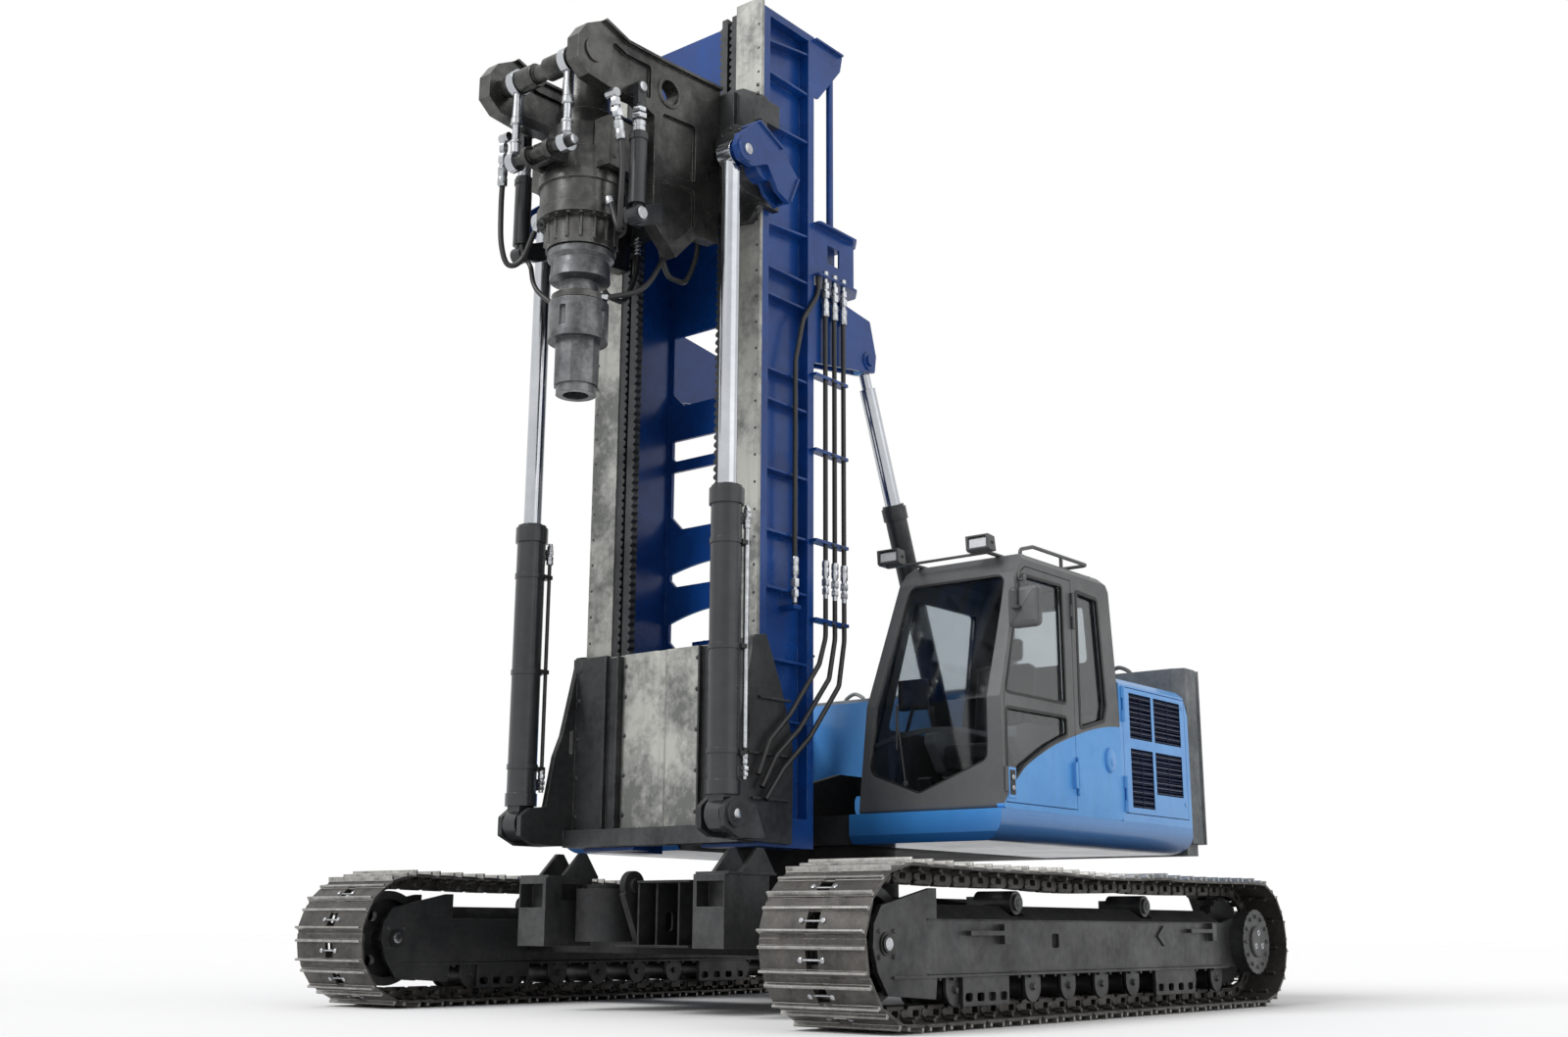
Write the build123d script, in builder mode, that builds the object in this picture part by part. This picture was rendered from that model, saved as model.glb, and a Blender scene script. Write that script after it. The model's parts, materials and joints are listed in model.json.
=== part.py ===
"""Pile driver rig on tracks: a slewing upper machine with a leaning mast and a rotary drive head.

Millimetres. +X points forward to the mast, +Y to the machine's left where the cab is, +Z up.
The origin lies on the ground, under the middle of the machine's overall box.
"""

import os
from math import cos, hypot, pi, radians, sin, sqrt

from build123d import *

# Track loops
TRACK_CENTRE_Y = 2180
SHOE_WIDTH = 750
SHOE_COUNT = 58
TRACK_REAR_X = -3100
TRACK_FRONT_X = 2700
TRACK_HEIGHT = 970
LUG_HEIGHT = 26
SHOE_THICKNESS = 22
SHOE_GROOVE = 10
LINK_HEIGHT = 86
LINK_WIDTH = 190
TOP_RUN_SAG = 26

# Track frames, rollers, idlers and final drives
SLEW_X = -200
BEAM_HALF_WIDTH = 200
BEAM_BOTTOM_Z = 306
BEAM_SHOULDER_Z = 620
BEAM_TOP_Z = 715
BEAM_ROOF_HALF = 60
FLANGE_LIP = 15
PLATE = 30
THIN_PLATE = 16
CARRIER_OFFSET = 890
CARRIER_RADIUS = 75
CARRIER_HALF = 140
ROLLER_RADIUS = 80
ROLLER_HALF = 125
ROLLER_SPACING = 455
ROLLER_COUNT = 9
ROLLER_FIRST_X = -2170
AXLE_RADIUS = 25
HANGER_Y = 150
HANGER_PLATE = 20
HANGER_RADIUS = 95
PIN_RADIUS = 48
IDLER_HALF = 90
SPROCKET_HALF = 45
SPROCKET_TEETH = 24
DRIVE_RADIUS = 235
DRIVE_REACH = 100
DISC_RADIUS = 245
DISC_NOTCHES = 24
RUNNING_GAP = 0.5
FIT_GAP = 0.3

# Centre frame, slewing ring and rest pedestals
CROSS_BEAM_X = 900
CROSS_BEAM_WIDTH = 420
CENTRE_BOTTOM_Z = 380
CENTRE_TOP_Z = 800
SLEW_RADIUS = 640
SLEW_SPLIT_Z = 990
PEDESTAL_FRONT_X = 1975
PEDESTAL_DEPTH = 450
PEDESTAL_WIDTH = 265
PEDESTAL_Y = 820
PEDESTAL_BOTTOM_Z = 440
PEDESTAL_TOP_Z = 906
REST_TOP_Z = 1080
SWIVEL_X = 1600
SWIVEL_Y = -478
SWIVEL_RADIUS = 200
LUG_X = 1790
LUG_Z = 846
LUG_RADIUS = 96

# Upper machine
UPPER_BOTTOM_Z = 1150
SKIRT_TOP_Z = 1360
SKIRT_FRONT_X = 480
BODY_HALF_WIDTH = 2100
CAB_INNER_Y = 890
CAB_FRONT_X = 440
CAB_REAR_X = -1250
CAB_ROOF_Z = 3180
CAB_KNEE_Z = 2117
CAB_KNEE_X = 462
CAB_BROW_X = 190
CAB_BROW_Z = 3030
CAB_SIDE_TAPER = 220
CAB_WALL = 60
DOOR_REAR_X = -565
DOOR_FRONT_X = 415
DOOR_SILL = 40
DOOR_GAP = 6
GLASS = 8
GLASS_INSET = 26
HOOD_REAR_X = -2420
HOOD_TOP_Z = 2440
HOOD_WALL = 50
ENGINE_DOOR_FRONT_X = -1300
ENGINE_DOOR_REAR_X = -2366
ENGINE_DOOR_BOTTOM_Z = 1420
ENGINE_DOOR_TOP_Z = 2380
COUNTERWEIGHT_REAR_X = -2760
COUNTERWEIGHT_TOP_Z = 2660
COUNTERWEIGHT_BOTTOM_Z = 1245
SEAT_X = -380
SEAT_Y = 1480
HINGE_RADIUS = 12
HINGE_OFFSET = 15
HINGE_LENGTH = 90

# Mast
MAST_FRONT_X = 1522
MAST_BACK_X = 886
MAST_HALF_WIDTH = 822
MAST_FOOT_Z = 1100
MAST_TOP_Z = 7336
MAST_WALL = 30
COLUMN_INNER_Y = 600
COLUMN_FLANGE = 70
COLUMN_RECESS = 90
RAIL_INNER_Y = 570
RAIL_THICKNESS = 30
RACK_WIDTH = 75
RACK_PAIR_GAP = 24
RACK_DEPTH = 70
RACK_FOOT_Z = 2480
TOOTH_PITCH = 60
TOOTH_HEIGHT = 22
RIB = 16
TILT_X = 700
TILT_Z = 1400
TILT_PIN_RADIUS = 60
TILT_LUG_Y = 300
LUG_PLATE = 60
LUG_GAP = 6

# Lift cylinders
LIFT_X = 2000
LIFT_Y = 950
LIFT_FOOT_Z = 1275
BARREL_RADIUS = 105
BARREL_BOTTOM_Z = 1400
BARREL_TOP_Z = 3450
ROD_RADIUS = 65
ROD_ENGAGED = 150
EYE_RADIUS = 110
EYE_HALF = 62

# Rakers
RAKER_TOP_X = 185
RAKER_TOP_Z = 4860
RAKER_Y = 750
RAKER_FOOT_X = -1060
RAKER_FOOT_Z = 1600
RAKER_BARREL_RADIUS = 85
RAKER_ROD_RADIUS = 62
RAKER_BARREL_LENGTH = 2350
RAKER_EYE_RADIUS = 100

# Head: its levels are measured from the cross shaft, which hangs below the mast's top
HEAD_DROP = 906
SHAFT_Z = MAST_TOP_Z - HEAD_DROP
SHAFT_X = 2940
SHAFT_RADIUS = 60
LIFT_TOP_Z = SHAFT_Z - 560
ARM_Y = 450
ARM_THICKNESS = 110
SPINDLE_X = 2516
JOURNAL_RADIUS = 150
STEM_RADIUS = 131
COLLAR_RADIUS = 210
TUBE_RADIUS = 158
TUBE_BORE_RADIUS = 90
TUBE_BORE_LENGTH = 250
SPINDLE_BOTTOM = -2285

SIDES = (-1, 1)


def block(x_from, x_to, y_from, y_to, z_from, z_to, mode=Mode.ADD):
    """Add a box between six faces."""
    with Locations(((x_from + x_to) / 2, (y_from + y_to) / 2, (z_from + z_to) / 2)):
        Box(abs(x_to - x_from), abs(y_to - y_from), abs(z_to - z_from), mode=mode)


def slab(plane, points, amount, mode=Mode.ADD, rounding=0):
    """Add a plate from the corners of its outline, which may be rounded."""
    with BuildSketch(plane) as outline:
        with BuildLine():
            if rounding:
                FilletPolyline(*points, radius=rounding, close=True)
            else:
                Polyline(*points, close=True)
        make_face()
    extrude(outline.sketch, amount=amount, mode=mode)


def side_plate(points, y_from, y_to, mode=Mode.ADD, rounding=0):
    """Add a plate with an x-z outline between two planes across the machine."""
    slab(Plane.XZ.offset(-y_from), points, y_from - y_to, mode, rounding)


def cross_plate(points, x_from, x_to, mode=Mode.ADD, rounding=0):
    """Add a plate with a y-z outline between two planes along the machine."""
    slab(Plane.YZ.offset(x_from), points, x_to - x_from, mode, rounding)


def floor_plate(points, z_from, z_to, mode=Mode.ADD, rounding=0):
    """Add a plate with an x-y outline between two levels."""
    slab(Plane.XY.offset(z_from), points, z_to - z_from, mode, rounding)


def bar(start, end, radius, mode=Mode.ADD):
    """Add a round bar between two points."""
    run = Vector(*end) - Vector(*start)
    with BuildSketch(Plane(origin=start, z_dir=run)) as section:
        Circle(radius)
    extrude(section.sketch, amount=run.length, mode=mode)


def cross_bar(x, z, y_from, y_to, radius, mode=Mode.ADD):
    """Add a round bar that lies across the machine."""
    bar((x, y_from, z), (x, y_to, z), radius, mode)


def upright(x, y, z_from, z_to, radius, mode=Mode.ADD):
    """Add an upright round bar."""
    bar((x, y, z_from), (x, y, z_to), radius, mode)


def turned(x, z, profile, mode=Mode.ADD):
    """Add a wheel on an axis across the machine, from the radius and y corners of its half section."""
    with BuildSketch(Plane.XY.offset(z)) as section:
        with BuildLine():
            Polyline(*[(x + radius, y) for radius, y in profile], close=True)
        make_face()
    revolve(section.sketch, axis=Axis((x, 0, z), (0, 1, 0)), mode=mode)


def rounded_hole(plane, middle, size, radius, depth, mode=Mode.SUBTRACT):
    """Cut, or add, a rounded rectangle centred on a plane's local point."""
    with BuildSketch(plane) as outline:
        with Locations(middle):
            RectangleRounded(size[0], size[1], radius)
    extrude(outline.sketch, amount=depth, both=True, mode=mode)


def knuckle(x, side, z, leaf, part):
    """Add a hinge knuckle on an upright pin: the leaf's own, or the two of the frame around it."""
    y = side * (BODY_HALF_WIDTH + HINGE_OFFSET)
    foot = HINGE_RADIUS * 2
    if part == "leaf":
        spans = [(z - HINGE_LENGTH / 2 + FIT_GAP, z + HINGE_LENGTH / 2 - FIT_GAP)]
    else:
        leaf = -leaf
        spans = [(z + edge * HINGE_LENGTH - HINGE_LENGTH / 2, z + edge * HINGE_LENGTH + HINGE_LENGTH / 2)
                 for edge in SIDES]
    for z_from, z_to in spans:
        upright(x, y, z_from, z_to, HINGE_RADIUS)
        block(x + leaf, x + leaf * foot, side * BODY_HALF_WIDTH, y, z_from, z_to)


def save(piece, name):
    """Label a finished piece and write it to its own file."""
    piece.part.label = name
    export_step(piece.part, f"parts/{name}.step")


os.makedirs("parts", exist_ok=True)

# Track loop: pins at equal steps along two end arcs, a flat bottom run and a sagging top run
end_radius = TRACK_HEIGHT / 2 - LUG_HEIGHT - SHOE_THICKNESS
wheel_z = TRACK_HEIGHT / 2
idler_x = TRACK_FRONT_X - TRACK_HEIGHT / 2
sprocket_x = TRACK_REAR_X + TRACK_HEIGHT / 2
run_length = idler_x - sprocket_x
arc_length = pi * end_radius
loop_length = 2 * run_length + 2 * arc_length


def loop_point(distance):
    """Give the point of the shoes' inner face at a distance along the loop, from the sprocket's foot."""
    along = distance % loop_length
    if along < run_length:
        return sprocket_x + along, wheel_z - end_radius
    along -= run_length
    if along < arc_length:
        turn = along / end_radius
        return idler_x + end_radius * sin(turn), wheel_z - end_radius * cos(turn)
    along -= arc_length
    if along < run_length:
        x = idler_x - along
        bay = (x - SLEW_X) / CARRIER_OFFSET
        dip = TOP_RUN_SAG * abs(sin(pi * (bay + 1) / 2)) if abs(bay) < 1 else TOP_RUN_SAG / 2
        near_end = min(1, min(idler_x - x, x - sprocket_x) / CARRIER_OFFSET)
        return x, wheel_z + end_radius - dip * near_end
    turn = (along - run_length) / end_radius
    return sprocket_x - end_radius * sin(turn), wheel_z + end_radius * cos(turn)


def link_frames():
    """Give each link's start pin, unit direction, outward normal and length."""
    pins = [loop_point(loop_length * index / SHOE_COUNT) for index in range(SHOE_COUNT)]
    frames = []
    for index, (x, z) in enumerate(pins):
        next_x, next_z = pins[(index + 1) % SHOE_COUNT]
        length = hypot(next_x - x, next_z - z)
        along = ((next_x - x) / length, (next_z - z) / length)
        frames.append(((x, z), along, (along[1], -along[0]), length))
    return frames


def loop_outline(profile):
    """Repeat a link profile of (share of length, millimetres along, millimetres outward) round the loop."""
    points = []
    for (x, z), along, out, length in link_frames():
        for share, extra, height in profile:
            reach = share * length + extra
            points.append((x + reach * along[0] + height * out[0], z + reach * along[1] + height * out[1]))
    return points


lug_tip = SHOE_THICKNESS + LUG_HEIGHT
SHOE_PROFILE = [
    (0, 0, SHOE_THICKNESS - SHOE_GROOVE),
    (0.02, 4, lug_tip),
    (0.02, 20, lug_tip),
    (0.02, 30, SHOE_THICKNESS),
    (0.5, 0, SHOE_THICKNESS),
    (0.5, 6, lug_tip),
    (0.5, 20, lug_tip),
    (0.5, 28, SHOE_THICKNESS),
    (0.98, 0, SHOE_THICKNESS),
]
LINK_PROFILE = [(0.16, 0, -LINK_HEIGHT), (0.84, 0, -LINK_HEIGHT)]

for side, side_name in zip(SIDES, ("right", "left")):
    shoe_from = side * TRACK_CENTRE_Y - SHOE_WIDTH / 2
    link_from = side * TRACK_CENTRE_Y - LINK_WIDTH / 2
    with BuildPart() as track:
        side_plate(loop_outline(SHOE_PROFILE), shoe_from, shoe_from + SHOE_WIDTH)
        side_plate(loop_outline([(0, 0, 0)]), shoe_from, shoe_from + SHOE_WIDTH, mode=Mode.SUBTRACT)
        with BuildSketch(Plane.XZ.offset(-link_from)) as chain:
            with BuildLine():
                Polyline(*loop_outline([(0, 0, 1)]), close=True)
            make_face()
            with BuildLine():
                Polyline(*loop_outline(LINK_PROFILE), close=True)
            make_face(mode=Mode.SUBTRACT)
        extrude(chain.sketch, amount=-LINK_WIDTH)
    save(track, f"track_{side_name}")

# The head's nose reaches as far forward as the tracks reach back, so that the origin is under the middle
nose_x = -min(x for x, z in loop_outline(SHOE_PROFILE))

# Track frames: a roofed box beam, fork plates for the idler, rear plates for the drive, roller hangers and guards
half_link = loop_length / SHOE_COUNT / 2
wheel_radius = sqrt(end_radius**2 - half_link**2) - LINK_HEIGHT - RUNNING_GAP
roller_z = wheel_z - end_radius + LINK_HEIGHT + RUNNING_GAP + ROLLER_RADIUS
carrier_z = wheel_z + end_radius - TOP_RUN_SAG - LINK_HEIGHT - RUNNING_GAP - CARRIER_RADIUS
BEAM_END_GAP = 60
beam_front_x = idler_x - wheel_radius - BEAM_END_GAP
beam_rear_x = sprocket_x + wheel_radius + BEAM_END_GAP
roller_places = [ROLLER_FIRST_X + index * ROLLER_SPACING for index in range(ROLLER_COUNT)]
carrier_places = [SLEW_X + end * CARRIER_OFFSET for end in SIDES]
BEAM_SECTION = [
    (-BEAM_HALF_WIDTH, BEAM_BOTTOM_Z),
    (BEAM_HALF_WIDTH, BEAM_BOTTOM_Z),
    (BEAM_HALF_WIDTH, BEAM_SHOULDER_Z),
    (BEAM_ROOF_HALF, BEAM_TOP_Z),
    (-BEAM_ROOF_HALF, BEAM_TOP_Z),
    (-BEAM_HALF_WIDTH, BEAM_SHOULDER_Z),
]
FORK_OUTLINE = [
    (beam_front_x - 118, BEAM_BOTTOM_Z),
    (beam_front_x - 118, wheel_z + 320),
    (beam_front_x - 60, wheel_z + 320),
    (idler_x + 45, wheel_z + 215),
    (idler_x + 117, wheel_z + 115),
    (idler_x + 130, wheel_z - 17),
    (idler_x + 85, wheel_z - 155),
    (idler_x - 15, wheel_z - 285),
    (beam_front_x - 98, wheel_z - 317),
]
DRIVE_PLATE_OUTLINE = [
    (beam_rear_x, BEAM_BOTTOM_Z),
    (sprocket_x + 60, wheel_z - 190),
    (sprocket_x - 90, wheel_z - 150),
    (sprocket_x - 150, wheel_z),
    (sprocket_x - 90, wheel_z + 150),
    (sprocket_x + 60, wheel_z + 190),
    (beam_rear_x, BEAM_SHOULDER_Z),
]
# front end and rear end of each slotted guard under a beam
GUARD_SPANS = [(900, 1426), (-1732, -1100)]
GUARD_BOTTOM_Z = 118
GUARD_SLOTS = 4
GUARD_SLOT_SIZE = (84, 52)
GUARD_PLATE = 25
NOTCH_HALF = CARRIER_RADIUS + 14
# start, end, bottom and top of the step brackets on a beam's outer face
STEP_BRACKETS = [(940, 1010, 480, 600), (1010, 1391, 532, 560), (-2050, -1980, 490, 620), (-1980, -1617, 550, 578)]
STEP_REACH = 46
PORT_X = 309
PORT_SIZE = (96, 90)


def hangers(y_from, y_to):
    """Add the half-round roller hangers under a beam's edge."""
    drop = BEAM_BOTTOM_Z - roller_z
    with BuildSketch(Plane.XZ.offset(-y_from)) as outline:
        with Locations(*[(x, roller_z + drop / 2) for x in roller_places]):
            Rectangle(2 * HANGER_RADIUS, drop)
        with Locations(*[(x, roller_z) for x in roller_places]):
            Circle(HANGER_RADIUS)
    extrude(outline.sketch, amount=y_from - y_to)


def guards(edge, face):
    """Add the slotted guard plates under a beam's edge."""
    height = BEAM_BOTTOM_Z - GUARD_BOTTOM_Z
    with BuildSketch(Plane.XZ.offset(-edge)) as outline:
        for x_from, x_to in GUARD_SPANS:
            step = (x_to - x_from) / GUARD_SLOTS
            slots = [(x_from + (slot + 0.5) * step, GUARD_BOTTOM_Z + GUARD_SLOT_SIZE[1]) for slot in range(GUARD_SLOTS)]
            with Locations(((x_from + x_to) / 2, GUARD_BOTTOM_Z + height / 2)):
                Rectangle(x_to - x_from, height)
            with Locations(*slots):
                RectangleRounded(*GUARD_SLOT_SIZE, 20, mode=Mode.SUBTRACT)
    extrude(outline.sketch, amount=face * GUARD_PLATE)


with BuildPart() as track_frames:
    for side in SIDES:
        middle = side * TRACK_CENTRE_Y
        inner = side * (TRACK_CENTRE_Y - BEAM_HALF_WIDTH)
        outer = side * (TRACK_CENTRE_Y + BEAM_HALF_WIDTH)
        cross_plate([(middle + y, z) for y, z in BEAM_SECTION], beam_rear_x, beam_front_x)
        for x in carrier_places:
            block(x - NOTCH_HALF, x + NOTCH_HALF, inner, outer, BEAM_SHOULDER_Z + PLATE, BEAM_TOP_Z + 1, Mode.SUBTRACT)
            block(x - 60, x + 60, inner, middle - side * CARRIER_HALF, BEAM_SHOULDER_Z, carrier_z + 40)
        for face in SIDES:
            edge = middle + face * BEAM_HALF_WIDTH
            side_plate(FORK_OUTLINE, edge, edge - face * PLATE)
            side_plate(DRIVE_PLATE_OUTLINE, edge, edge - face * PLATE)
            block(beam_rear_x - 90, beam_front_x + 340, edge - face * FLANGE_LIP, edge + face * FLANGE_LIP,
                  BEAM_BOTTOM_Z - THIN_PLATE, BEAM_BOTTOM_Z)
            hangers(middle + face * HANGER_Y, middle + face * (HANGER_Y + HANGER_PLATE))
            guards(edge, face)
        for x_from, x_to, z_from, z_to in STEP_BRACKETS:
            block(x_from, x_to, outer, outer + side * STEP_REACH, z_from, z_to)
        rounded_hole(Plane.XZ.offset(-outer), (PORT_X, wheel_z + 13), PORT_SIZE, 18, 30)
        for x in (idler_x, sprocket_x):
            cross_bar(x, wheel_z, inner - side, outer + side, PIN_RADIUS + FIT_GAP, Mode.SUBTRACT)
save(track_frames, "track_frames")

# Idlers: two rims beside a centre flange, with round holes through the web
IDLER_WEB_HALF = 22
IDLER_RIM = 62
IDLER_HUB = 95
IDLER_HOLES = 6
IDLER_HOLE_RADIUS = 42
fork_inside = BEAM_HALF_WIDTH - PLATE - 8
PIN_STAND = 20
with BuildPart() as idler_wheels:
    for side in SIDES:
        middle = side * TRACK_CENTRE_Y
        turned(
            idler_x,
            wheel_z,
            [
                (PIN_RADIUS / 2, middle - fork_inside),
                (IDLER_HUB, middle - fork_inside),
                (IDLER_HUB, middle - IDLER_WEB_HALF),
                (wheel_radius - IDLER_RIM, middle - IDLER_WEB_HALF),
                (wheel_radius - IDLER_RIM, middle - IDLER_HALF),
                (wheel_radius, middle - IDLER_HALF),
                (wheel_radius, middle + IDLER_HALF),
                (wheel_radius - IDLER_RIM, middle + IDLER_HALF),
                (wheel_radius - IDLER_RIM, middle + IDLER_WEB_HALF),
                (IDLER_HUB, middle + IDLER_WEB_HALF),
                (IDLER_HUB, middle + fork_inside),
                (PIN_RADIUS / 2, middle + fork_inside),
            ],
        )
        hole_ring = (IDLER_HUB + wheel_radius - IDLER_RIM) / 2
        for hole in range(IDLER_HOLES):
            turn = 2 * pi * hole / IDLER_HOLES
            cross_bar(idler_x + hole_ring * cos(turn), wheel_z + hole_ring * sin(turn),
                      middle - IDLER_HALF, middle + IDLER_HALF, IDLER_HOLE_RADIUS, Mode.SUBTRACT)
        reach = BEAM_HALF_WIDTH + PIN_STAND
        cross_bar(idler_x, wheel_z, middle - reach, middle + reach, PIN_RADIUS)
save(idler_wheels, "idler_wheels")


def toothed_outline(x, z, tip, root, teeth, tip_share):
    """Give the corners of a wheel with straight-sided teeth, or of a disc with notches."""
    points = []
    step = 2 * pi / teeth
    for tooth in range(teeth):
        for radius, share in ((root, 0), (tip, (1 - tip_share) / 2), (tip, (1 + tip_share) / 2), (root, 0.98)):
            turn = (tooth + share) * step
            points.append((x + radius * cos(turn), z + radius * sin(turn)))
    return points


NOTCH_DEPTH = 12
DISC_THICKNESS = 14
TOOTH_DEPTH = 34
with BuildPart() as final_drives:
    for side in SIDES:
        middle = side * TRACK_CENTRE_Y
        drive_face = middle + side * (BEAM_HALF_WIDTH + DRIVE_REACH)
        side_plate(toothed_outline(sprocket_x, wheel_z, wheel_radius, wheel_radius - TOOTH_DEPTH, SPROCKET_TEETH, 0.4),
                   middle - SPROCKET_HALF, middle + SPROCKET_HALF)
        cross_bar(sprocket_x, wheel_z, middle - fork_inside, middle + fork_inside, DRIVE_RADIUS - 45)
        cross_bar(sprocket_x, wheel_z, middle - side * (BEAM_HALF_WIDTH + PIN_STAND), drive_face, PIN_RADIUS)
        cross_bar(sprocket_x, wheel_z, middle + side * BEAM_HALF_WIDTH, drive_face, DRIVE_RADIUS)
        side_plate(toothed_outline(sprocket_x, wheel_z, DISC_RADIUS, DISC_RADIUS - NOTCH_DEPTH, DISC_NOTCHES, 0.7),
                   drive_face, drive_face + side * DISC_THICKNESS)
save(final_drives, "final_drives")

ROLLER_LIP = 18
with BuildPart() as track_rollers:
    for side in SIDES:
        middle = side * TRACK_CENTRE_Y
        for x in roller_places:
            cross_bar(x, roller_z, middle - ROLLER_HALF, middle + ROLLER_HALF, ROLLER_RADIUS)
            cross_bar(x, roller_z, middle - HANGER_Y, middle + HANGER_Y, AXLE_RADIUS)
        for x in carrier_places:
            cross_bar(x, carrier_z, middle - CARRIER_HALF, middle + CARRIER_HALF, CARRIER_RADIUS)
            cross_bar(x, carrier_z, middle + side * CARRIER_HALF, middle + side * (CARRIER_HALF + ROLLER_LIP), 52)
save(track_rollers, "track_rollers")

# Centre frame: two sloping cross beams, a middle box, the lower ring, and a nose with a swivel drum and a lug
beam_inner_y = TRACK_CENTRE_Y - BEAM_HALF_WIDTH
pedestal_rear_x = PEDESTAL_FRONT_X - PEDESTAL_DEPTH
pedestal_inner_y = PEDESTAL_Y - PEDESTAL_WIDTH / 2
NOSE_BOTTOM_Z = CENTRE_BOTTOM_Z + 100
NOSE_FACE_X = pedestal_rear_x - 100
BAY_FRONT_X = 1840
BAY_FLOOR_Z = 456
BAY_RIGHT_Y = -133
BAY_LEFT_Y = 533
# y of each upright plate in the bay and the front end of it
BAY_WEBS = [(60, 1830), (190, 1790), (425, 1830)]
with BuildPart() as centre_frame:
    for beam in SIDES:
        x = SLEW_X + beam * CROSS_BEAM_X
        cross_plate(
            [
                (-beam_inner_y, CENTRE_BOTTOM_Z),
                (beam_inner_y, CENTRE_BOTTOM_Z),
                (beam_inner_y, BEAM_SHOULDER_Z),
                (SLEW_RADIUS, CENTRE_TOP_Z),
                (-SLEW_RADIUS, CENTRE_TOP_Z),
                (-beam_inner_y, BEAM_SHOULDER_Z),
            ],
            x - CROSS_BEAM_WIDTH / 2,
            x + CROSS_BEAM_WIDTH / 2,
        )
        for side in SIDES:
            for lip in (CENTRE_BOTTOM_Z, BEAM_SHOULDER_Z - THIN_PLATE):
                block(x - CROSS_BEAM_WIDTH / 2 - PLATE, x + CROSS_BEAM_WIDTH / 2 + PLATE, side * beam_inner_y,
                      side * (beam_inner_y - 260), lip, lip + THIN_PLATE)
    block(SLEW_X - CROSS_BEAM_X, SLEW_X + CROSS_BEAM_X, -SLEW_RADIUS, SLEW_RADIUS, CENTRE_BOTTOM_Z + 40, CENTRE_TOP_Z)
    block(SLEW_X + CROSS_BEAM_X, NOSE_FACE_X, -pedestal_inner_y, pedestal_inner_y, NOSE_BOTTOM_Z, CENTRE_TOP_Z)
    for side in SIDES:
        block(NOSE_FACE_X, pedestal_rear_x, side * pedestal_inner_y, side * (pedestal_inner_y - PLATE), NOSE_BOTTOM_Z,
              CENTRE_TOP_Z)
        block(NOSE_FACE_X - 200, pedestal_rear_x, side * pedestal_inner_y, side * (PEDESTAL_Y + PEDESTAL_WIDTH / 2),
              NOSE_BOTTOM_Z + 60, CENTRE_TOP_Z - 80)
    upright(SWIVEL_X, SWIVEL_Y, BAY_FLOOR_Z + THIN_PLATE, CENTRE_TOP_Z + PLATE, SWIVEL_RADIUS)
    upright(SWIVEL_X, SWIVEL_Y, CENTRE_TOP_Z + PLATE, CENTRE_TOP_Z + 2 * PLATE, SWIVEL_RADIUS - 70)
    block(NOSE_FACE_X, BAY_FRONT_X, BAY_RIGHT_Y, BAY_LEFT_Y, BAY_FLOOR_Z - THIN_PLATE, BAY_FLOOR_Z)
    block(NOSE_FACE_X - PLATE, NOSE_FACE_X, BAY_RIGHT_Y, BAY_LEFT_Y, BAY_FLOOR_Z - THIN_PLATE, NOSE_BOTTOM_Z + PLATE)
    block(NOSE_FACE_X, BAY_FRONT_X, BAY_WEBS[0][0], BAY_LEFT_Y, CENTRE_TOP_Z + 60, CENTRE_TOP_Z + 60 + THIN_PLATE)
    block(NOSE_FACE_X - 40, NOSE_FACE_X + 40, BAY_WEBS[0][0], BAY_LEFT_Y, CENTRE_TOP_Z - PLATE, CENTRE_TOP_Z + 76)
    for y, front in BAY_WEBS:
        block(NOSE_FACE_X, front, y, y + THIN_PLATE, BAY_FLOOR_Z, CENTRE_TOP_Z + 60)
    rounded_hole(Plane.XZ.offset(-BAY_WEBS[1][0]), (LUG_X - 120, NOSE_BOTTOM_Z + 130), (70, 130), 30, 40)
    side_plate(
        [
            (NOSE_FACE_X, BAY_FLOOR_Z),
            (LUG_X - 60, BAY_FLOOR_Z),
            (LUG_X + LUG_RADIUS - 1, LUG_Z - 60),
            (LUG_X, LUG_Z),
            (LUG_X - LUG_RADIUS, LUG_Z + 20),
            (NOSE_FACE_X, CENTRE_TOP_Z + 60),
        ],
        -60,
        -10,
    )
    cross_bar(LUG_X, LUG_Z, -60, -10, LUG_RADIUS)
    cross_bar(LUG_X, LUG_Z, -85, 15, PIN_RADIUS)
    upright(SLEW_X, 0, CENTRE_TOP_Z, SLEW_SPLIT_Z, SLEW_RADIUS)
save(centre_frame, "centre_frame")

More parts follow.
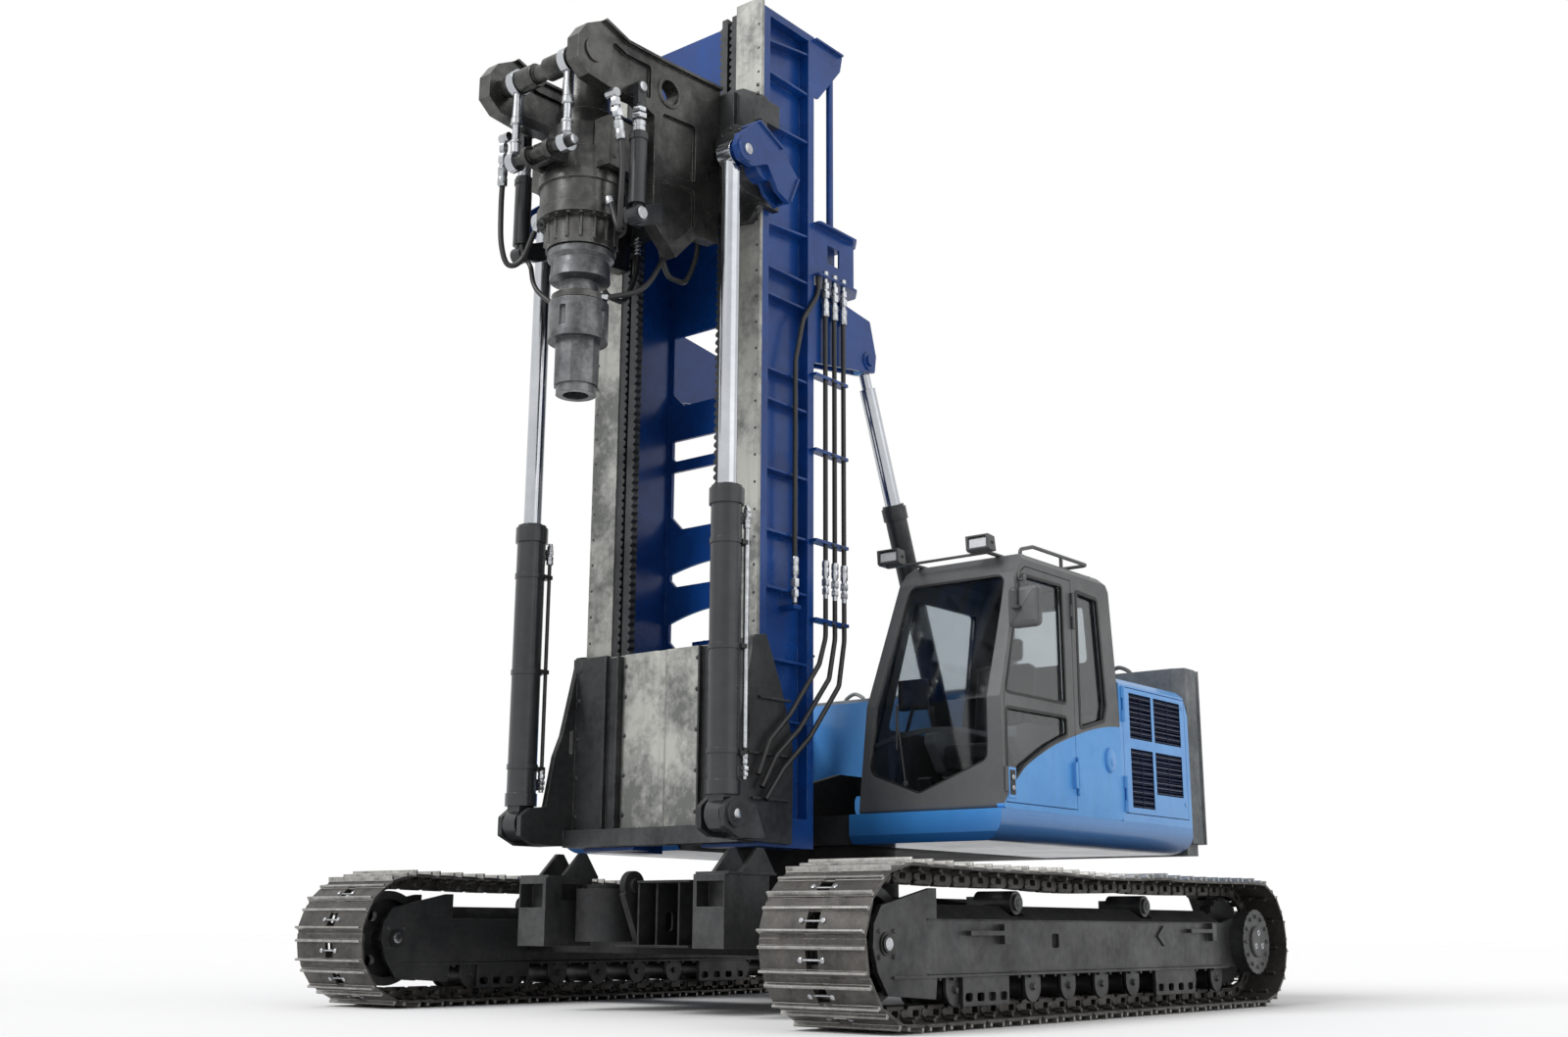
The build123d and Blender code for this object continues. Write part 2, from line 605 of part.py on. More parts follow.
# Rest pedestals: open boxes with gussets that hold the mast foot when it stands
WINDOW_BOTTOM = PEDESTAL_BOTTOM_Z + 260
with BuildPart() as rest_pedestals:
    for side in SIDES:
        low = side * pedestal_inner_y
        high = side * (PEDESTAL_Y + PEDESTAL_WIDTH / 2)
        side_plate(
            [
                (pedestal_rear_x, PEDESTAL_BOTTOM_Z),
                (PEDESTAL_FRONT_X, PEDESTAL_BOTTOM_Z),
                (PEDESTAL_FRONT_X, PEDESTAL_TOP_Z),
                (pedestal_rear_x, PEDESTAL_TOP_Z),
            ],
            low,
            high,
        )
        block(PEDESTAL_FRONT_X - 120, PEDESTAL_FRONT_X + 1, low + side * 28, high - side * 8, WINDOW_BOTTOM,
              PEDESTAL_TOP_Z - 44, Mode.SUBTRACT)
        block(pedestal_rear_x + 80, PEDESTAL_FRONT_X - 155, low - side, low + side * 70, PEDESTAL_BOTTOM_Z + 310,
              PEDESTAL_TOP_Z - 44, Mode.SUBTRACT)
        block(pedestal_rear_x - 60, PEDESTAL_FRONT_X - 20, low, high + side * 14, PEDESTAL_TOP_Z,
              PEDESTAL_TOP_Z + THIN_PLATE)
        for edge in (low, high):
            inward = -PLATE if edge == high else PLATE
            side_plate(
                [
                    (pedestal_rear_x - 60, PEDESTAL_TOP_Z + THIN_PLATE),
                    (PEDESTAL_FRONT_X - 170, PEDESTAL_TOP_Z + THIN_PLATE),
                    (pedestal_rear_x + 120, REST_TOP_Z),
                    (pedestal_rear_x + 60, REST_TOP_Z),
                ],
                edge,
                edge + side * inward,
            )
save(rest_pedestals, "rest_pedestals")

# Main frame of the upper machine, with the mast lugs in front and the raker feet behind
frame_half = CAB_INNER_Y - 60
LUG_REAR_X = -600
LUG_TOP_Z = 1700
fork_half = RAKER_BARREL_RADIUS * 0.6 + LUG_GAP
FORK_THICKNESS = 25
with BuildPart() as upper_frame:
    upright(SLEW_X, 0, SLEW_SPLIT_Z + RUNNING_GAP, UPPER_BOTTOM_Z, SLEW_RADIUS - 20)
    block(HOOD_REAR_X, CAB_FRONT_X, -frame_half, frame_half, UPPER_BOTTOM_Z, SKIRT_TOP_Z)
    for side in SIDES:
        inner = side * (TILT_LUG_Y + LUG_PLATE / 2 + LUG_GAP)
        outer = inner + side * LUG_PLATE
        side_plate(
            [
                (LUG_REAR_X, UPPER_BOTTOM_Z + 20),
                (TILT_X, UPPER_BOTTOM_Z + 20),
                (TILT_X + 110, TILT_Z - 60),
                (TILT_X + 110, TILT_Z + 60),
                (TILT_X + 40, TILT_Z + 110),
                (0, LUG_TOP_Z),
                (LUG_REAR_X, LUG_TOP_Z),
            ],
            inner,
            outer,
            rounding=20,
        )
        rounded_hole(Plane.XZ.offset(-inner), (LUG_REAR_X + 300, TILT_Z + 80), (240, 160), 60, LUG_PLATE + 1)
        cross_bar(TILT_X, TILT_Z, inner, outer, TILT_PIN_RADIUS + FIT_GAP, Mode.SUBTRACT)
        for face in SIDES:
            low = side * RAKER_Y + face * fork_half
            side_plate(
                [
                    (RAKER_FOOT_X - 110, SKIRT_TOP_Z),
                    (RAKER_FOOT_X + 260, SKIRT_TOP_Z),
                    (RAKER_FOOT_X + 90, RAKER_FOOT_Z + 90),
                    (RAKER_FOOT_X - 90, RAKER_FOOT_Z + 90),
                ],
                low,
                low + face * FORK_THICKNESS,
            )
        pin_half = fork_half + FORK_THICKNESS + 15
        cross_bar(RAKER_FOOT_X, RAKER_FOOT_Z, side * RAKER_Y - pin_half, side * RAKER_Y + pin_half, PIN_RADIUS)
save(upper_frame, "upper_frame")

# Skirts: deck edges with a rounded lower side and rounded ends, cut from one long bar on each side
SKIRT_CURVE = 170
SKIRT_STEP = 55
SKIRT_END_RADIUS = 130
with BuildPart() as side_skirts:
    for side in SIDES:
        with BuildSketch(Plane.YZ.offset(HOOD_REAR_X)) as skirt:
            outer = side * BODY_HALF_WIDTH
            shoulder = side * (BODY_HALF_WIDTH - SKIRT_CURVE)
            with BuildLine():
                Line((side * frame_half, SKIRT_TOP_Z), (outer, SKIRT_TOP_Z))
                Line((outer, SKIRT_TOP_Z), (outer, SKIRT_TOP_Z - SKIRT_STEP))
                ThreePointArc(
                    (outer, SKIRT_TOP_Z - SKIRT_STEP),
                    (outer - side * SKIRT_CURVE * 0.3, UPPER_BOTTOM_Z + 45),
                    (shoulder, UPPER_BOTTOM_Z),
                )
                Line((shoulder, UPPER_BOTTOM_Z), (side * frame_half, UPPER_BOTTOM_Z))
                Line((side * frame_half, UPPER_BOTTOM_Z), (side * frame_half, SKIRT_TOP_Z))
            make_face()
        extrude(skirt.sketch, amount=SKIRT_FRONT_X - HOOD_REAR_X)
    with BuildSketch(Plane.XZ.offset(-BODY_HALF_WIDTH - 1)) as skirt_side:
        with BuildLine():
            Polyline((HOOD_REAR_X + SKIRT_END_RADIUS, UPPER_BOTTOM_Z), (SKIRT_FRONT_X - 40, UPPER_BOTTOM_Z),
                     (SKIRT_FRONT_X, UPPER_BOTTOM_Z + 60), (SKIRT_FRONT_X, SKIRT_TOP_Z), (HOOD_REAR_X, SKIRT_TOP_Z),
                     (HOOD_REAR_X, UPPER_BOTTOM_Z + SKIRT_END_RADIUS))
            RadiusArc((HOOD_REAR_X, UPPER_BOTTOM_Z + SKIRT_END_RADIUS),
                      (HOOD_REAR_X + SKIRT_END_RADIUS, UPPER_BOTTOM_Z), -SKIRT_END_RADIUS)
        make_face()
    extrude(skirt_side.sketch, amount=2 * BODY_HALF_WIDTH + 2, mode=Mode.INTERSECT)
save(side_skirts, "side_skirts")

# Cab shell: a side profile with a leaning front, narrowed to the roof on its inner side, hollowed and cut
cab_floor = SKIRT_TOP_Z
CAB_TAIL_X = CAB_REAR_X + 100
CAB_REAR_KNEE_Z = 2148


def front_x(z, inset=0):
    """Give the x of the cab's front at a level, moved in from its face."""
    if z < CAB_KNEE_Z:
        share = (z - cab_floor) / (CAB_KNEE_Z - cab_floor)
        return CAB_FRONT_X + share * (CAB_KNEE_X - CAB_FRONT_X) - inset
    share = (z - CAB_KNEE_Z) / (CAB_BROW_Z - CAB_KNEE_Z)
    return CAB_KNEE_X + share * (CAB_BROW_X - CAB_KNEE_X) - inset


def inner_side_y(z, inset=0):
    """Give the y of the cab's inner side at a level, moved in from its face."""
    share = (z - cab_floor) / (CAB_ROOF_Z - cab_floor)
    return CAB_INNER_Y + share * CAB_SIDE_TAPER + inset


def cab_side(inset):
    """Give the cab's side profile, moved in by a wall."""
    roof = CAB_ROOF_Z - inset
    brow = CAB_BROW_Z - inset / 2
    return [
        (CAB_REAR_X + inset, cab_floor + inset),
        (CAB_FRONT_X - inset, cab_floor + inset),
        (CAB_KNEE_X - inset, CAB_KNEE_Z),
        (front_x(brow, inset), brow),
        (CAB_BROW_X - 110 - inset, roof),
        (CAB_TAIL_X + 80 + inset, roof),
        (CAB_TAIL_X + inset, roof - 100),
        (CAB_REAR_X + inset, CAB_REAR_KNEE_Z),
    ]


def cab_section(inset):
    """Give the cab's cross profile, moved in by a wall."""
    roof = CAB_ROOF_Z - inset
    outer = BODY_HALF_WIDTH - inset
    return [
        (CAB_INNER_Y + inset, cab_floor + inset),
        (outer, cab_floor + inset),
        (outer, roof - 50),
        (outer - 50, roof),
        (inner_side_y(roof, inset) + 50, roof),
        (inner_side_y(roof - 50, inset), roof - 50),
    ]


DOOR_TOP_Z = CAB_ROOF_Z - 100
DOOR_OUTLINE = [
    (DOOR_REAR_X, cab_floor + DOOR_SILL),
    (DOOR_FRONT_X, cab_floor + DOOR_SILL),
    (DOOR_FRONT_X, CAB_KNEE_Z),
    (DOOR_FRONT_X - (CAB_KNEE_X - CAB_BROW_X), CAB_BROW_Z + 10),
    (DOOR_FRONT_X - (CAB_KNEE_X - CAB_BROW_X) - 60, DOOR_TOP_Z),
    (DOOR_REAR_X, DOOR_TOP_Z),
]
DOOR_UPPER = [(390, 2150), (165, 2960), (120, 3015), (-434, 3020), (-443, 2150)]
DOOR_LOWER = [(390, 2050), (-443, 2058), (-443, 1925), (-180, 1830), (160, 1665), (390, 1480)]
QUARTER_WINDOW = [(-640, 3013), (-960, 2997), (-1045, 2200), (-1000, 2080), (-640, 1990)]
FRONT_WINDOW = [(985, 1640), (1407, 1480), (1985, 1690), (2010, 3020), (1190, 3020)]
REAR_WINDOW = [(1250, 2560), (1900, 2560), (1900, 2990), (1250, 2990)]
RIGHT_WINDOW = [(-800, 1980), (250, 1980), (40, 2960), (-800, 2960)]
WINDOW_ROUNDING = 36
FRONT_ROUNDING = 80
REAR_PANE_X = CAB_REAR_X + 95
DOOR_HINGE_LEVELS = (1640, 2850)
ENGINE_HINGE_LEVELS = (1560, 2240)
wall_mid_left = BODY_HALF_WIDTH - CAB_WALL / 2


def window(plane, points, depth, rounding, mode=Mode.SUBTRACT, fit=0):
    """Cut a rounded window through a wall, or add a pane that fits it."""
    with BuildSketch(plane) as outline:
        with BuildLine():
            FilletPolyline(*points, radius=rounding, close=True)
        make_face()
        if fit:
            offset(amount=-fit)
    extrude(outline.sketch, amount=depth, both=True, mode=mode)


side_wall = Plane.XZ.offset(-wall_mid_left)
front_wall = Plane.YZ.offset(CAB_FRONT_X - 150)
rear_wall = Plane.YZ.offset(REAR_PANE_X)
right_wall = Plane(origin=(0, inner_side_y(cab_floor, CAB_WALL / 2), cab_floor), x_dir=(1, 0, 0),
                   z_dir=(0, -(CAB_ROOF_Z - cab_floor), CAB_SIDE_TAPER))
right_window = [(x, z - cab_floor) for x, z in RIGHT_WINDOW]

with BuildPart() as cab_cavity:
    side_plate(cab_side(CAB_WALL), CAB_INNER_Y, BODY_HALF_WIDTH)
    cross_plate(cab_section(CAB_WALL), CAB_REAR_X, CAB_KNEE_X, Mode.INTERSECT)

WAVE_BAND = 34
WAVE_Z = 1800
with BuildPart() as cab_shell:
    side_plate(cab_side(0), CAB_INNER_Y, BODY_HALF_WIDTH, rounding=30)
    cross_plate(cab_section(0), CAB_REAR_X, CAB_KNEE_X, Mode.INTERSECT)
    add(cab_cavity.part, mode=Mode.SUBTRACT)
    side_plate(DOOR_OUTLINE, BODY_HALF_WIDTH - CAB_WALL - 1, BODY_HALF_WIDTH + 1, Mode.SUBTRACT)
    window(side_wall, QUARTER_WINDOW, CAB_WALL, WINDOW_ROUNDING)
    window(right_wall, right_window, CAB_WALL, WINDOW_ROUNDING)
    window(rear_wall, REAR_WINDOW, CAB_WALL * 1.5, WINDOW_ROUNDING)
    window(front_wall, FRONT_WINDOW, 200, FRONT_ROUNDING)
    with BuildSketch(Plane.YZ.offset(front_x(WAVE_Z, CAB_WALL))) as wave:
        with BuildLine():
            low_left, low_right = (inner_side_y(WAVE_Z, 20), WAVE_Z), (BODY_HALF_WIDTH - CAB_WALL - 10, WAVE_Z + 20)
            crest = (1420, WAVE_Z + 105)
            ThreePointArc(low_left, crest, low_right)
            Line(low_right, (low_right[0], low_right[1] + WAVE_BAND))
            ThreePointArc((low_right[0], low_right[1] + WAVE_BAND), (crest[0], crest[1] + WAVE_BAND),
                          (low_left[0], low_left[1] + WAVE_BAND))
            Line((low_left[0], low_left[1] + WAVE_BAND), low_left)
        make_face()
    extrude(wave.sketch, amount=CAB_WALL - GLASS_INSET - GLASS - 2)
    floor_plate([(-900, 1280), (-60, 1280), (-60, 1920), (-900, 1920)], CAB_ROOF_Z, CAB_ROOF_Z + 18, rounding=60)
    for z in DOOR_HINGE_LEVELS:
        knuckle(DOOR_REAR_X, 1, z, 1, "frame")
save(cab_shell, "cab_shell")

# Front glass: one sheet that bends at the knee, cut to the window
with BuildPart() as front_pane:
    levels = (cab_floor + CAB_WALL + 10, CAB_KNEE_Z, CAB_BROW_Z + 20)
    sheet = [(front_x(z, GLASS_INSET), z) for z in levels] + [(front_x(z, GLASS_INSET + GLASS), z) for z in levels[::-1]]
    side_plate(sheet, CAB_INNER_Y, BODY_HALF_WIDTH)
    window(front_wall, FRONT_WINDOW, 400, FRONT_ROUNDING, Mode.INTERSECT, FIT_GAP)

with BuildPart() as cab_glass:
    window(side_wall, QUARTER_WINDOW, GLASS / 2, WINDOW_ROUNDING, Mode.ADD, FIT_GAP)
    window(right_wall, right_window, GLASS / 2, WINDOW_ROUNDING, Mode.ADD, FIT_GAP)
    window(rear_wall, REAR_WINDOW, GLASS / 2, WINDOW_ROUNDING, Mode.ADD, FIT_GAP)
    add(front_pane.part)
save(cab_glass, "cab_glass")

DOOR_LEAF = [
    (DOOR_REAR_X + DOOR_GAP, cab_floor + DOOR_SILL + DOOR_GAP),
    (DOOR_FRONT_X - DOOR_GAP, cab_floor + DOOR_SILL + DOOR_GAP),
    (DOOR_FRONT_X - DOOR_GAP, CAB_KNEE_Z),
    (DOOR_FRONT_X - (CAB_KNEE_X - CAB_BROW_X) - DOOR_GAP, CAB_BROW_Z + 10 - DOOR_GAP),
    (DOOR_FRONT_X - (CAB_KNEE_X - CAB_BROW_X) - 60 - DOOR_GAP, DOOR_TOP_Z - DOOR_GAP),
    (DOOR_REAR_X + DOOR_GAP, DOOR_TOP_Z - DOOR_GAP),
]
DOOR_HANDLE = ((-512, 1643), (34, 190))
HANDLE_STAND = 34
with BuildPart() as cab_door:
    side_plate(DOOR_LEAF, BODY_HALF_WIDTH - CAB_WALL, BODY_HALF_WIDTH)
    window(side_wall, DOOR_UPPER, CAB_WALL, WINDOW_ROUNDING)
    window(side_wall, DOOR_LOWER, CAB_WALL, WINDOW_ROUNDING)
    rounded_hole(Plane.XZ.offset(-BODY_HALF_WIDTH), *DOOR_HANDLE, 16, HANDLE_STAND, Mode.ADD)
    for z in DOOR_HINGE_LEVELS:
        knuckle(DOOR_REAR_X, 1, z, 1, "leaf")
save(cab_door, "cab_door")

with BuildPart() as cab_door_glass:
    window(side_wall, DOOR_UPPER, GLASS / 2, WINDOW_ROUNDING, Mode.ADD, FIT_GAP)
    window(side_wall, DOOR_LOWER, GLASS / 2, WINDOW_ROUNDING, Mode.ADD, FIT_GAP)
save(cab_door_glass, "cab_door_glass")

# Cab interior: seat on its base, headrest, two consoles with levers, pedals and a screen
inside_floor = cab_floor + CAB_WALL
cushion_z = inside_floor + 330
back_top_z = inside_floor + 1080
with BuildPart() as cab_interior:
    block(SEAT_X - 230, SEAT_X + 220, SEAT_Y - 200, SEAT_Y + 200, inside_floor, cushion_z)
    side_plate(
        [
            (SEAT_X - 270, cushion_z),
            (SEAT_X + 250, cushion_z),
            (SEAT_X + 265, cushion_z + 80),
            (SEAT_X + 230, cushion_z + 120),
            (SEAT_X - 270, cushion_z + 105),
        ],
        SEAT_Y - 250,
        SEAT_Y + 250,
        rounding=20,
    )
    side_plate(
        [
            (SEAT_X - 270, cushion_z + 90),
            (SEAT_X - 140, cushion_z + 90),
            (SEAT_X - 190, cushion_z + 400),
            (SEAT_X - 230, back_top_z),
            (SEAT_X - 320, back_top_z),
            (SEAT_X - 340, cushion_z + 400),
        ],
        SEAT_Y - 240,
        SEAT_Y + 240,
        rounding=30,
    )
    block(SEAT_X - 290, SEAT_X - 260, SEAT_Y - 60, SEAT_Y + 60, back_top_z - 20, back_top_z + 60)
    rounded_hole(Plane.YZ.offset(SEAT_X - 280), (SEAT_Y, back_top_z + 130), (280, 180), 60, 45, Mode.ADD)
    for side in SIDES:
        low = SEAT_Y + side * 290
        side_plate(
            [
                (SEAT_X - 240, inside_floor),
                (SEAT_X + 120, inside_floor),
                (SEAT_X + 270, inside_floor + 520),
                (SEAT_X + 270, inside_floor + 610),
                (SEAT_X - 240, inside_floor + 570),
            ],
            low,
            low + side * 110,
            rounding=25,
        )
        upright(SEAT_X + 205, low + side * 55, inside_floor + 590, inside_floor + 760, 20)
        upright(SEAT_X + 205, low + side * 55, inside_floor + 740, inside_floor + 830, 30)
        block(150, 290, SEAT_Y + side * 90 - 45, SEAT_Y + side * 90 + 45, inside_floor, inside_floor + 60)
    screen_y = inner_side_y(inside_floor + 900, CAB_WALL + 50)
    upright(240, screen_y + 110, inside_floor, inside_floor + 700, 22)
    block(215, 265, screen_y, screen_y + 250, inside_floor + 680, inside_floor + 900)
save(cab_interior, "cab_interior")

# Roof lamps on arms that reach forward from the brow
LAMP_PLACES = [CAB_INNER_Y + 165, BODY_HALF_WIDTH - 265]
LAMP_ARMS = [CAB_INNER_Y + 320, BODY_HALF_WIDTH - 225]
LAMP_HALF = 95
LAMP_DEPTH = 100
LAMP_HEIGHT = 112
lamp_x = CAB_BROW_X + 95
lamp_z = CAB_ROOF_Z + 14
with BuildPart() as roof_lamps:
    block(lamp_x - 90, lamp_x - 60, LAMP_PLACES[0] - 60, LAMP_PLACES[1] + 60, CAB_ROOF_Z, lamp_z)
    for y in LAMP_ARMS:
        block(CAB_BROW_X - 190, lamp_x - 60, y - 20, y + 20, CAB_ROOF_Z, lamp_z)
    for y in LAMP_PLACES:
        side_plate(
            [
                (lamp_x - LAMP_DEPTH, lamp_z),
                (lamp_x - 20, lamp_z),
                (lamp_x, lamp_z + 12),
                (lamp_x + 8, lamp_z + LAMP_HEIGHT),
                (lamp_x - LAMP_DEPTH + 20, lamp_z + LAMP_HEIGHT - 8),
            ],
            y - LAMP_HALF,
            y + LAMP_HALF,
        )
        rounded_hole(Plane.YZ.offset(lamp_x + 4), (y, lamp_z + LAMP_HEIGHT / 2 + 6), (154, 78), 14, 22)
save(roof_lamps, "roof_lamps")

# Roof rail and mirror
RAIL_Z = CAB_ROOF_Z + 100
RAIL_RADIUS = 14
MIRROR_X = 315
MIRROR_Y = BODY_HALF_WIDTH + 130
MIRROR_Z = 2738
RAIL_Y = BODY_HALF_WIDTH - 90
RAIL_ROUTE = [
    (-10, RAIL_Y, CAB_ROOF_Z),
    (-10, RAIL_Y, CAB_ROOF_Z + 50),
    (-190, RAIL_Y, RAIL_Z),
    (-1000, RAIL_Y, RAIL_Z),
    (-1000, RAIL_Y - 600, RAIL_Z),
    (-1000, RAIL_Y - 600, CAB_ROOF_Z),
]
MIRROR_ROUTE = [
    (188, BODY_HALF_WIDTH, 2960),
    (188, BODY_HALF_WIDTH + 60, 2960),
    (MIRROR_X - 5, MIRROR_Y, 2960),
    (MIRROR_X - 5, MIRROR_Y, MIRROR_Z),
]


def tube(route, bend, radius):
    """Sweep a round tube along straight runs joined by arcs."""
    with BuildLine() as path:
        FilletPolyline(*route, radius=bend)
    with BuildSketch(Plane(origin=route[0], z_dir=Vector(*route[1]) - Vector(*route[0]))) as section:
        Circle(radius)
    sweep(sections=section.sketch, path=path.line)


with BuildPart() as cab_fittings:
    tube(RAIL_ROUTE, 40, RAIL_RADIUS)
    upright(-600, RAIL_Y, CAB_ROOF_Z, RAIL_Z, RAIL_RADIUS)
    tube(MIRROR_ROUTE, 24, 11)
    rounded_hole(Plane.YZ.offset(MIRROR_X), (MIRROR_Y, MIRROR_Z), (240, 290), 45, 20, Mode.ADD)
save(cab_fittings, "cab_fittings")

# Engine housing: a hollow hood with a sloping tail edge and a doorway on each side
HOOD_TAIL = 180
HOOD_ROUNDING = 45
door_span = (ENGINE_DOOR_REAR_X, ENGINE_DOOR_FRONT_X)
door_levels = (ENGINE_DOOR_BOTTOM_Z, ENGINE_DOOR_TOP_Z)
with BuildPart() as engine_housing:
    side_plate(
        [
            (HOOD_REAR_X, SKIRT_TOP_Z),
            (CAB_REAR_X, SKIRT_TOP_Z),
            (CAB_REAR_X, HOOD_TOP_Z),
            (HOOD_REAR_X + HOOD_TAIL / 2, HOOD_TOP_Z),
            (HOOD_REAR_X, HOOD_TOP_Z - HOOD_TAIL),
        ],
        -BODY_HALF_WIDTH,
        BODY_HALF_WIDTH,
    )
    cross_plate(
        [
            (-BODY_HALF_WIDTH, SKIRT_TOP_Z),
            (BODY_HALF_WIDTH, SKIRT_TOP_Z),
            (BODY_HALF_WIDTH, HOOD_TOP_Z - HOOD_ROUNDING),
            (BODY_HALF_WIDTH - HOOD_ROUNDING, HOOD_TOP_Z),
            (-BODY_HALF_WIDTH + HOOD_ROUNDING, HOOD_TOP_Z),
            (-BODY_HALF_WIDTH, HOOD_TOP_Z - HOOD_ROUNDING),
        ],
        HOOD_REAR_X,
        CAB_REAR_X,
        Mode.INTERSECT,
    )
    side_plate(
        [
            (HOOD_REAR_X + HOOD_WALL, SKIRT_TOP_Z + HOOD_WALL),
            (CAB_REAR_X - HOOD_WALL, SKIRT_TOP_Z + HOOD_WALL),
            (CAB_REAR_X - HOOD_WALL, HOOD_TOP_Z - HOOD_WALL),
            (HOOD_REAR_X + HOOD_TAIL / 2 + 20, HOOD_TOP_Z - HOOD_WALL),
            (HOOD_REAR_X + HOOD_WALL, HOOD_TOP_Z - HOOD_TAIL - 10),
        ],
        -BODY_HALF_WIDTH + HOOD_WALL,
        BODY_HALF_WIDTH - HOOD_WALL,
        Mode.SUBTRACT,
    )
    for side in SIDES:
        inside = side * (BODY_HALF_WIDTH - HOOD_WALL - 1)
        block(*door_span, inside, side * (BODY_HALF_WIDTH + 1), *door_levels, Mode.SUBTRACT)
        for z in ENGINE_HINGE_LEVELS:
            knuckle(ENGINE_DOOR_FRONT_X, side, z, -1, "frame")
save(engine_housing, "engine_housing")

# front end, rear end, bottom and top of each louvre in an engine door
LOUVRES = [
    (-1415, -1780, 1992, 2340),
    (-1825, -2284, 1992, 2340),
    (-1415, -1780, 1470, 1915),
    (-1825, -2284, 1590, 1915),
]
SLAT_PITCH = 37
SLAT_OUTER = 4
SLAT_DEPTH = 30
for side, side_name in zip(SIDES, ("right", "left")):
    with BuildPart() as engine_door:
        inside = side * (BODY_HALF_WIDTH - HOOD_WALL)
        block(door_span[0] + DOOR_GAP, door_span[1] - DOOR_GAP, inside, side * BODY_HALF_WIDTH,
              door_levels[0] + DOOR_GAP, door_levels[1] - DOOR_GAP)
        for x_from, x_to, z_from, z_to in LOUVRES:
            block(x_from, x_to, inside - side, side * (BODY_HALF_WIDTH + 1), z_from, z_to, Mode.SUBTRACT)
            slats = int((z_to - z_from) / SLAT_PITCH)
            front, back = side * (BODY_HALF_WIDTH - SLAT_OUTER), side * (BODY_HALF_WIDTH - SLAT_OUTER - SLAT_DEPTH)
            for slat in range(slats):
                z = z_from + (slat + 0.5) * (z_to - z_from) / slats
                cross_plate([(front, z - 12), (front, z - 6), (back, z + 12), (back, z + 6)], x_from + 2, x_to - 2)
        for z in ENGINE_HINGE_LEVELS:
            knuckle(ENGINE_DOOR_FRONT_X, side, z, -1, "leaf")
    save(engine_door, f"engine_door_{side_name}")

with BuildPart() as engine_block:
    block(-2150, -1450, -900, 700, SKIRT_TOP_Z + HOOD_WALL, HOOD_TOP_Z - 200)
save(engine_block, "engine_block")

# Right-hand housing over the tanks, with two door panels and a filler cap
with BuildPart() as right_housing:
    side_plate(
        [
            (CAB_REAR_X, SKIRT_TOP_Z),
            (CAB_FRONT_X - 210, SKIRT_TOP_Z),
            (CAB_FRONT_X - 210, 2080),
            (CAB_FRONT_X - 330, 2230),
            (CAB_REAR_X, 2330),
        ],
        -CAB_INNER_Y,
        -BODY_HALF_WIDTH,
    )
    for x_middle in (-900, -200):
        rounded_hole(Plane.XZ.offset(BODY_HALF_WIDTH), (x_middle, 1790), (620, 720), 40, 14)
    upright(-700, -1600, 2200, 2330, 70)
save(right_housing, "right_housing")

# Counterweight: a casting with an upright flute near each rear corner, on a stepped foot
FLUTE_DEPTH = 26
FACE_Y = BODY_HALF_WIDTH - 15
side_outline = [
    (HOOD_REAR_X, 0),
    (HOOD_REAR_X, 1980),
    (HOOD_REAR_X - 30, FACE_Y),
    (COUNTERWEIGHT_REAR_X + 125, FACE_Y),
    (COUNTERWEIGHT_REAR_X + 110, FACE_Y - FLUTE_DEPTH),
    (COUNTERWEIGHT_REAR_X + 75, FACE_Y - FLUTE_DEPTH),
    (COUNTERWEIGHT_REAR_X + 60, FACE_Y),
    (COUNTERWEIGHT_REAR_X + 30, FACE_Y - 12),
    (COUNTERWEIGHT_REAR_X, FACE_Y - 70),
]
with BuildPart() as counterweight:
    floor_plate(side_outline[1:] + [(x, -y) for x, y in side_outline[:0:-1]], COUNTERWEIGHT_BOTTOM_Z,
                COUNTERWEIGHT_TOP_Z)
    block(COUNTERWEIGHT_REAR_X + 145, HOOD_REAR_X, -FACE_Y + 40, FACE_Y - 40, UPPER_BOTTOM_Z,
          COUNTERWEIGHT_BOTTOM_Z)
    for side in SIDES:
        block(COUNTERWEIGHT_REAR_X - 1, COUNTERWEIGHT_REAR_X + 22, side * 260, side * 1800, 1500, 2420, Mode.SUBTRACT)
save(counterweight, "counterweight")

# Mast: two columns with recessed outer webs and ribs, joined by a back wall with windows and a foot beam
# bottom, top, cut of the lower corners and rise of the arched top edge
WINDOWS = [
    (4561, 5146, 110, 0),
    (4116, 4282, 30, 0),
    (3561, 4029, 110, 0),
    (3110, 3285, 60, 70),
    (2600, 2920, 90, 90),
]
# front level and rear level of each rib in a column's outer recess
RIBS = [(7080, 7160), (6823, 6819), (6397, 6415), (5600, 5640), (5266, 5266), (5054, 5054), (4482, 4482),
        (4255, 4255), (3740, 3740), (3290, 3290), (2884, 2884), (2380, 2380), (1960, 1960)]
window_half = COLUMN_INNER_Y - 40
wall_face = MAST_BACK_X + MAST_WALL / 2
column_front_x = MAST_FRONT_X - RAIL_THICKNESS
recess_front_x = column_front_x - COLUMN_FLANGE
recess_back_x = MAST_BACK_X + COLUMN_FLANGE


def mast_window(z_from, z_to, cut, rise):
    """Cut a window with cut lower corners and a straight or arched top through the back wall."""
    with BuildSketch(Plane.YZ.offset(wall_face)) as outline:
        with BuildLine():
            Polyline((window_half, z_to - rise), (window_half, z_from + cut), (window_half - cut, z_from),
                     (cut - window_half, z_from), (-window_half, z_from + cut), (-window_half, z_to - rise))
            if rise:
                ThreePointArc((-window_half, z_to - rise), (0, z_to), (window_half, z_to - rise))
            else:
                Line((-window_half, z_to), (window_half, z_to))
        make_face()
    extrude(outline.sketch, amount=MAST_WALL, both=True, mode=Mode.SUBTRACT)


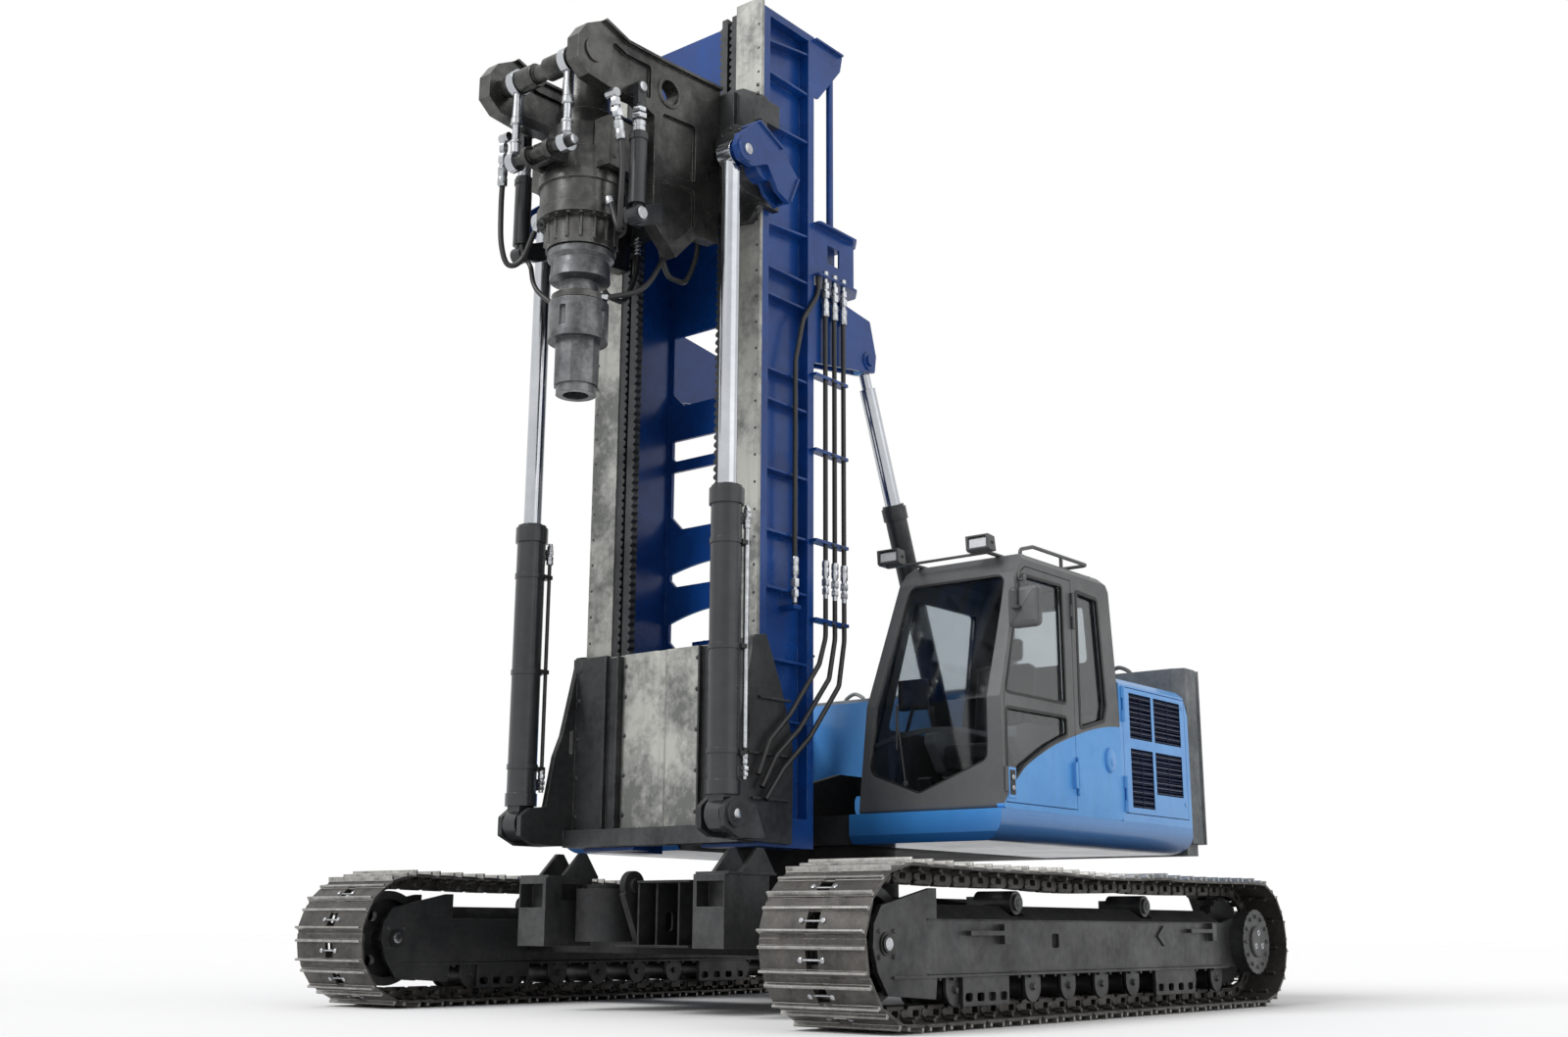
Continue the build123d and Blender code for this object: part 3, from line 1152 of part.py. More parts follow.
FOOT_ARCH = [(600, 1100), (330, 1100), (180, 1255), (-180, 1255), (-330, 1100), (-600, 1100), (-600, 1480), (600, 1480)]
with BuildPart() as mast_frame:
    for side in SIDES:
        outer = side * MAST_HALF_WIDTH
        web = outer - side * COLUMN_RECESS
        block(MAST_BACK_X, column_front_x, side * COLUMN_INNER_Y, outer, MAST_FOOT_Z, MAST_TOP_Z)
        block(recess_back_x, recess_front_x, web, outer + side, MAST_FOOT_Z + 200, MAST_TOP_Z - 60, Mode.SUBTRACT)
        for front_z, rear_z in RIBS:
            side_plate(
                [
                    (recess_back_x - 1, rear_z - RIB / 2),
                    (recess_front_x + 1, front_z - RIB / 2),
                    (recess_front_x + 1, front_z + RIB / 2),
                    (recess_back_x - 1, rear_z + RIB / 2),
                ],
                web - side,
                outer - side * 8,
            )
    block(MAST_BACK_X, MAST_BACK_X + MAST_WALL, -COLUMN_INNER_Y, COLUMN_INNER_Y, MAST_FOOT_Z + 180, MAST_TOP_Z)
    cross_plate([(y, z + MAST_FOOT_Z - 1100) for y, z in FOOT_ARCH], column_front_x - 180, column_front_x)
    for z_from, z_to, cut, rise in WINDOWS:
        mast_window(z_from, z_to, cut, rise)
    for side in SIDES:
        low = side * TILT_LUG_Y + LUG_PLATE / 2
        side_plate(
            [
                (MAST_BACK_X + 5, TILT_Z - 100),
                (TILT_X, TILT_Z - 100),
                (TILT_X - 90, TILT_Z - 40),
                (TILT_X - 90, TILT_Z + 60),
                (TILT_X - 20, TILT_Z + 110),
                (MAST_BACK_X + 5, TILT_Z + 320),
            ],
            low,
            low - LUG_PLATE,
        )
        pin_from = side * (TILT_LUG_Y - LUG_PLATE / 2)
        pin_to = side * (TILT_LUG_Y + LUG_PLATE / 2 + LUG_GAP + LUG_PLATE + 15)
        cross_bar(TILT_X, TILT_Z, pin_from, pin_to, TILT_PIN_RADIUS)
save(mast_frame, "mast_frame")

RAIL_FOOT = 150
RAIL_RISE = 60
with BuildPart() as mast_rails:
    for side in SIDES:
        block(column_front_x, MAST_FRONT_X, side * RAIL_INNER_Y, side * MAST_HALF_WIDTH, MAST_FOOT_Z + RAIL_FOOT,
              MAST_TOP_Z + RAIL_RISE)
save(mast_rails, "mast_rails")

# Racks: a pair of toothed bars beside each rail, on a backing bar
rack_count = int((MAST_TOP_Z - RACK_FOOT_Z) / TOOTH_PITCH)
BACKING = 14
with BuildPart() as mast_racks:
    for side in SIDES:
        for pair in range(2):
            base = RAIL_INNER_Y - pair * (RACK_WIDTH + RACK_PAIR_GAP)
            face = side * (base - RACK_WIDTH)
            teeth = [(side * base, MAST_TOP_Z), (side * base, RACK_FOOT_Z)]
            for index in range(rack_count):
                z = RACK_FOOT_Z + index * TOOTH_PITCH
                teeth += [
                    (face + side * TOOTH_HEIGHT, z),
                    (face, z + TOOTH_PITCH * 0.3),
                    (face, z + TOOTH_PITCH * 0.6),
                    (face + side * TOOTH_HEIGHT, z + TOOTH_PITCH * 0.9),
                ]
            teeth.append((face + side * TOOTH_HEIGHT, MAST_TOP_Z))
            cross_plate(teeth, MAST_FRONT_X - RACK_DEPTH, MAST_FRONT_X - 10)
        rack_edge = side * (RAIL_INNER_Y - 2 * RACK_WIDTH - RACK_PAIR_GAP + TOOTH_HEIGHT)
        block(MAST_FRONT_X - RACK_DEPTH - BACKING, MAST_FRONT_X - RACK_DEPTH, rack_edge, side * COLUMN_INNER_Y,
              RACK_FOOT_Z, MAST_TOP_Z)
save(mast_racks, "mast_racks")

# Mast head: an open box beam with a grooved rope wheel on a shaft
HEAD_BEAM_BOTTOM = 556
SHEAVE_X = 1200
SHEAVE_Z = MAST_TOP_Z - 180
SHEAVE_RADIUS = 150
SHEAVE_HALF = 45
beam_front = MAST_FRONT_X - RACK_DEPTH - BACKING
with BuildPart() as mast_head:
    block(MAST_BACK_X + MAST_WALL, beam_front, -COLUMN_INNER_Y, COLUMN_INNER_Y, MAST_TOP_Z - HEAD_BEAM_BOTTOM,
          MAST_TOP_Z - 20)
    block(MAST_BACK_X + 120, beam_front - 90, -COLUMN_INNER_Y + 80, COLUMN_INNER_Y - 80,
          MAST_TOP_Z - HEAD_BEAM_BOTTOM + 80, MAST_TOP_Z, Mode.SUBTRACT)
    for side in SIDES:
        turned(
            SHEAVE_X,
            SHEAVE_Z,
            [
                (20, side * 140 - SHEAVE_HALF),
                (SHEAVE_RADIUS, side * 140 - SHEAVE_HALF),
                (SHEAVE_RADIUS, side * 140 - SHEAVE_HALF + 12),
                (SHEAVE_RADIUS - 30, side * 140 - 10),
                (SHEAVE_RADIUS - 30, side * 140 + 10),
                (SHEAVE_RADIUS, side * 140 + SHEAVE_HALF - 12),
                (SHEAVE_RADIUS, side * 140 + SHEAVE_HALF),
                (20, side * 140 + SHEAVE_HALF),
            ],
        )
    cross_bar(SHEAVE_X, SHEAVE_Z, -COLUMN_INNER_Y + 40, COLUMN_INNER_Y - 40, 40)
save(mast_head, "mast_head")

# Foot bracket: side plates beside the columns with ears for the lift cylinders, flange plates and channels in front
BRACKET_OUTLINE = [
    (1465, 2530),
    (1590, 2510),
    (1737, 1921),
    (1805, 1765),
    (1880, 1400),
    (2030, LIFT_FOOT_Z + 110),
    (2110, LIFT_FOOT_Z + 50),
    (2110, LIFT_FOOT_Z - 90),
    (2003, 1138),
    (1174, 1120),
    (1164, 1703),
    (1179, 1852),
    (1302, 2193),
]
EAR_OUTLINE = [
    (1690, 1130),
    (1960, 1130),
    (2110, LIFT_FOOT_Z - 80),
    (2110, LIFT_FOOT_Z + 50),
    (2030, LIFT_FOOT_Z + 110),
    (1800, 1350),
]
BRACKET_PLATE = 40
SHIELD_X = 1570
FLANGE_INNER_Y = 523
CHANNEL_INNER_Y = 386
SHIELD_BOTTOM_Z = 1248
SHIELD_TOP_Z = 2485
with BuildPart() as foot_bracket:
    for side in SIDES:
        inner = side * MAST_HALF_WIDTH
        outer = inner + side * BRACKET_PLATE
        side_plate(BRACKET_OUTLINE, inner, outer, rounding=14)
        rounded_hole(Plane.XZ.offset(-outer), (1650, 1880), (36, 180), 17, BRACKET_PLATE + 1)
        for x_from, x_to, z_level in ((1180, 1590, 2080), (1180, 1700, 1700), (1180, 1660, 1400)):
            block(x_from + 40, x_to - 40, outer, outer + side * 26, z_level, z_level + THIN_PLATE)
        ear_inner = side * (LIFT_Y + EYE_HALF + LUG_GAP)
        side_plate(EAR_OUTLINE, ear_inner, ear_inner + side * BRACKET_PLATE, rounding=14)
        block(1720, 1850, inner, ear_inner + side * 20, 1130, 1170)
        cross_bar(LIFT_X, LIFT_FOOT_Z, inner, ear_inner + side * 60, PIN_RADIUS)
        cross_bar(LIFT_X, LIFT_FOOT_Z, ear_inner + side * BRACKET_PLATE, ear_inner + side * 54, PIN_RADIUS + 34)
        block(SHIELD_X, SHIELD_X + BRACKET_PLATE, side * FLANGE_INNER_Y, outer, SHIELD_BOTTOM_Z - 10, SHIELD_TOP_Z + 8)
        block(MAST_FRONT_X, SHIELD_X, side * 700, outer, SHIELD_BOTTOM_Z + 150, SHIELD_TOP_Z - 150)
        for edge_from, edge_to, x_to in (
            (CHANNEL_INNER_Y, FLANGE_INNER_Y, SHIELD_X + 22),
            (CHANNEL_INNER_Y, CHANNEL_INNER_Y + 14, SHIELD_X + 60),
            (FLANGE_INNER_Y - 14, FLANGE_INNER_Y, SHIELD_X + 60),
        ):
            block(SHIELD_X, x_to, side * edge_from, side * edge_to, SHIELD_BOTTOM_Z, SHIELD_TOP_Z - 10)
    block(SHIELD_X - 10, 1700, -MAST_HALF_WIDTH, MAST_HALF_WIDTH, 1120, 1240)
    block(1530, SHIELD_X - 10, -MAST_HALF_WIDTH, MAST_HALF_WIDTH, 1120, 1160)
save(foot_bracket, "foot_bracket")

# Shield: a folded sheet between the channels
FOLD = 18
with BuildPart() as shield_plate:
    floor_plate(
        [
            (SHIELD_X - 20, -700),
            (SHIELD_X - 20, 700),
            (SHIELD_X, 700),
            (SHIELD_X, CHANNEL_INNER_Y - 1),
            (SHIELD_X + FOLD, CHANNEL_INNER_Y - 40),
            (SHIELD_X + FOLD, 60),
            (SHIELD_X + FOLD / 3, 30),
            (SHIELD_X + FOLD / 3, -30),
            (SHIELD_X + FOLD, -60),
            (SHIELD_X + FOLD, 40 - CHANNEL_INNER_Y),
            (SHIELD_X, 1 - CHANNEL_INNER_Y),
            (SHIELD_X, -700),
        ],
        SHIELD_BOTTOM_Z,
        SHIELD_TOP_Z,
    )
    for side in SIDES:
        block(MAST_FRONT_X, SHIELD_X - 20, side * 600, side * 690, SHIELD_BOTTOM_Z + 10, SHIELD_TOP_Z - 10)
save(shield_plate, "shield_plate")

# Lift cylinders on the mast: barrels with a gland, a foot band and side ports
GLAND_HEIGHT = 130
with BuildPart() as lift_barrels:
    for side in SIDES:
        y = side * LIFT_Y
        upright(LIFT_X, y, BARREL_BOTTOM_Z, BARREL_TOP_Z, BARREL_RADIUS)
        upright(LIFT_X, y, BARREL_TOP_Z - GLAND_HEIGHT, BARREL_TOP_Z - 20, BARREL_RADIUS + 14)
        upright(LIFT_X, y, BARREL_BOTTOM_Z, BARREL_BOTTOM_Z + 90, BARREL_RADIUS + 9)
        for z in (BARREL_BOTTOM_Z + 120, BARREL_TOP_Z - 240):
            block(LIFT_X - BARREL_RADIUS - 40, LIFT_X, y - 35, y + 35, z, z + 80)
        cross_bar(LIFT_X, LIFT_FOOT_Z, y - EYE_HALF, y + EYE_HALF, EYE_RADIUS)
        block(LIFT_X - 70, LIFT_X + 70, y - EYE_HALF, y + EYE_HALF, LIFT_FOOT_Z, BARREL_BOTTOM_Z)
        cross_bar(LIFT_X, LIFT_FOOT_Z, y - EYE_HALF - 1, y + EYE_HALF + 1, PIN_RADIUS + FIT_GAP, Mode.SUBTRACT)
        upright(LIFT_X, y, LIFT_FOOT_Z + EYE_RADIUS + 60, BARREL_TOP_Z + 1, ROD_RADIUS + RUNNING_GAP, Mode.SUBTRACT)
save(lift_barrels, "lift_barrels")

LUG_WIDTH = 50
with BuildPart() as raker_lugs:
    for side in SIDES:
        for face in SIDES:
            low = side * RAKER_Y + face * LUG_WIDTH
            side_plate(
                [
                    (MAST_BACK_X, RAKER_TOP_Z - 200),
                    (MAST_BACK_X, RAKER_TOP_Z + 420),
                        (RAKER_TOP_X - 20, RAKER_TOP_Z + 330),
                    (RAKER_TOP_X - 100, RAKER_TOP_Z + 60),
                    (RAKER_TOP_X - 80, RAKER_TOP_Z - 80),
                    (RAKER_TOP_X + 60, RAKER_TOP_Z - 100),
                ],
                low,
                low + face * 20,
                rounding=20,
            )
            cross_bar(RAKER_TOP_X, RAKER_TOP_Z, low + face * 20, low + face * 32, 75)
        cross_bar(RAKER_TOP_X, RAKER_TOP_Z, side * RAKER_Y - 100, side * RAKER_Y + 100, 45)
        block(RAKER_TOP_X + 330, MAST_BACK_X, side * RAKER_Y - LUG_WIDTH, side * RAKER_Y + LUG_WIDTH,
              RAKER_TOP_Z + 365, RAKER_TOP_Z + 385)
save(raker_lugs, "raker_lugs")

# Hose route on the left column: drops from a bulkhead platform, held by clips, to the mast foot
HOSE_RADIUS = 18
HOSE_Y = MAST_HALF_WIDTH + 30
BULKHEAD_X = (782, 671, 559)
PLATFORM_LOW_Z = 5347
PLATFORM_HIGH_Z = 5764
CLIP_LEVELS = (4540, 3960, 3280, 2700)
CLIP_HEIGHT = 24
PLATFORM_OUTLINE = [(MAST_BACK_X, 560), (MAST_BACK_X, 884), (420, 884), (300, 780), (300, 560)]
with BuildPart() as hose_brackets:
    for z in (PLATFORM_LOW_Z, PLATFORM_HIGH_Z):
        floor_plate(PLATFORM_OUTLINE, z, z + THIN_PLATE, rounding=30)
    for y in (620, MAST_HALF_WIDTH - THIN_PLATE):
        block(380, MAST_BACK_X, y, y + THIN_PLATE, PLATFORM_LOW_Z + THIN_PLATE, PLATFORM_HIGH_Z)
    rounded_hole(Plane.XZ.offset(-MAST_HALF_WIDTH), (640, PLATFORM_LOW_Z + 230), (150, 150), 12, 40)
    for y in (640, MAST_HALF_WIDTH - 20):
        side_plate(
            [
                (MAST_BACK_X, MAST_TOP_Z - 10),
                (560, MAST_TOP_Z + 20),
                (520, MAST_TOP_Z - 20),
                (548, MAST_TOP_Z - 153),
                (830, MAST_TOP_Z - 504),
                (MAST_BACK_X, MAST_TOP_Z - 504),
            ],
            y,
            y + 20,
        )
    block(540, MAST_BACK_X, 640, MAST_HALF_WIDTH + 30, MAST_TOP_Z - 26, MAST_TOP_Z - 10)
    upright(645, 790, PLATFORM_HIGH_Z + THIN_PLATE, MAST_TOP_Z - 26, 28)
    for z in CLIP_LEVELS:
        block(530, MAST_BACK_X + 40, MAST_HALF_WIDTH, HOSE_Y + HOSE_RADIUS + 6, z, z + CLIP_HEIGHT)
        block(530, MAST_BACK_X, MAST_HALF_WIDTH - 24, MAST_HALF_WIDTH, z, z + CLIP_HEIGHT)
        for x in BULKHEAD_X:
            upright(x, HOSE_Y, z - 1, z + CLIP_HEIGHT + 1, HOSE_RADIUS + FIT_GAP, Mode.SUBTRACT)
save(hose_brackets, "hose_brackets")

# end of each hose's drop, then its sweep forward to the mast foot
HOSE_SWEEPS = [
    [(782, 2600), (935, 2380), (1265, 1990), (1480, 1800), (1600, 1560)],
    [(671, 2600), (820, 2290), (1160, 1900), (1410, 1700), (1560, 1480)],
    [(559, 2600), (705, 2250), (1047, 1850), (1340, 1610), (1520, 1400)],
]
SWEEP_Y = MAST_HALF_WIDTH + BRACKET_PLATE + 50
PIPE_RADIUS = 14
# x, y, foot level and top level of the rigid feed pipes beside the lift cylinders
FEED_PIPES = [(LIFT_X - 100, LIFT_Y + 95, 1500, 3290), (LIFT_X - 100, -LIFT_Y + 95, 1500, 3290)]
PIPE_CLIPS = (1650, 2350, 3050)
LOOP_ROUTE = [
    (1130, HOSE_Y - 10, 2780),
    (1130, HOSE_Y - 10, 4600),
    (1040, HOSE_Y - 10, 4950),
    (856, HOSE_Y - 10, 5200),
    (856, HOSE_Y - 10, PLATFORM_LOW_Z),
]
with BuildPart() as mast_hoses:
    for x, sweep_points in zip(BULKHEAD_X, HOSE_SWEEPS):
        drop = [(x, HOSE_Y, PLATFORM_LOW_Z)]
        forward = [(point_x, HOSE_Y if point_z > 2500 else SWEEP_Y, point_z) for point_x, point_z in sweep_points]
        tube(drop + forward, 110, HOSE_RADIUS)
    tube(LOOP_ROUTE, 200, HOSE_RADIUS)
    for x, y, z_from, z_to in FEED_PIPES:
        upright(x, y, z_from, z_to, PIPE_RADIUS)
        for z in PIPE_CLIPS:
            block(x - 18, x + 60, y - 60, y + 18, z, z + PLATE)
            upright(LIFT_X, y - 95, z - 1, z + PLATE + 1, BARREL_RADIUS + FIT_GAP, Mode.SUBTRACT)
save(mast_hoses, "mast_hoses")

# Valve bracket behind the mast: a shelf on gussets with a manifold and its spools
SHELF_Z = 2540
with BuildPart() as valve_bracket:
    block(480, MAST_BACK_X, -520, 520, SHELF_Z - THIN_PLATE, SHELF_Z)
    for y in (-520, -190, 190, 504):
        side_plate([(MAST_BACK_X, SHELF_Z - 220), (MAST_BACK_X, SHELF_Z - 16), (500, SHELF_Z - 16)], y, y + 16)
    block(560, 800, -420, 420, SHELF_Z, SHELF_Z + 150)
    for spool in range(6):
        y = -350 + spool * 140
        bar((560, y, SHELF_Z + 75), (500, y, SHELF_Z + 75), 34)
save(valve_bracket, "valve_bracket")

# Carriage: sled plates on the rails with claws round their edges, trunnion discs and a tie plate
SLED_X = MAST_FRONT_X + RUNNING_GAP
SLED_FRONT_X = SLED_X + 100
SLED_TOP = SHAFT_Z + 256
SLED_BOTTOM = SHAFT_Z - 868
DISC_Z = SHAFT_Z - 262
with BuildPart() as carriage_sled:
    for side in SIDES:
        cross_plate(
            [
                (side * 395, SLED_TOP),
                (side * 700, SLED_TOP - 40),
                (side * 880, SLED_TOP - 150),
                (side * 880, SLED_BOTTOM + 140),
                (side * 760, SLED_BOTTOM),
                (side * 395, SLED_BOTTOM + 60),
            ],
            SLED_X,
            SLED_FRONT_X - 40,
        )
        block(SLED_X, SLED_FRONT_X, side * 395, side * 640, SLED_BOTTOM + 120, SLED_TOP - 60)
        for z in (SLED_TOP - 260, SLED_BOTTOM + 200):
            block(MAST_FRONT_X - 140, SLED_FRONT_X - 20, side * (MAST_HALF_WIDTH + RUNNING_GAP),
                  side * (MAST_HALF_WIDTH + 60), z - 90, z + 90)
        for x_from, x_to, radius in ((-41, 60, 150), (60, 90, 80)):
            bar((SLED_FRONT_X + x_from, side * 662, DISC_Z), (SLED_FRONT_X + x_to, side * 662, DISC_Z), radius)
        block(SLED_X, SLED_X + 250, side * 700, side * 880, LIFT_TOP_Z - 170, LIFT_TOP_Z + 190)
        cross_bar(SLED_X + 218, LIFT_TOP_Z, side * 860, side * 935, 120)
    block(SLED_X, SLED_FRONT_X - 20, -400, 400, SHAFT_Z - 730, SHAFT_Z + 170)
save(carriage_sled, "carriage_sled")

# Blue ears: hollow box arms beside the columns that hold the lift rods' pins
EAR_X = SLED_X + 218
# x, and level from the pin
EAR_PLATE = [
    (1925, -95),
    (2060, -85),
    (2110, 0),
    (2075, 100),
    (1870, 272),
    (1600, 155),
    (1405, -10),
    (1500, -235),
    (1640, -180),
    (1760, -20),
]
with BuildPart() as lift_ears:
    for side in SIDES:
        side_plate([(x, LIFT_TOP_Z + level) for x, level in EAR_PLATE], side * 1045, side * 1085, rounding=18)
        side_plate([(x, LIFT_TOP_Z + level) for x, level in EAR_PLATE[4:]], side * 935, side * 960, rounding=18)
        side_plate([(1865, LIFT_TOP_Z + 268), (1603, LIFT_TOP_Z + 152), (1597, LIFT_TOP_Z + 166),
                    (1859, LIFT_TOP_Z + 284)], side * 925, side * 1100)
        side_plate([(1410, LIFT_TOP_Z - 14), (1503, LIFT_TOP_Z - 226), (1516, LIFT_TOP_Z - 220),
                    (1424, LIFT_TOP_Z - 8)], side * 925, side * 1100)
        cross_bar(LIFT_X, LIFT_TOP_Z, side * 866, side * 1110, PIN_RADIUS)
        cross_bar(LIFT_X, LIFT_TOP_Z, side * 1085, side * 1105, PIN_RADIUS + 40)
        cross_bar(EAR_X, LIFT_TOP_Z, side * 935.3, side * 1045, 118)
save(lift_ears, "lift_ears")

ROD_EYE_RADIUS = 95
ROD_EYE_HALF = 60
with BuildPart() as lift_rods:
    for side in SIDES:
        y = side * LIFT_Y
        upright(LIFT_X, y, BARREL_TOP_Z - ROD_ENGAGED, LIFT_TOP_Z - ROD_EYE_HALF, ROD_RADIUS)
        cross_bar(LIFT_X, LIFT_TOP_Z, y - ROD_EYE_HALF, y + ROD_EYE_HALF, ROD_EYE_RADIUS)
        cross_bar(LIFT_X, LIFT_TOP_Z, y - ROD_EYE_HALF - 1, y + ROD_EYE_HALF + 1, PIN_RADIUS + FIT_GAP, Mode.SUBTRACT)
save(lift_rods, "lift_rods")

# Head arms: cast plates with a deep root, a beam out to the cross shaft, pockets, a flange on top and a round hole
# x, and level from the cross shaft
ARM_OUTLINE = [
    (SLED_FRONT_X, 240),
    (2229, 200),
    (2625, 187),
    (2865, 258),
    (3020, 170),
    (nose_x, 60),
    (nose_x, -110),
    (2985, -195),
    (2755, -212),
    (2480, -190),
    (2327, -247),
    (2316, -1040),
    (2069, -1240),
    (1846, -1010),
    (SLED_FRONT_X, -985),
]
ARM_FLANGE = [
    (SLED_FRONT_X, 262),
    (2229, 222),
    (2625, 209),
    (2850, 276),
    (2865, 258),
    (2625, 187),
    (2229, 200),
    (SLED_FRONT_X, 240),
]
FLANGE_REACH = 26
ARM_HOLE = (2180, -8)
# corners of the pockets in an arm's faces, from the cross shaft
ARM_POCKETS = [
    [(1890, -160), (2240, -190), (2240, -640), (1890, -600)],
    [(1890, -670), (2240, -710), (2240, -1010), (2080, -1120), (1890, -950)],
    [(2370, 120), (2620, 110), (2760, 150), (2760, -130), (2490, -110), (2370, -150)],
]
POCKET_DEPTH = 26


def head_level(points):
    """Move levels that are measured from the cross shaft to the ground's."""
    return [(x, SHAFT_Z + level) for x, level in points]


with BuildPart() as head_arms:
    for side in SIDES:
        near = side * (ARM_Y - ARM_THICKNESS / 2)
        far = side * (ARM_Y + ARM_THICKNESS / 2)
        side_plate(head_level(ARM_OUTLINE), near, far)
        side_plate(head_level(ARM_FLANGE), near - side * FLANGE_REACH, far + side * FLANGE_REACH)
        for pocket in ARM_POCKETS:
            for face, inward in ((near, side), (far, -side)):
                side_plate(head_level(pocket), face - inward, face + inward * POCKET_DEPTH, Mode.SUBTRACT, 30)
        cross_bar(ARM_HOLE[0], SHAFT_Z + ARM_HOLE[1], far, far + side * 10, 118)
        cross_bar(ARM_HOLE[0], SHAFT_Z + ARM_HOLE[1], near, far + side * 11, 92, Mode.SUBTRACT)
        cross_bar(SHAFT_X, SHAFT_Z, near - side, far + side, SHAFT_RADIUS + FIT_GAP, Mode.SUBTRACT)
save(head_arms, "head_arms")

SHAFT_CAP = 14
with BuildPart() as cross_shaft:
    arm_face = ARM_Y + ARM_THICKNESS / 2
    cross_bar(SHAFT_X, SHAFT_Z, -arm_face - SHAFT_CAP, arm_face + SHAFT_CAP, SHAFT_RADIUS)
    for side in SIDES:
        cross_bar(SHAFT_X, SHAFT_Z, side * (arm_face + FIT_GAP), side * (arm_face + SHAFT_CAP), SHAFT_RADIUS + 26)
        cross_bar(SHAFT_X, SHAFT_Z, side * 60, side * 222, SHAFT_RADIUS + 24)
        cross_bar(SHAFT_X, SHAFT_Z, side * 300, side * 350, SHAFT_RADIUS + 18)
save(cross_shaft, "cross_shaft")

# Rotary drive: stacked housings round the spindle, clamp blocks, and lugs for the rods that hang it
# radius, and bottom and top level from the cross shaft
DRIVE_SECTIONS = [
    (175, -280, 90),
    (215, -330, -200),
    (260, -530, -330),
    (300, -715, -530),
    (320, -780, -715),
    (304, -950, -780),
    (320, -1030, -950),
    (250, -1238, -1030),
]
CLAMP_TOP = -330
CLAMP_BOTTOM = -700
HANG_Z = SHAFT_Z - 615
HANG_Y = 235
HANG_BAR_RADIUS = 40
STAVES = 16
with BuildPart() as rotary_drive:
    for radius, low, high in DRIVE_SECTIONS:
        upright(SPINDLE_X, 0, SHAFT_Z + low, SHAFT_Z + high, radius)
    block(SLED_FRONT_X - 20, SPINDLE_X, -180, 180, SHAFT_Z - 730, SHAFT_Z - 330)
    for side in SIDES:
        block(SPINDLE_X - 140, SPINDLE_X + 140, side * 240, side * 389, SHAFT_Z + CLAMP_BOTTOM, SHAFT_Z + CLAMP_TOP)
        block(SPINDLE_X + 100, SHAFT_X - 20, side * 90, side * 130, HANG_Z - 70, HANG_Z + 90)
        cross_bar(SHAFT_X, HANG_Z, side * 90, side * 130, 72)
    block(SHAFT_X - 60, SHAFT_X - 20, -130, 130, HANG_Z - 70, HANG_Z + 70)
    cross_bar(SHAFT_X, HANG_Z, -HANG_Y - 105, HANG_Y + 105, HANG_BAR_RADIUS)
    for stave in range(STAVES):
        turn = 2 * pi * stave / STAVES
        upright(SPINDLE_X + 250 * cos(turn), 250 * sin(turn), SHAFT_Z - 1200, SHAFT_Z - 1030, 15)
    upright(SPINDLE_X, 0, SHAFT_Z - 1239, SHAFT_Z - 720, JOURNAL_RADIUS, Mode.SUBTRACT)
save(rotary_drive, "rotary_drive")

# Small cylinders beside the arms, on pins in the arms' outer faces
CLAMP_Y = ARM_Y + ARM_THICKNESS / 2 + 78
CLAMP_X = 2560
with BuildPart() as clamp_cylinders:
    for side in SIDES:
        y = side * CLAMP_Y
        face = side * (ARM_Y + ARM_THICKNESS / 2)
        upright(CLAMP_X, y, SHAFT_Z - 1036, SHAFT_Z - 501, 62)
        upright(CLAMP_X, y, SHAFT_Z - 560, SHAFT_Z - 520, 70)
        upright(CLAMP_X, y, SHAFT_Z - 501, SHAFT_Z - 270, 36)
        upright(CLAMP_X, y, SHAFT_Z - 1104, SHAFT_Z - 1036, 34)
        cross_bar(CLAMP_X, SHAFT_Z - 1110, y - 46, y + 46, 62)
        cross_bar(CLAMP_X, SHAFT_Z - 150, face, y + side * 30, 46)
        block(CLAMP_X - 40, CLAMP_X + 40, y - 24, y + 24, SHAFT_Z - 285, SHAFT_Z - 130)
        side_plate(head_level([(2250, -1050), (2470, -1150), (2600, -1165), (2620, -1060), (2470, -1000), (2260, -900)]),
                   face, y - side * 46)
save(clamp_cylinders, "clamp_cylinders")

ROD_HEAD_RADIUS = 95
with BuildPart() as suspension_rods:
    for side in SIDES:
        y = side * (HANG_Y + 25)
        upright(SHAFT_X, y, HANG_Z + 50, SHAFT_Z - 60, 28)
        for level, radius, pin in ((HANG_Z, 70, HANG_BAR_RADIUS), (SHAFT_Z, ROD_HEAD_RADIUS, SHAFT_RADIUS)):
            cross_bar(SHAFT_X, level, y - 34, y + 34, radius)
            cross_bar(SHAFT_X, level, y - 35, y + 35, pin + FIT_GAP, Mode.SUBTRACT)
save(suspension_rods, "suspension_rods")

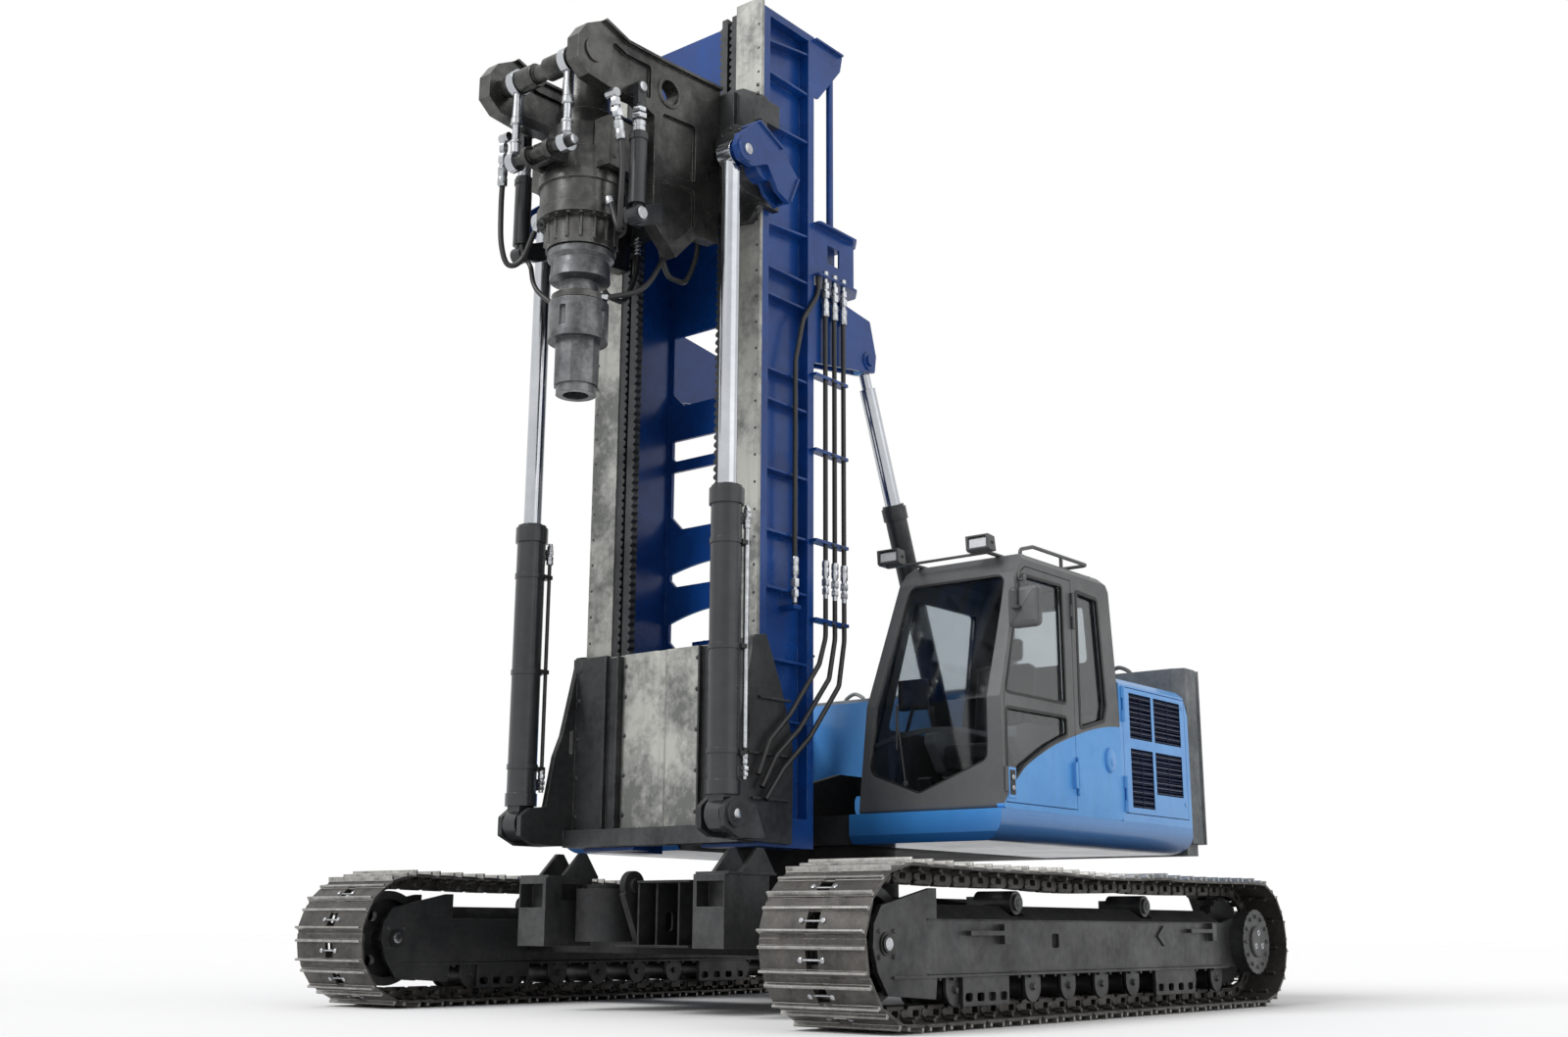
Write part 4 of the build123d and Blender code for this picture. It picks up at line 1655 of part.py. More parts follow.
# Spindle: journal, cone, stem, slotted collar and a faceted tube with a bore for the tool
# bottom level and top level from the cross shaft
COLLAR_LEVELS = (-1900, -1623)
COLLAR_SLOTS = 4
TUBE_FACETS = 12
STEP_HEIGHT = 60
with BuildPart() as drill_spindle:
    upright(SPINDLE_X, 0, SHAFT_Z - 1250, SHAFT_Z - 760, JOURNAL_RADIUS - FIT_GAP)
    with BuildSketch(Plane.XZ) as bell:
        with BuildLine():
            Polyline(
                (SPINDLE_X, SHAFT_Z - 1245),
                (SPINDLE_X + 236, SHAFT_Z - 1245),
                (SPINDLE_X + 236, SHAFT_Z - 1290),
                (SPINDLE_X + 205, SHAFT_Z - 1320),
                (SPINDLE_X + 215, SHAFT_Z - 1450),
                (SPINDLE_X + STEM_RADIUS, SHAFT_Z - 1470),
                (SPINDLE_X + STEM_RADIUS, SHAFT_Z + COLLAR_LEVELS[1]),
                (SPINDLE_X, SHAFT_Z + COLLAR_LEVELS[1]),
                close=True,
            )
        make_face()
    revolve(bell.sketch, axis=Axis((SPINDLE_X, 0, 0), (0, 0, 1)))
    upright(SPINDLE_X, 0, SHAFT_Z + COLLAR_LEVELS[0], SHAFT_Z + COLLAR_LEVELS[1], COLLAR_RADIUS)
    for slot in range(COLLAR_SLOTS):
        turn = 2 * pi * (slot + 0.15) / COLLAR_SLOTS
        x, y = SPINDLE_X + COLLAR_RADIUS * cos(turn), COLLAR_RADIUS * sin(turn)
        upright(x, y, SHAFT_Z + COLLAR_LEVELS[0] + 70, SHAFT_Z + COLLAR_LEVELS[1] - 60, 24, Mode.SUBTRACT)
    with BuildSketch(Plane.XY.offset(SHAFT_Z + SPINDLE_BOTTOM + STEP_HEIGHT)) as facets:
        with Locations((SPINDLE_X, 0)):
            RegularPolygon(TUBE_RADIUS, TUBE_FACETS)
    extrude(facets.sketch, amount=COLLAR_LEVELS[0] - SPINDLE_BOTTOM - STEP_HEIGHT)
    upright(SPINDLE_X, 0, SHAFT_Z + SPINDLE_BOTTOM, SHAFT_Z + SPINDLE_BOTTOM + STEP_HEIGHT, TUBE_RADIUS - 18)
    upright(SPINDLE_X, 0, SHAFT_Z + SPINDLE_BOTTOM - 1, SHAFT_Z + SPINDLE_BOTTOM + TUBE_BORE_LENGTH, TUBE_BORE_RADIUS,
            Mode.SUBTRACT)
save(drill_spindle, "drill_spindle")

# Rakers: a barrel on the upper machine and a rod up to the mast's rear lugs
raker_run_x = RAKER_TOP_X - RAKER_FOOT_X
raker_run_z = RAKER_TOP_Z - RAKER_FOOT_Z
raker_length = hypot(raker_run_x, raker_run_z)
raker_half = RAKER_BARREL_RADIUS * 0.6


def on_raker(distance, side):
    """Give the point on a raker's axis at a distance from its foot pin."""
    share = distance / raker_length
    return RAKER_FOOT_X + share * raker_run_x, side * RAKER_Y, RAKER_FOOT_Z + share * raker_run_z


def raker_bar(start, end, side, radius, mode=Mode.ADD):
    """Add a round bar along a raker's axis between two distances from its foot pin."""
    bar(on_raker(start, side), on_raker(end, side), radius, mode)


with BuildPart() as raker_barrels:
    for side in SIDES:
        y = side * RAKER_Y
        raker_bar(170, RAKER_BARREL_LENGTH, side, RAKER_BARREL_RADIUS)
        raker_bar(RAKER_BARREL_LENGTH - 120, RAKER_BARREL_LENGTH - 20, side, RAKER_BARREL_RADIUS + 12)
        raker_bar(0, 180, side, 45)
        cross_bar(RAKER_FOOT_X, RAKER_FOOT_Z, y - raker_half, y + raker_half, RAKER_EYE_RADIUS)
        cross_bar(RAKER_FOOT_X, RAKER_FOOT_Z, y - raker_half - 1, y + raker_half + 1, PIN_RADIUS + FIT_GAP,
                  Mode.SUBTRACT)
        raker_bar(210, RAKER_BARREL_LENGTH + 1, side, RAKER_ROD_RADIUS + RUNNING_GAP, Mode.SUBTRACT)
save(raker_barrels, "raker_barrels")

# The rods' eyes are open wide round the pins, where the linkage is opened
RAKER_EYE_HALF = 44
RAKER_EYE_BORE = 70
with BuildPart() as raker_rods:
    for side in SIDES:
        y = side * RAKER_Y
        raker_bar(1900, raker_length - 210, side, RAKER_ROD_RADIUS)
        raker_bar(raker_length - 220, raker_length - 75, side, 42)
        cross_bar(RAKER_TOP_X, RAKER_TOP_Z, y - RAKER_EYE_HALF, y + RAKER_EYE_HALF, RAKER_EYE_RADIUS)
        cross_bar(RAKER_TOP_X, RAKER_TOP_Z, y - RAKER_EYE_HALF - 1, y + RAKER_EYE_HALF + 1, RAKER_EYE_BORE,
                  Mode.SUBTRACT)
save(raker_rods, "raker_rods")
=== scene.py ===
"""Looks of the tracked pile driver rig: a finish for every solid, and the small pieces that the solids leave out."""

import json
import logging
from dataclasses import dataclass, field
from enum import Enum
from math import cos, hypot, pi, radians, sin, tan
from typing import Optional, Sequence, Union

import bmesh
import bpy
from mathutils import Matrix, Vector


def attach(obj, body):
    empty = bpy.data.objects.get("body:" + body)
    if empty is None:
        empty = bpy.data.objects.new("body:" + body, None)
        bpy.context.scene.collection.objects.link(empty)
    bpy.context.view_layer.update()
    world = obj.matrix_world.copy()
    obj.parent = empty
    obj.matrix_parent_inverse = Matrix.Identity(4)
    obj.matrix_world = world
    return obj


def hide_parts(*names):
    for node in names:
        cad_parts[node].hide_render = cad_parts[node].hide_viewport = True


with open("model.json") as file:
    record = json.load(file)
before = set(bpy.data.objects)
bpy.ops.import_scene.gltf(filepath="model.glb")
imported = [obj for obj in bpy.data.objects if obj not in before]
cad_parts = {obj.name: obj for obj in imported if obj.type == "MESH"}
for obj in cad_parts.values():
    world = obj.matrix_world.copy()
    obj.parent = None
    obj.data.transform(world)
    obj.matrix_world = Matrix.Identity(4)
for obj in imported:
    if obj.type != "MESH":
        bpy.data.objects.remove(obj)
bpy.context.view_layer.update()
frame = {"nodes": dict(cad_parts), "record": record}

LOG = logging.getLogger("rig")
Colour = tuple[float, float, float]
Point = tuple[float, float, float]
Flat = tuple[float, float]
Node = bpy.types.Node
Socket = bpy.types.NodeSocket
Value = Union[float, Colour, Socket]

SIDES = (-1, 1)
DUST_ROUGHNESS = 0.4
COAT_ROUGHNESS = 0.12
RELIEF_DEPTH = 0.01
CORNER_SHARE = 0.49
LONGEST_MITRE = 0.3
SMOOTH_ANGLE = 35.0


class Wiring:
    """A node tree with short calls that add nodes and join them."""

    def __init__(self, tree: bpy.types.NodeTree) -> None:
        """Take the tree to write into."""
        self.tree = tree

    def add(self, kind: str, inputs: Optional[dict[Union[str, int], Value]] = None, **settings: object) -> Node:
        """Add a node.

        Args:
            kind: The node's type, without its "ShaderNode" prefix.
            inputs: Values or sockets for its inputs, by name or number.
            settings: Properties of the node.

        Returns:
            The new node.
        """
        node = self.tree.nodes.new("ShaderNode" + kind)
        for name, value in settings.items():
            setattr(node, name, value)
        self.fill(node, inputs or {})
        return node

    def fill(self, node: Node, inputs: dict[Union[str, int], Value]) -> None:
        """Give a node's inputs constants, or join them to other nodes' outputs.

        Args:
            node: The node to write into.
            inputs: Constants or sockets, by the inputs' names or numbers.
        """
        for name, value in inputs.items():
            target = node.inputs[name]
            if isinstance(value, bpy.types.NodeSocket):
                self.tree.links.new(value, target)
            elif isinstance(value, tuple):
                target.default_value = value if target.type == "VECTOR" else (*value, 1.0)
            else:
                target.default_value = value

    def math(self, operation: str, *values: Value) -> Socket:
        """Join values by one arithmetic operation and return its result."""
        return self.add("Math", dict(enumerate(values)), operation=operation).outputs[0]

    def blend(self, factor: Value, low: Value, high: Value) -> Socket:
        """Return a colour between two others."""
        return self.add("Mix", {0: factor, 6: low, 7: high}, data_type="RGBA").outputs[2]

    def remap(self, value: Value, low: float, high: float, to_low: float = 0.0, to_high: float = 1.0) -> Socket:
        """Return a value moved from one range to another, and held inside it."""
        inputs = {"Value": value, "From Min": low, "From Max": high, "To Min": to_low, "To Max": to_high}
        return self.add("MapRange", inputs).outputs[0]

    def noise(self, place: Value, scale: Value, detail: float, rough: float) -> Socket:
        """Return smooth noise at a place."""
        return self.add("TexNoise", {"Vector": place, "Scale": scale, "Detail": detail, "Roughness": rough}).outputs[0]

    def place(self) -> Socket:
        """Return the shaded point's place."""
        return self.add("TexCoord").outputs["Object"]

    def axes(self, vector: Socket) -> bpy.types.NodeOutputs:
        """Return a vector's X, Y and Z."""
        return self.add("SeparateXYZ", {"Vector": vector}).outputs

    def bump(self, height: Socket, strength: float, depth: float) -> Node:
        """Add the relief of a height."""
        return self.add("Bump", {"Height": height, "Strength": strength, "Distance": depth})


class Effect(Enum):
    """Names of the shared node groups."""

    EDGES = "worn_edges"
    CLOUDS = "cloudy_tone"
    GRAIN = "cast_grain"
    DUST = "settled_dust"
    STREAKS = "run_streaks"


@dataclass
class EffectLibrary:
    """The shared node groups, each built once."""

    groups: dict[Effect, bpy.types.NodeTree] = field(default_factory=dict)

    def begin(self, effect: Effect, usual: dict[str, float],
              **kinds: str) -> tuple[Wiring, bpy.types.NodeOutputs, Node]:
        """Open a new group.

        Args:
            effect: Which effect the group makes.
            usual: Its inputs' usual values, by name.
            kinds: Its outputs' kinds of socket, by name.

        Returns:
            The group's wiring, the sockets of what it is given, and its output node.
        """
        tree = self.groups[effect] = bpy.data.node_groups.new(effect.value, "ShaderNodeTree")
        for name, value in usual.items():
            tree.interface.new_socket(name, in_out="INPUT", socket_type="NodeSocketFloat").default_value = value
        for name, kind in kinds.items():
            tree.interface.new_socket(name, in_out="OUTPUT", socket_type="NodeSocket" + kind)
        return Wiring(tree), tree.nodes.new("NodeGroupInput").outputs, tree.nodes.new("NodeGroupOutput")

    def build(self) -> None:
        """Build every group."""
        for step in (self.build_edges, self.build_clouds, self.build_grain, self.build_dust, self.build_streaks):
            step()

    def build_edges(self) -> None:
        """Mask the outer edges of a solid, broken up by noise, and round its corners in the shading."""
        wires, given, out = self.begin(Effect.EDGES, {"Width": 0.004, "Break Up": 9.0}, Mask="Float", Normal="Vector")
        soft = wires.add("Bevel", {"Radius": given["Width"]}, samples=4).outputs[0]
        plain = wires.add("NewGeometry").outputs["Normal"]
        angle = wires.add("VectorMath", {0: soft, 1: plain}, operation="DOT_PRODUCT").outputs["Value"]
        patches = wires.remap(wires.noise(wires.place(), given["Break Up"], 5.0, 0.65), 0.42, 0.62)
        wires.fill(out, {"Mask": wires.math("MULTIPLY", wires.remap(angle, 0.985, 0.86), patches), "Normal": soft})

    def build_clouds(self) -> None:
        """Mask large soft patches with finer ones inside them."""
        wires, given, out = self.begin(Effect.CLOUDS, {"Scale": 2.0, "Contrast": 0.3}, Mask="Float")
        place = wires.place()
        large = wires.noise(place, given["Scale"], 6.0, 0.6)
        fine = wires.noise(place, wires.math("MULTIPLY", given["Scale"], 7.0), 4.0, 0.6)
        mixed = wires.math("ADD", wires.math("MULTIPLY", large, 0.7), wires.math("MULTIPLY", fine, 0.3))
        spread = wires.math("DIVIDE", wires.math("SUBTRACT", mixed, 0.5), given["Contrast"])
        wires.fill(out, {"Mask": wires.remap(spread, -0.5, 0.5)})

    def build_grain(self) -> None:
        """Give the height of a cast or sprayed surface."""
        wires, given, out = self.begin(Effect.GRAIN, {"Scale": 90.0}, Height="Float")
        place = wires.place()
        grit = wires.noise(place, given["Scale"], 4.0, 0.6)
        swell = wires.noise(place, wires.math("MULTIPLY", given["Scale"], 0.12), 2.0, 0.5)
        wires.fill(out, {"Height": wires.math("ADD", grit, swell)})

    def build_dust(self) -> None:
        """Mask where dust settles: on faces that look up, and low on the machine."""
        wires, given, out = self.begin(Effect.DUST, {"Scale": 5.0, "Height": 1.2}, Mask="Float")
        place = wires.place()
        up = wires.axes(wires.add("NewGeometry").outputs["Normal"])["Z"]
        low = wires.remap(wires.math("DIVIDE", wires.axes(place)["Z"], given["Height"]), 1.0, 0.0)
        facing = wires.remap(up, 0.1, 0.95)
        patches = wires.remap(wires.noise(place, given["Scale"], 6.0, 0.65), 0.35, 0.7)
        settled = wires.math("MAXIMUM", wires.math("MULTIPLY", facing, 0.8), wires.math("MULTIPLY", low, 0.7))
        wires.fill(out, {"Mask": wires.math("MULTIPLY", settled, patches)})

    def build_streaks(self) -> None:
        """Mask narrow marks that run down a surface."""
        wires, given, out = self.begin(Effect.STREAKS, {"Scale": 14.0}, Mask="Float")
        drawn = wires.add("Mapping", {"Vector": wires.place(), "Scale": (1.0, 1.0, 0.06)}).outputs[0]
        wires.fill(out, {"Mask": wires.remap(wires.noise(drawn, given["Scale"], 5.0, 0.7), 0.52, 0.74)})

    def use(self, wires: Wiring, effect: Effect, **values: Value) -> bpy.types.NodeOutputs:
        """Put a group into a material.

        Args:
            wires: The material's wiring.
            effect: The group to place.
            values: Its inputs, by name.

        Returns:
            The group's outputs.
        """
        node = wires.tree.nodes.new("ShaderNodeGroup")
        node.node_tree = self.groups[effect]
        wires.fill(node, values)
        return node.outputs


EFFECTS = EffectLibrary()


def new_material(name: str) -> tuple[bpy.types.Material, Wiring, Node]:
    """Make an empty material.

    Args:
        name: The material's name.

    Returns:
        The material, its wiring and its Principled shader.
    """
    material = bpy.data.materials.new(name)
    material.use_nodes = True
    material.node_tree.nodes.clear()
    wires = Wiring(material.node_tree)
    shader = wires.add("BsdfPrincipled")
    wires.add("OutputMaterial", {"Surface": shader.outputs[0]})
    return material, wires, shader


@dataclass(frozen=True)
class MetalFinish:
    """A painted, cast or bare metal with worn edges, cloudy tone, dust and grain."""

    name: str
    base: Colour
    shade: Colour
    worn: Colour
    roughness: float = 0.45
    metallic: float = 0.0
    worn_metallic: float = 0.8
    wear: float = 0.6
    dust: float = 0.25
    streaks: float = 0.15
    clouds: float = 2.0
    contrast: float = 0.35
    grain: float = 90.0
    relief: float = 0.08
    edge_width: float = 0.006
    coat: float = 0.0
    specular: float = 0.5
    dust_colour: Colour = (0.30, 0.28, 0.25)

    def tone(self, wires: Wiring, clouds: Socket) -> Socket:
        """Return the clean surface's colour."""
        return wires.blend(clouds, self.base, self.shade)

    def build(self) -> bpy.types.Material:
        """Build the material.

        Returns:
            The material.
        """
        material, wires, shader = new_material(self.name)
        edges = EFFECTS.use(wires, Effect.EDGES, Width=self.edge_width)
        clouds = EFFECTS.use(wires, Effect.CLOUDS, Scale=self.clouds, Contrast=self.contrast)["Mask"]
        runs = wires.math("MULTIPLY", EFFECTS.use(wires, Effect.STREAKS)["Mask"], self.streaks)
        worn = wires.math("MULTIPLY", edges["Mask"], self.wear)
        dust = wires.math("MULTIPLY", EFFECTS.use(wires, Effect.DUST)["Mask"], self.dust)
        tone = wires.blend(worn, wires.blend(runs, self.tone(wires, clouds), self.shade), self.worn)
        rough = wires.remap(clouds, 0.0, 1.0, self.roughness - 0.07, self.roughness + 0.1)
        metal = wires.remap(worn, 0.0, 1.0, self.metallic, max(self.metallic, self.worn_metallic))
        bump = wires.bump(EFFECTS.use(wires, Effect.GRAIN, Scale=self.grain)["Height"], self.relief, RELIEF_DEPTH)
        wires.fill(bump, {"Normal": edges["Normal"]})
        wires.fill(shader, {
            "Base Color": wires.blend(dust, tone, self.dust_colour),
            "Roughness": wires.math("ADD", rough, wires.math("MULTIPLY", dust, DUST_ROUGHNESS)),
            "Metallic": wires.math("SUBTRACT", metal, wires.math("MULTIPLY", dust, metal)),
            "Coat Weight": self.coat,
            "Coat Roughness": COAT_ROUGHNESS,
            "Specular IOR Level": self.specular,
            "Normal": bump.outputs[0],
        })
        return material


@dataclass(frozen=True)
class TwoToneFinish(MetalFinish):
    """The cab's grey, with the light blue of the body under a curved line on its outer side."""

    lower: Colour = (0.105, 0.360, 0.760)
    lower_shade: Colour = (0.075, 0.290, 0.680)
    side_y: float = 2.04
    span: Flat = (-1.30, 0.46)
    rise: Flat = (1.30, 2.10)
    line: tuple[Flat, ...] = (
        (-1.30, 2.060), (-1.023, 2.038), (-0.513, 1.919), (-0.10, 1.775), (0.226, 1.606), (0.365, 1.475), (0.46, 1.37),
    )

    def tone(self, wires: Wiring, clouds: Socket) -> Socket:
        """Return the clean surface's colour.

        Args:
            wires: The material's wiring.
            clouds: The mask of its cloudy tone.

        Returns:
            The colour.
        """
        place = wires.axes(wires.place())
        curve = wires.add("FloatCurve", {"Value": wires.remap(place["X"], *self.span)})
        points = curve.mapping.curves[0].points
        (first_x, last_x), (low_z, high_z) = self.span, self.rise
        spots = [((x - first_x) / (last_x - first_x), (z - low_z) / (high_z - low_z)) for x, z in self.line]
        points[0].location, points[-1].location = spots[0], spots[-1]
        for spot in spots[1:-1]:
            points.new(*spot)
        curve.mapping.update()
        below = wires.math("LESS_THAN", wires.remap(place["Z"], *self.rise), curve.outputs[0])
        mask = wires.math("MULTIPLY", below, wires.math("GREATER_THAN", place["Y"], self.side_y))
        return wires.blend(mask, super().tone(wires, clouds), wires.blend(clouds, self.lower, self.lower_shade))


@dataclass(frozen=True)
class LouvredFinish(MetalFinish):
    """Body paint with painted shade: the sunk louvre openings take a near-black tone that stands for the shade inside
    them.
    """

    # Painted shade inside the louvre openings.
    recess_shade: Colour = (0.004, 0.012, 0.050)
    face_y: float = 2.0985
    margin: float = 0.002
    openings: tuple[tuple[float, float, float, float], ...] = ()

    def tone(self, wires: Wiring, clouds: Socket) -> Socket:
        """Return the surface's colour, with painted shade in the louvre openings.

        Args:
            wires: The material's wiring.
            clouds: The mask of its cloudy tone.

        Returns:
            The colour.
        """
        place = wires.axes(wires.place())
        inside: Value = 0.0
        for x_from, x_to, z_from, z_to in self.openings:
            near = [wires.math("COMPARE", place[axis], (low + high) / 2, (high - low) / 2 + self.margin)
                    for axis, low, high in (("X", x_from, x_to), ("Z", z_from, z_to))]
            inside = wires.math("MAXIMUM", inside, wires.math("MULTIPLY", *near))
        behind = wires.math("LESS_THAN", wires.math("ABSOLUTE", place["Y"]), self.face_y)
        # Painted shade: the recessed faces inside the openings turn near-black.
        return wires.blend(wires.math("MULTIPLY", inside, behind), super().tone(wires, clouds), self.recess_shade)


@dataclass(frozen=True)
class SkirtShadeFinish(MetalFinish):
    """A darker copy of the body paint with painted shade, darkening further towards the foot of the rounded skirt where
    it turns under.
    """

    # Painted shade: the colour at the foot, where the rounded skirt faces down.
    low: Colour = (0.006, 0.075, 0.260)
    levels: Flat = (1.15, 1.36)

    def tone(self, wires: Wiring, clouds: Socket) -> Socket:
        """Return the surface's colour, with painted shade that deepens towards the foot."""
        height = wires.remap(wires.axes(wires.place())["Z"], *self.levels)
        return wires.blend(height, self.low, super().tone(wires, clouds))


@dataclass(frozen=True)
class LensFinish:
    """Pressed glass or plastic with a fine pattern in its face."""

    name: str
    base: Colour = (0.80, 0.82, 0.84)
    metallic: float = 0.0
    roughness: float = 0.25
    pitch: float = 160.0
    relief: float = 0.6

    def build(self) -> bpy.types.Material:
        """Build the material.

        Returns:
            The material.
        """
        material, wires, shader = new_material(self.name)
        cells = wires.add("TexVoronoi", {"Vector": wires.place(), "Scale": self.pitch}).outputs["Distance"]
        wires.fill(shader, {
            "Base Color": wires.blend(cells, tuple(0.62 * c for c in self.base), self.base),
            "Metallic": self.metallic,
            "Roughness": wires.remap(cells, 0.0, 1.0, self.roughness, self.roughness + 0.2),
            "Normal": wires.bump(cells, self.relief, 0.004).outputs[0],
        })
        return material


@dataclass(frozen=True)
class GlassFinish:
    """Tinted safety glass."""

    name: str
    tint: Colour = (0.62, 0.66, 0.68)
    roughness: float = 0.02

    def build(self) -> bpy.types.Material:
        """Build the material.

        Returns:
            The material.
        """
        material, wires, shader = new_material(self.name)
        smear = EFFECTS.use(wires, Effect.CLOUDS, Scale=1.5, Contrast=0.5)["Mask"]
        wires.fill(shader, {
            "Roughness": wires.remap(smear, 0.0, 1.0, self.roughness, self.roughness + 0.05),
            "Base Color": wires.blend(smear, self.tint, tuple(0.92 * c for c in self.tint)),
            "Transmission Weight": 1.0,
            "IOR": 1.45,
        })
        return material


@dataclass(frozen=True)
class FabricFinish:
    """Woven cloth over foam."""

    name: str
    thread: Colour = (0.045, 0.045, 0.05)
    gap: Colour = (0.015, 0.015, 0.017)
    pitch: float = 420.0

    def build(self) -> bpy.types.Material:
        """Build the material.

        Returns:
            The material.
        """
        material, wires, shader = new_material(self.name)
        inputs = {"Vector": wires.place(), "Scale": self.pitch}
        weave = wires.math("MULTIPLY", *(wires.add("TexWave", inputs, bands_direction=axis).outputs["Color"]
                                         for axis in "YZ"))
        wires.fill(shader, {
            "Base Color": wires.blend(weave, self.gap, self.thread),
            "Roughness": 0.9,
            "Sheen Weight": 0.3,
            "Normal": wires.bump(weave, 0.3, 0.001).outputs[0],
        })
        return material


def grey(level: float) -> Colour:
    """Return a neutral grey."""
    return level, level, level


# The engine doors' openings: x from and to, z from and to.
LOUVRES = (
    (-1.780, -1.415, 1.992, 2.340), (-2.284, -1.825, 1.992, 2.340),
    (-1.780, -1.415, 1.470, 1.915), (-2.284, -1.825, 1.590, 1.915),
)
SKY = ((0.105, 0.370, 0.780), (0.070, 0.280, 0.680), (0.40, 0.55, 0.70), 0.35)
GLOSS = {"wear": 0.2, "streaks": 0.08, "clouds": 1.2, "relief": 0.02}
SOFT = {"worn_metallic": 0.0, "wear": 0.1}
PLASTIC = {**SOFT, "grain": 400.0, "relief": 0.15, "edge_width": 0.003}

# Each metal's clean colour, its shade, its worn colour, its roughness, how metallic it is, and what differs.
FINISHES = {
    finish.name: finish
    for finish in (
        MetalFinish("track_steel", (0.085, 0.080, 0.075), (0.030, 0.028, 0.026), (0.42, 0.41, 0.39), 0.42, 0.6,
                    wear=0.7, clouds=7.0, contrast=0.25),
        MetalFinish("grouser_steel", (0.46, 0.45, 0.43), (0.17, 0.165, 0.155), (0.62, 0.61, 0.58), 0.30, 0.9,
                    wear=0.9, dust=0.1, clouds=9.0, contrast=0.25),
        MetalFinish("dark_steel", (0.062, 0.064, 0.066), (0.018, 0.019, 0.021), grey(0.30), 0.38, 0.45,
                    wear=0.45, dust=0.15, clouds=2.6, contrast=0.25),
        MetalFinish("head_steel", (0.120, 0.119, 0.114), grey(0.030), (0.42, 0.42, 0.40), 0.28, 0.8,
                    dust=0.05, clouds=1.8, contrast=0.22),
        MetalFinish("frame_steel", (0.030, 0.031, 0.033), (0.012, 0.012, 0.013), grey(0.16), 0.62,
                    wear=0.35, dust=0.10, clouds=2.2, contrast=0.25, specular=0.15),
        MetalFinish("barrel_steel", (0.035, 0.037, 0.040), (0.014, 0.015, 0.017), grey(0.25), 0.30, 0.3,
                    wear=0.3, dust=0.1, relief=0.04, coat=0.2),
        MetalFinish("spindle_steel", (0.17, 0.175, 0.18), (0.055, 0.058, 0.062), (0.45, 0.45, 0.44), 0.34, 0.75,
                    clouds=5.0, contrast=0.25),
        MetalFinish("mast_paint", (0.005, 0.060, 0.275), (0.002, 0.026, 0.140), (0.22, 0.32, 0.46), 0.30,
                    wear=0.45, dust=0.05, relief=0.04, coat=0.12, clouds=1.4, contrast=0.3, specular=0.35),
        MetalFinish("sky_paint", *SKY, dust=0.08, coat=0.35, **GLOSS),
        # The engine doors' paint, with painted shade in the sunk louvre openings.
        LouvredFinish("door_paint", *SKY, dust=0.05, coat=0.35, openings=LOUVRES, **GLOSS),
        # The skirt's paint: painted shade, the body's blue darkened and darker still towards the foot.
        SkirtShadeFinish("skirt_shade_paint", (0.050, 0.270, 0.640), (0.030, 0.200, 0.540), (0.30, 0.45, 0.62), 0.33,
                    dust=0.04, coat=0.4, **GLOSS),
        MetalFinish("cab_paint", (0.100, 0.102, 0.105), (0.060, 0.061, 0.063), grey(0.25), 0.42,
                    wear=0.25, dust=0.06, relief=0.04),
        TwoToneFinish("cab_two_tone", (0.104, 0.107, 0.110), (0.072, 0.074, 0.076), grey(0.25), 0.42,
                      wear=0.2, dust=0.05, relief=0.03),
        MetalFinish("rail_steel", (0.42, 0.42, 0.39), (0.13, 0.135, 0.13), (0.65, 0.65, 0.62), 0.42, 0.5,
                    wear=0.4, dust=0.1, streaks=0.45, clouds=2.4, contrast=0.18, relief=0.05),
        MetalFinish("cast_grey", (0.19, 0.20, 0.205), (0.075, 0.085, 0.092), (0.38, 0.39, 0.39), 0.6,
                    wear=0.2, dust=0.1, streaks=0.5, clouds=1.6, contrast=0.22, relief=0.2),
        MetalFinish("chrome", (0.62, 0.64, 0.67), (0.34, 0.36, 0.39), grey(0.8), 0.14, 1.0,
                    wear=0.0, dust=0.02, streaks=0.06, clouds=1.2, contrast=0.6, relief=0.01),
        MetalFinish("zinc_fitting", (0.58, 0.60, 0.62), (0.30, 0.31, 0.33), grey(0.8), 0.22, 1.0,
                    wear=0.3, dust=0.03, clouds=22.0, relief=0.03, edge_width=0.002),
        MetalFinish("hose_rubber", grey(0.016), grey(0.008), grey(0.05), 0.42, worn_metallic=0.0, wear=0.2,
                    dust=0.08, grain=260.0, relief=0.1),
        MetalFinish("gasket_rubber", grey(0.008), grey(0.004), grey(0.02), 0.5, dust=0.03, grain=300.0, relief=0.05,
                    edge_width=0.001, **SOFT),
        # Near-black navy for the louvres' blades, uprights and backs: painted shade inside the openings.
        MetalFinish("louvre_shade_navy", (0.004, 0.012, 0.055), (0.002, 0.005, 0.028), (0.01, 0.03, 0.09), 0.55,
                    dust=0.0, streaks=0.0, edge_width=0.001, specular=0.2, **SOFT),
        MetalFinish("console_grey", (0.30, 0.31, 0.31), (0.22, 0.23, 0.23), grey(0.4), 0.55, dust=0.08, **PLASTIC),
        MetalFinish("cab_plastic", (0.030, 0.030, 0.032), (0.018, 0.018, 0.019), grey(0.08), 0.5, dust=0.06,
                    **PLASTIC),
        MetalFinish("accent_orange", (0.55, 0.14, 0.02), (0.42, 0.09, 0.01), (0.6, 0.3, 0.1), 0.4, wear=0.3,
                    edge_width=0.002),
        LensFinish("lamp_lens"),
        LensFinish("mirror_glass", (0.75, 0.77, 0.78), 1.0, 0.03, 4.0, 0.02),
        LensFinish("screen_glass", (0.010, 0.012, 0.014), 0.0, 0.08, 40.0, 0.02),
        FabricFinish("seat_fabric"),
        GlassFinish("glass"),
    )
}

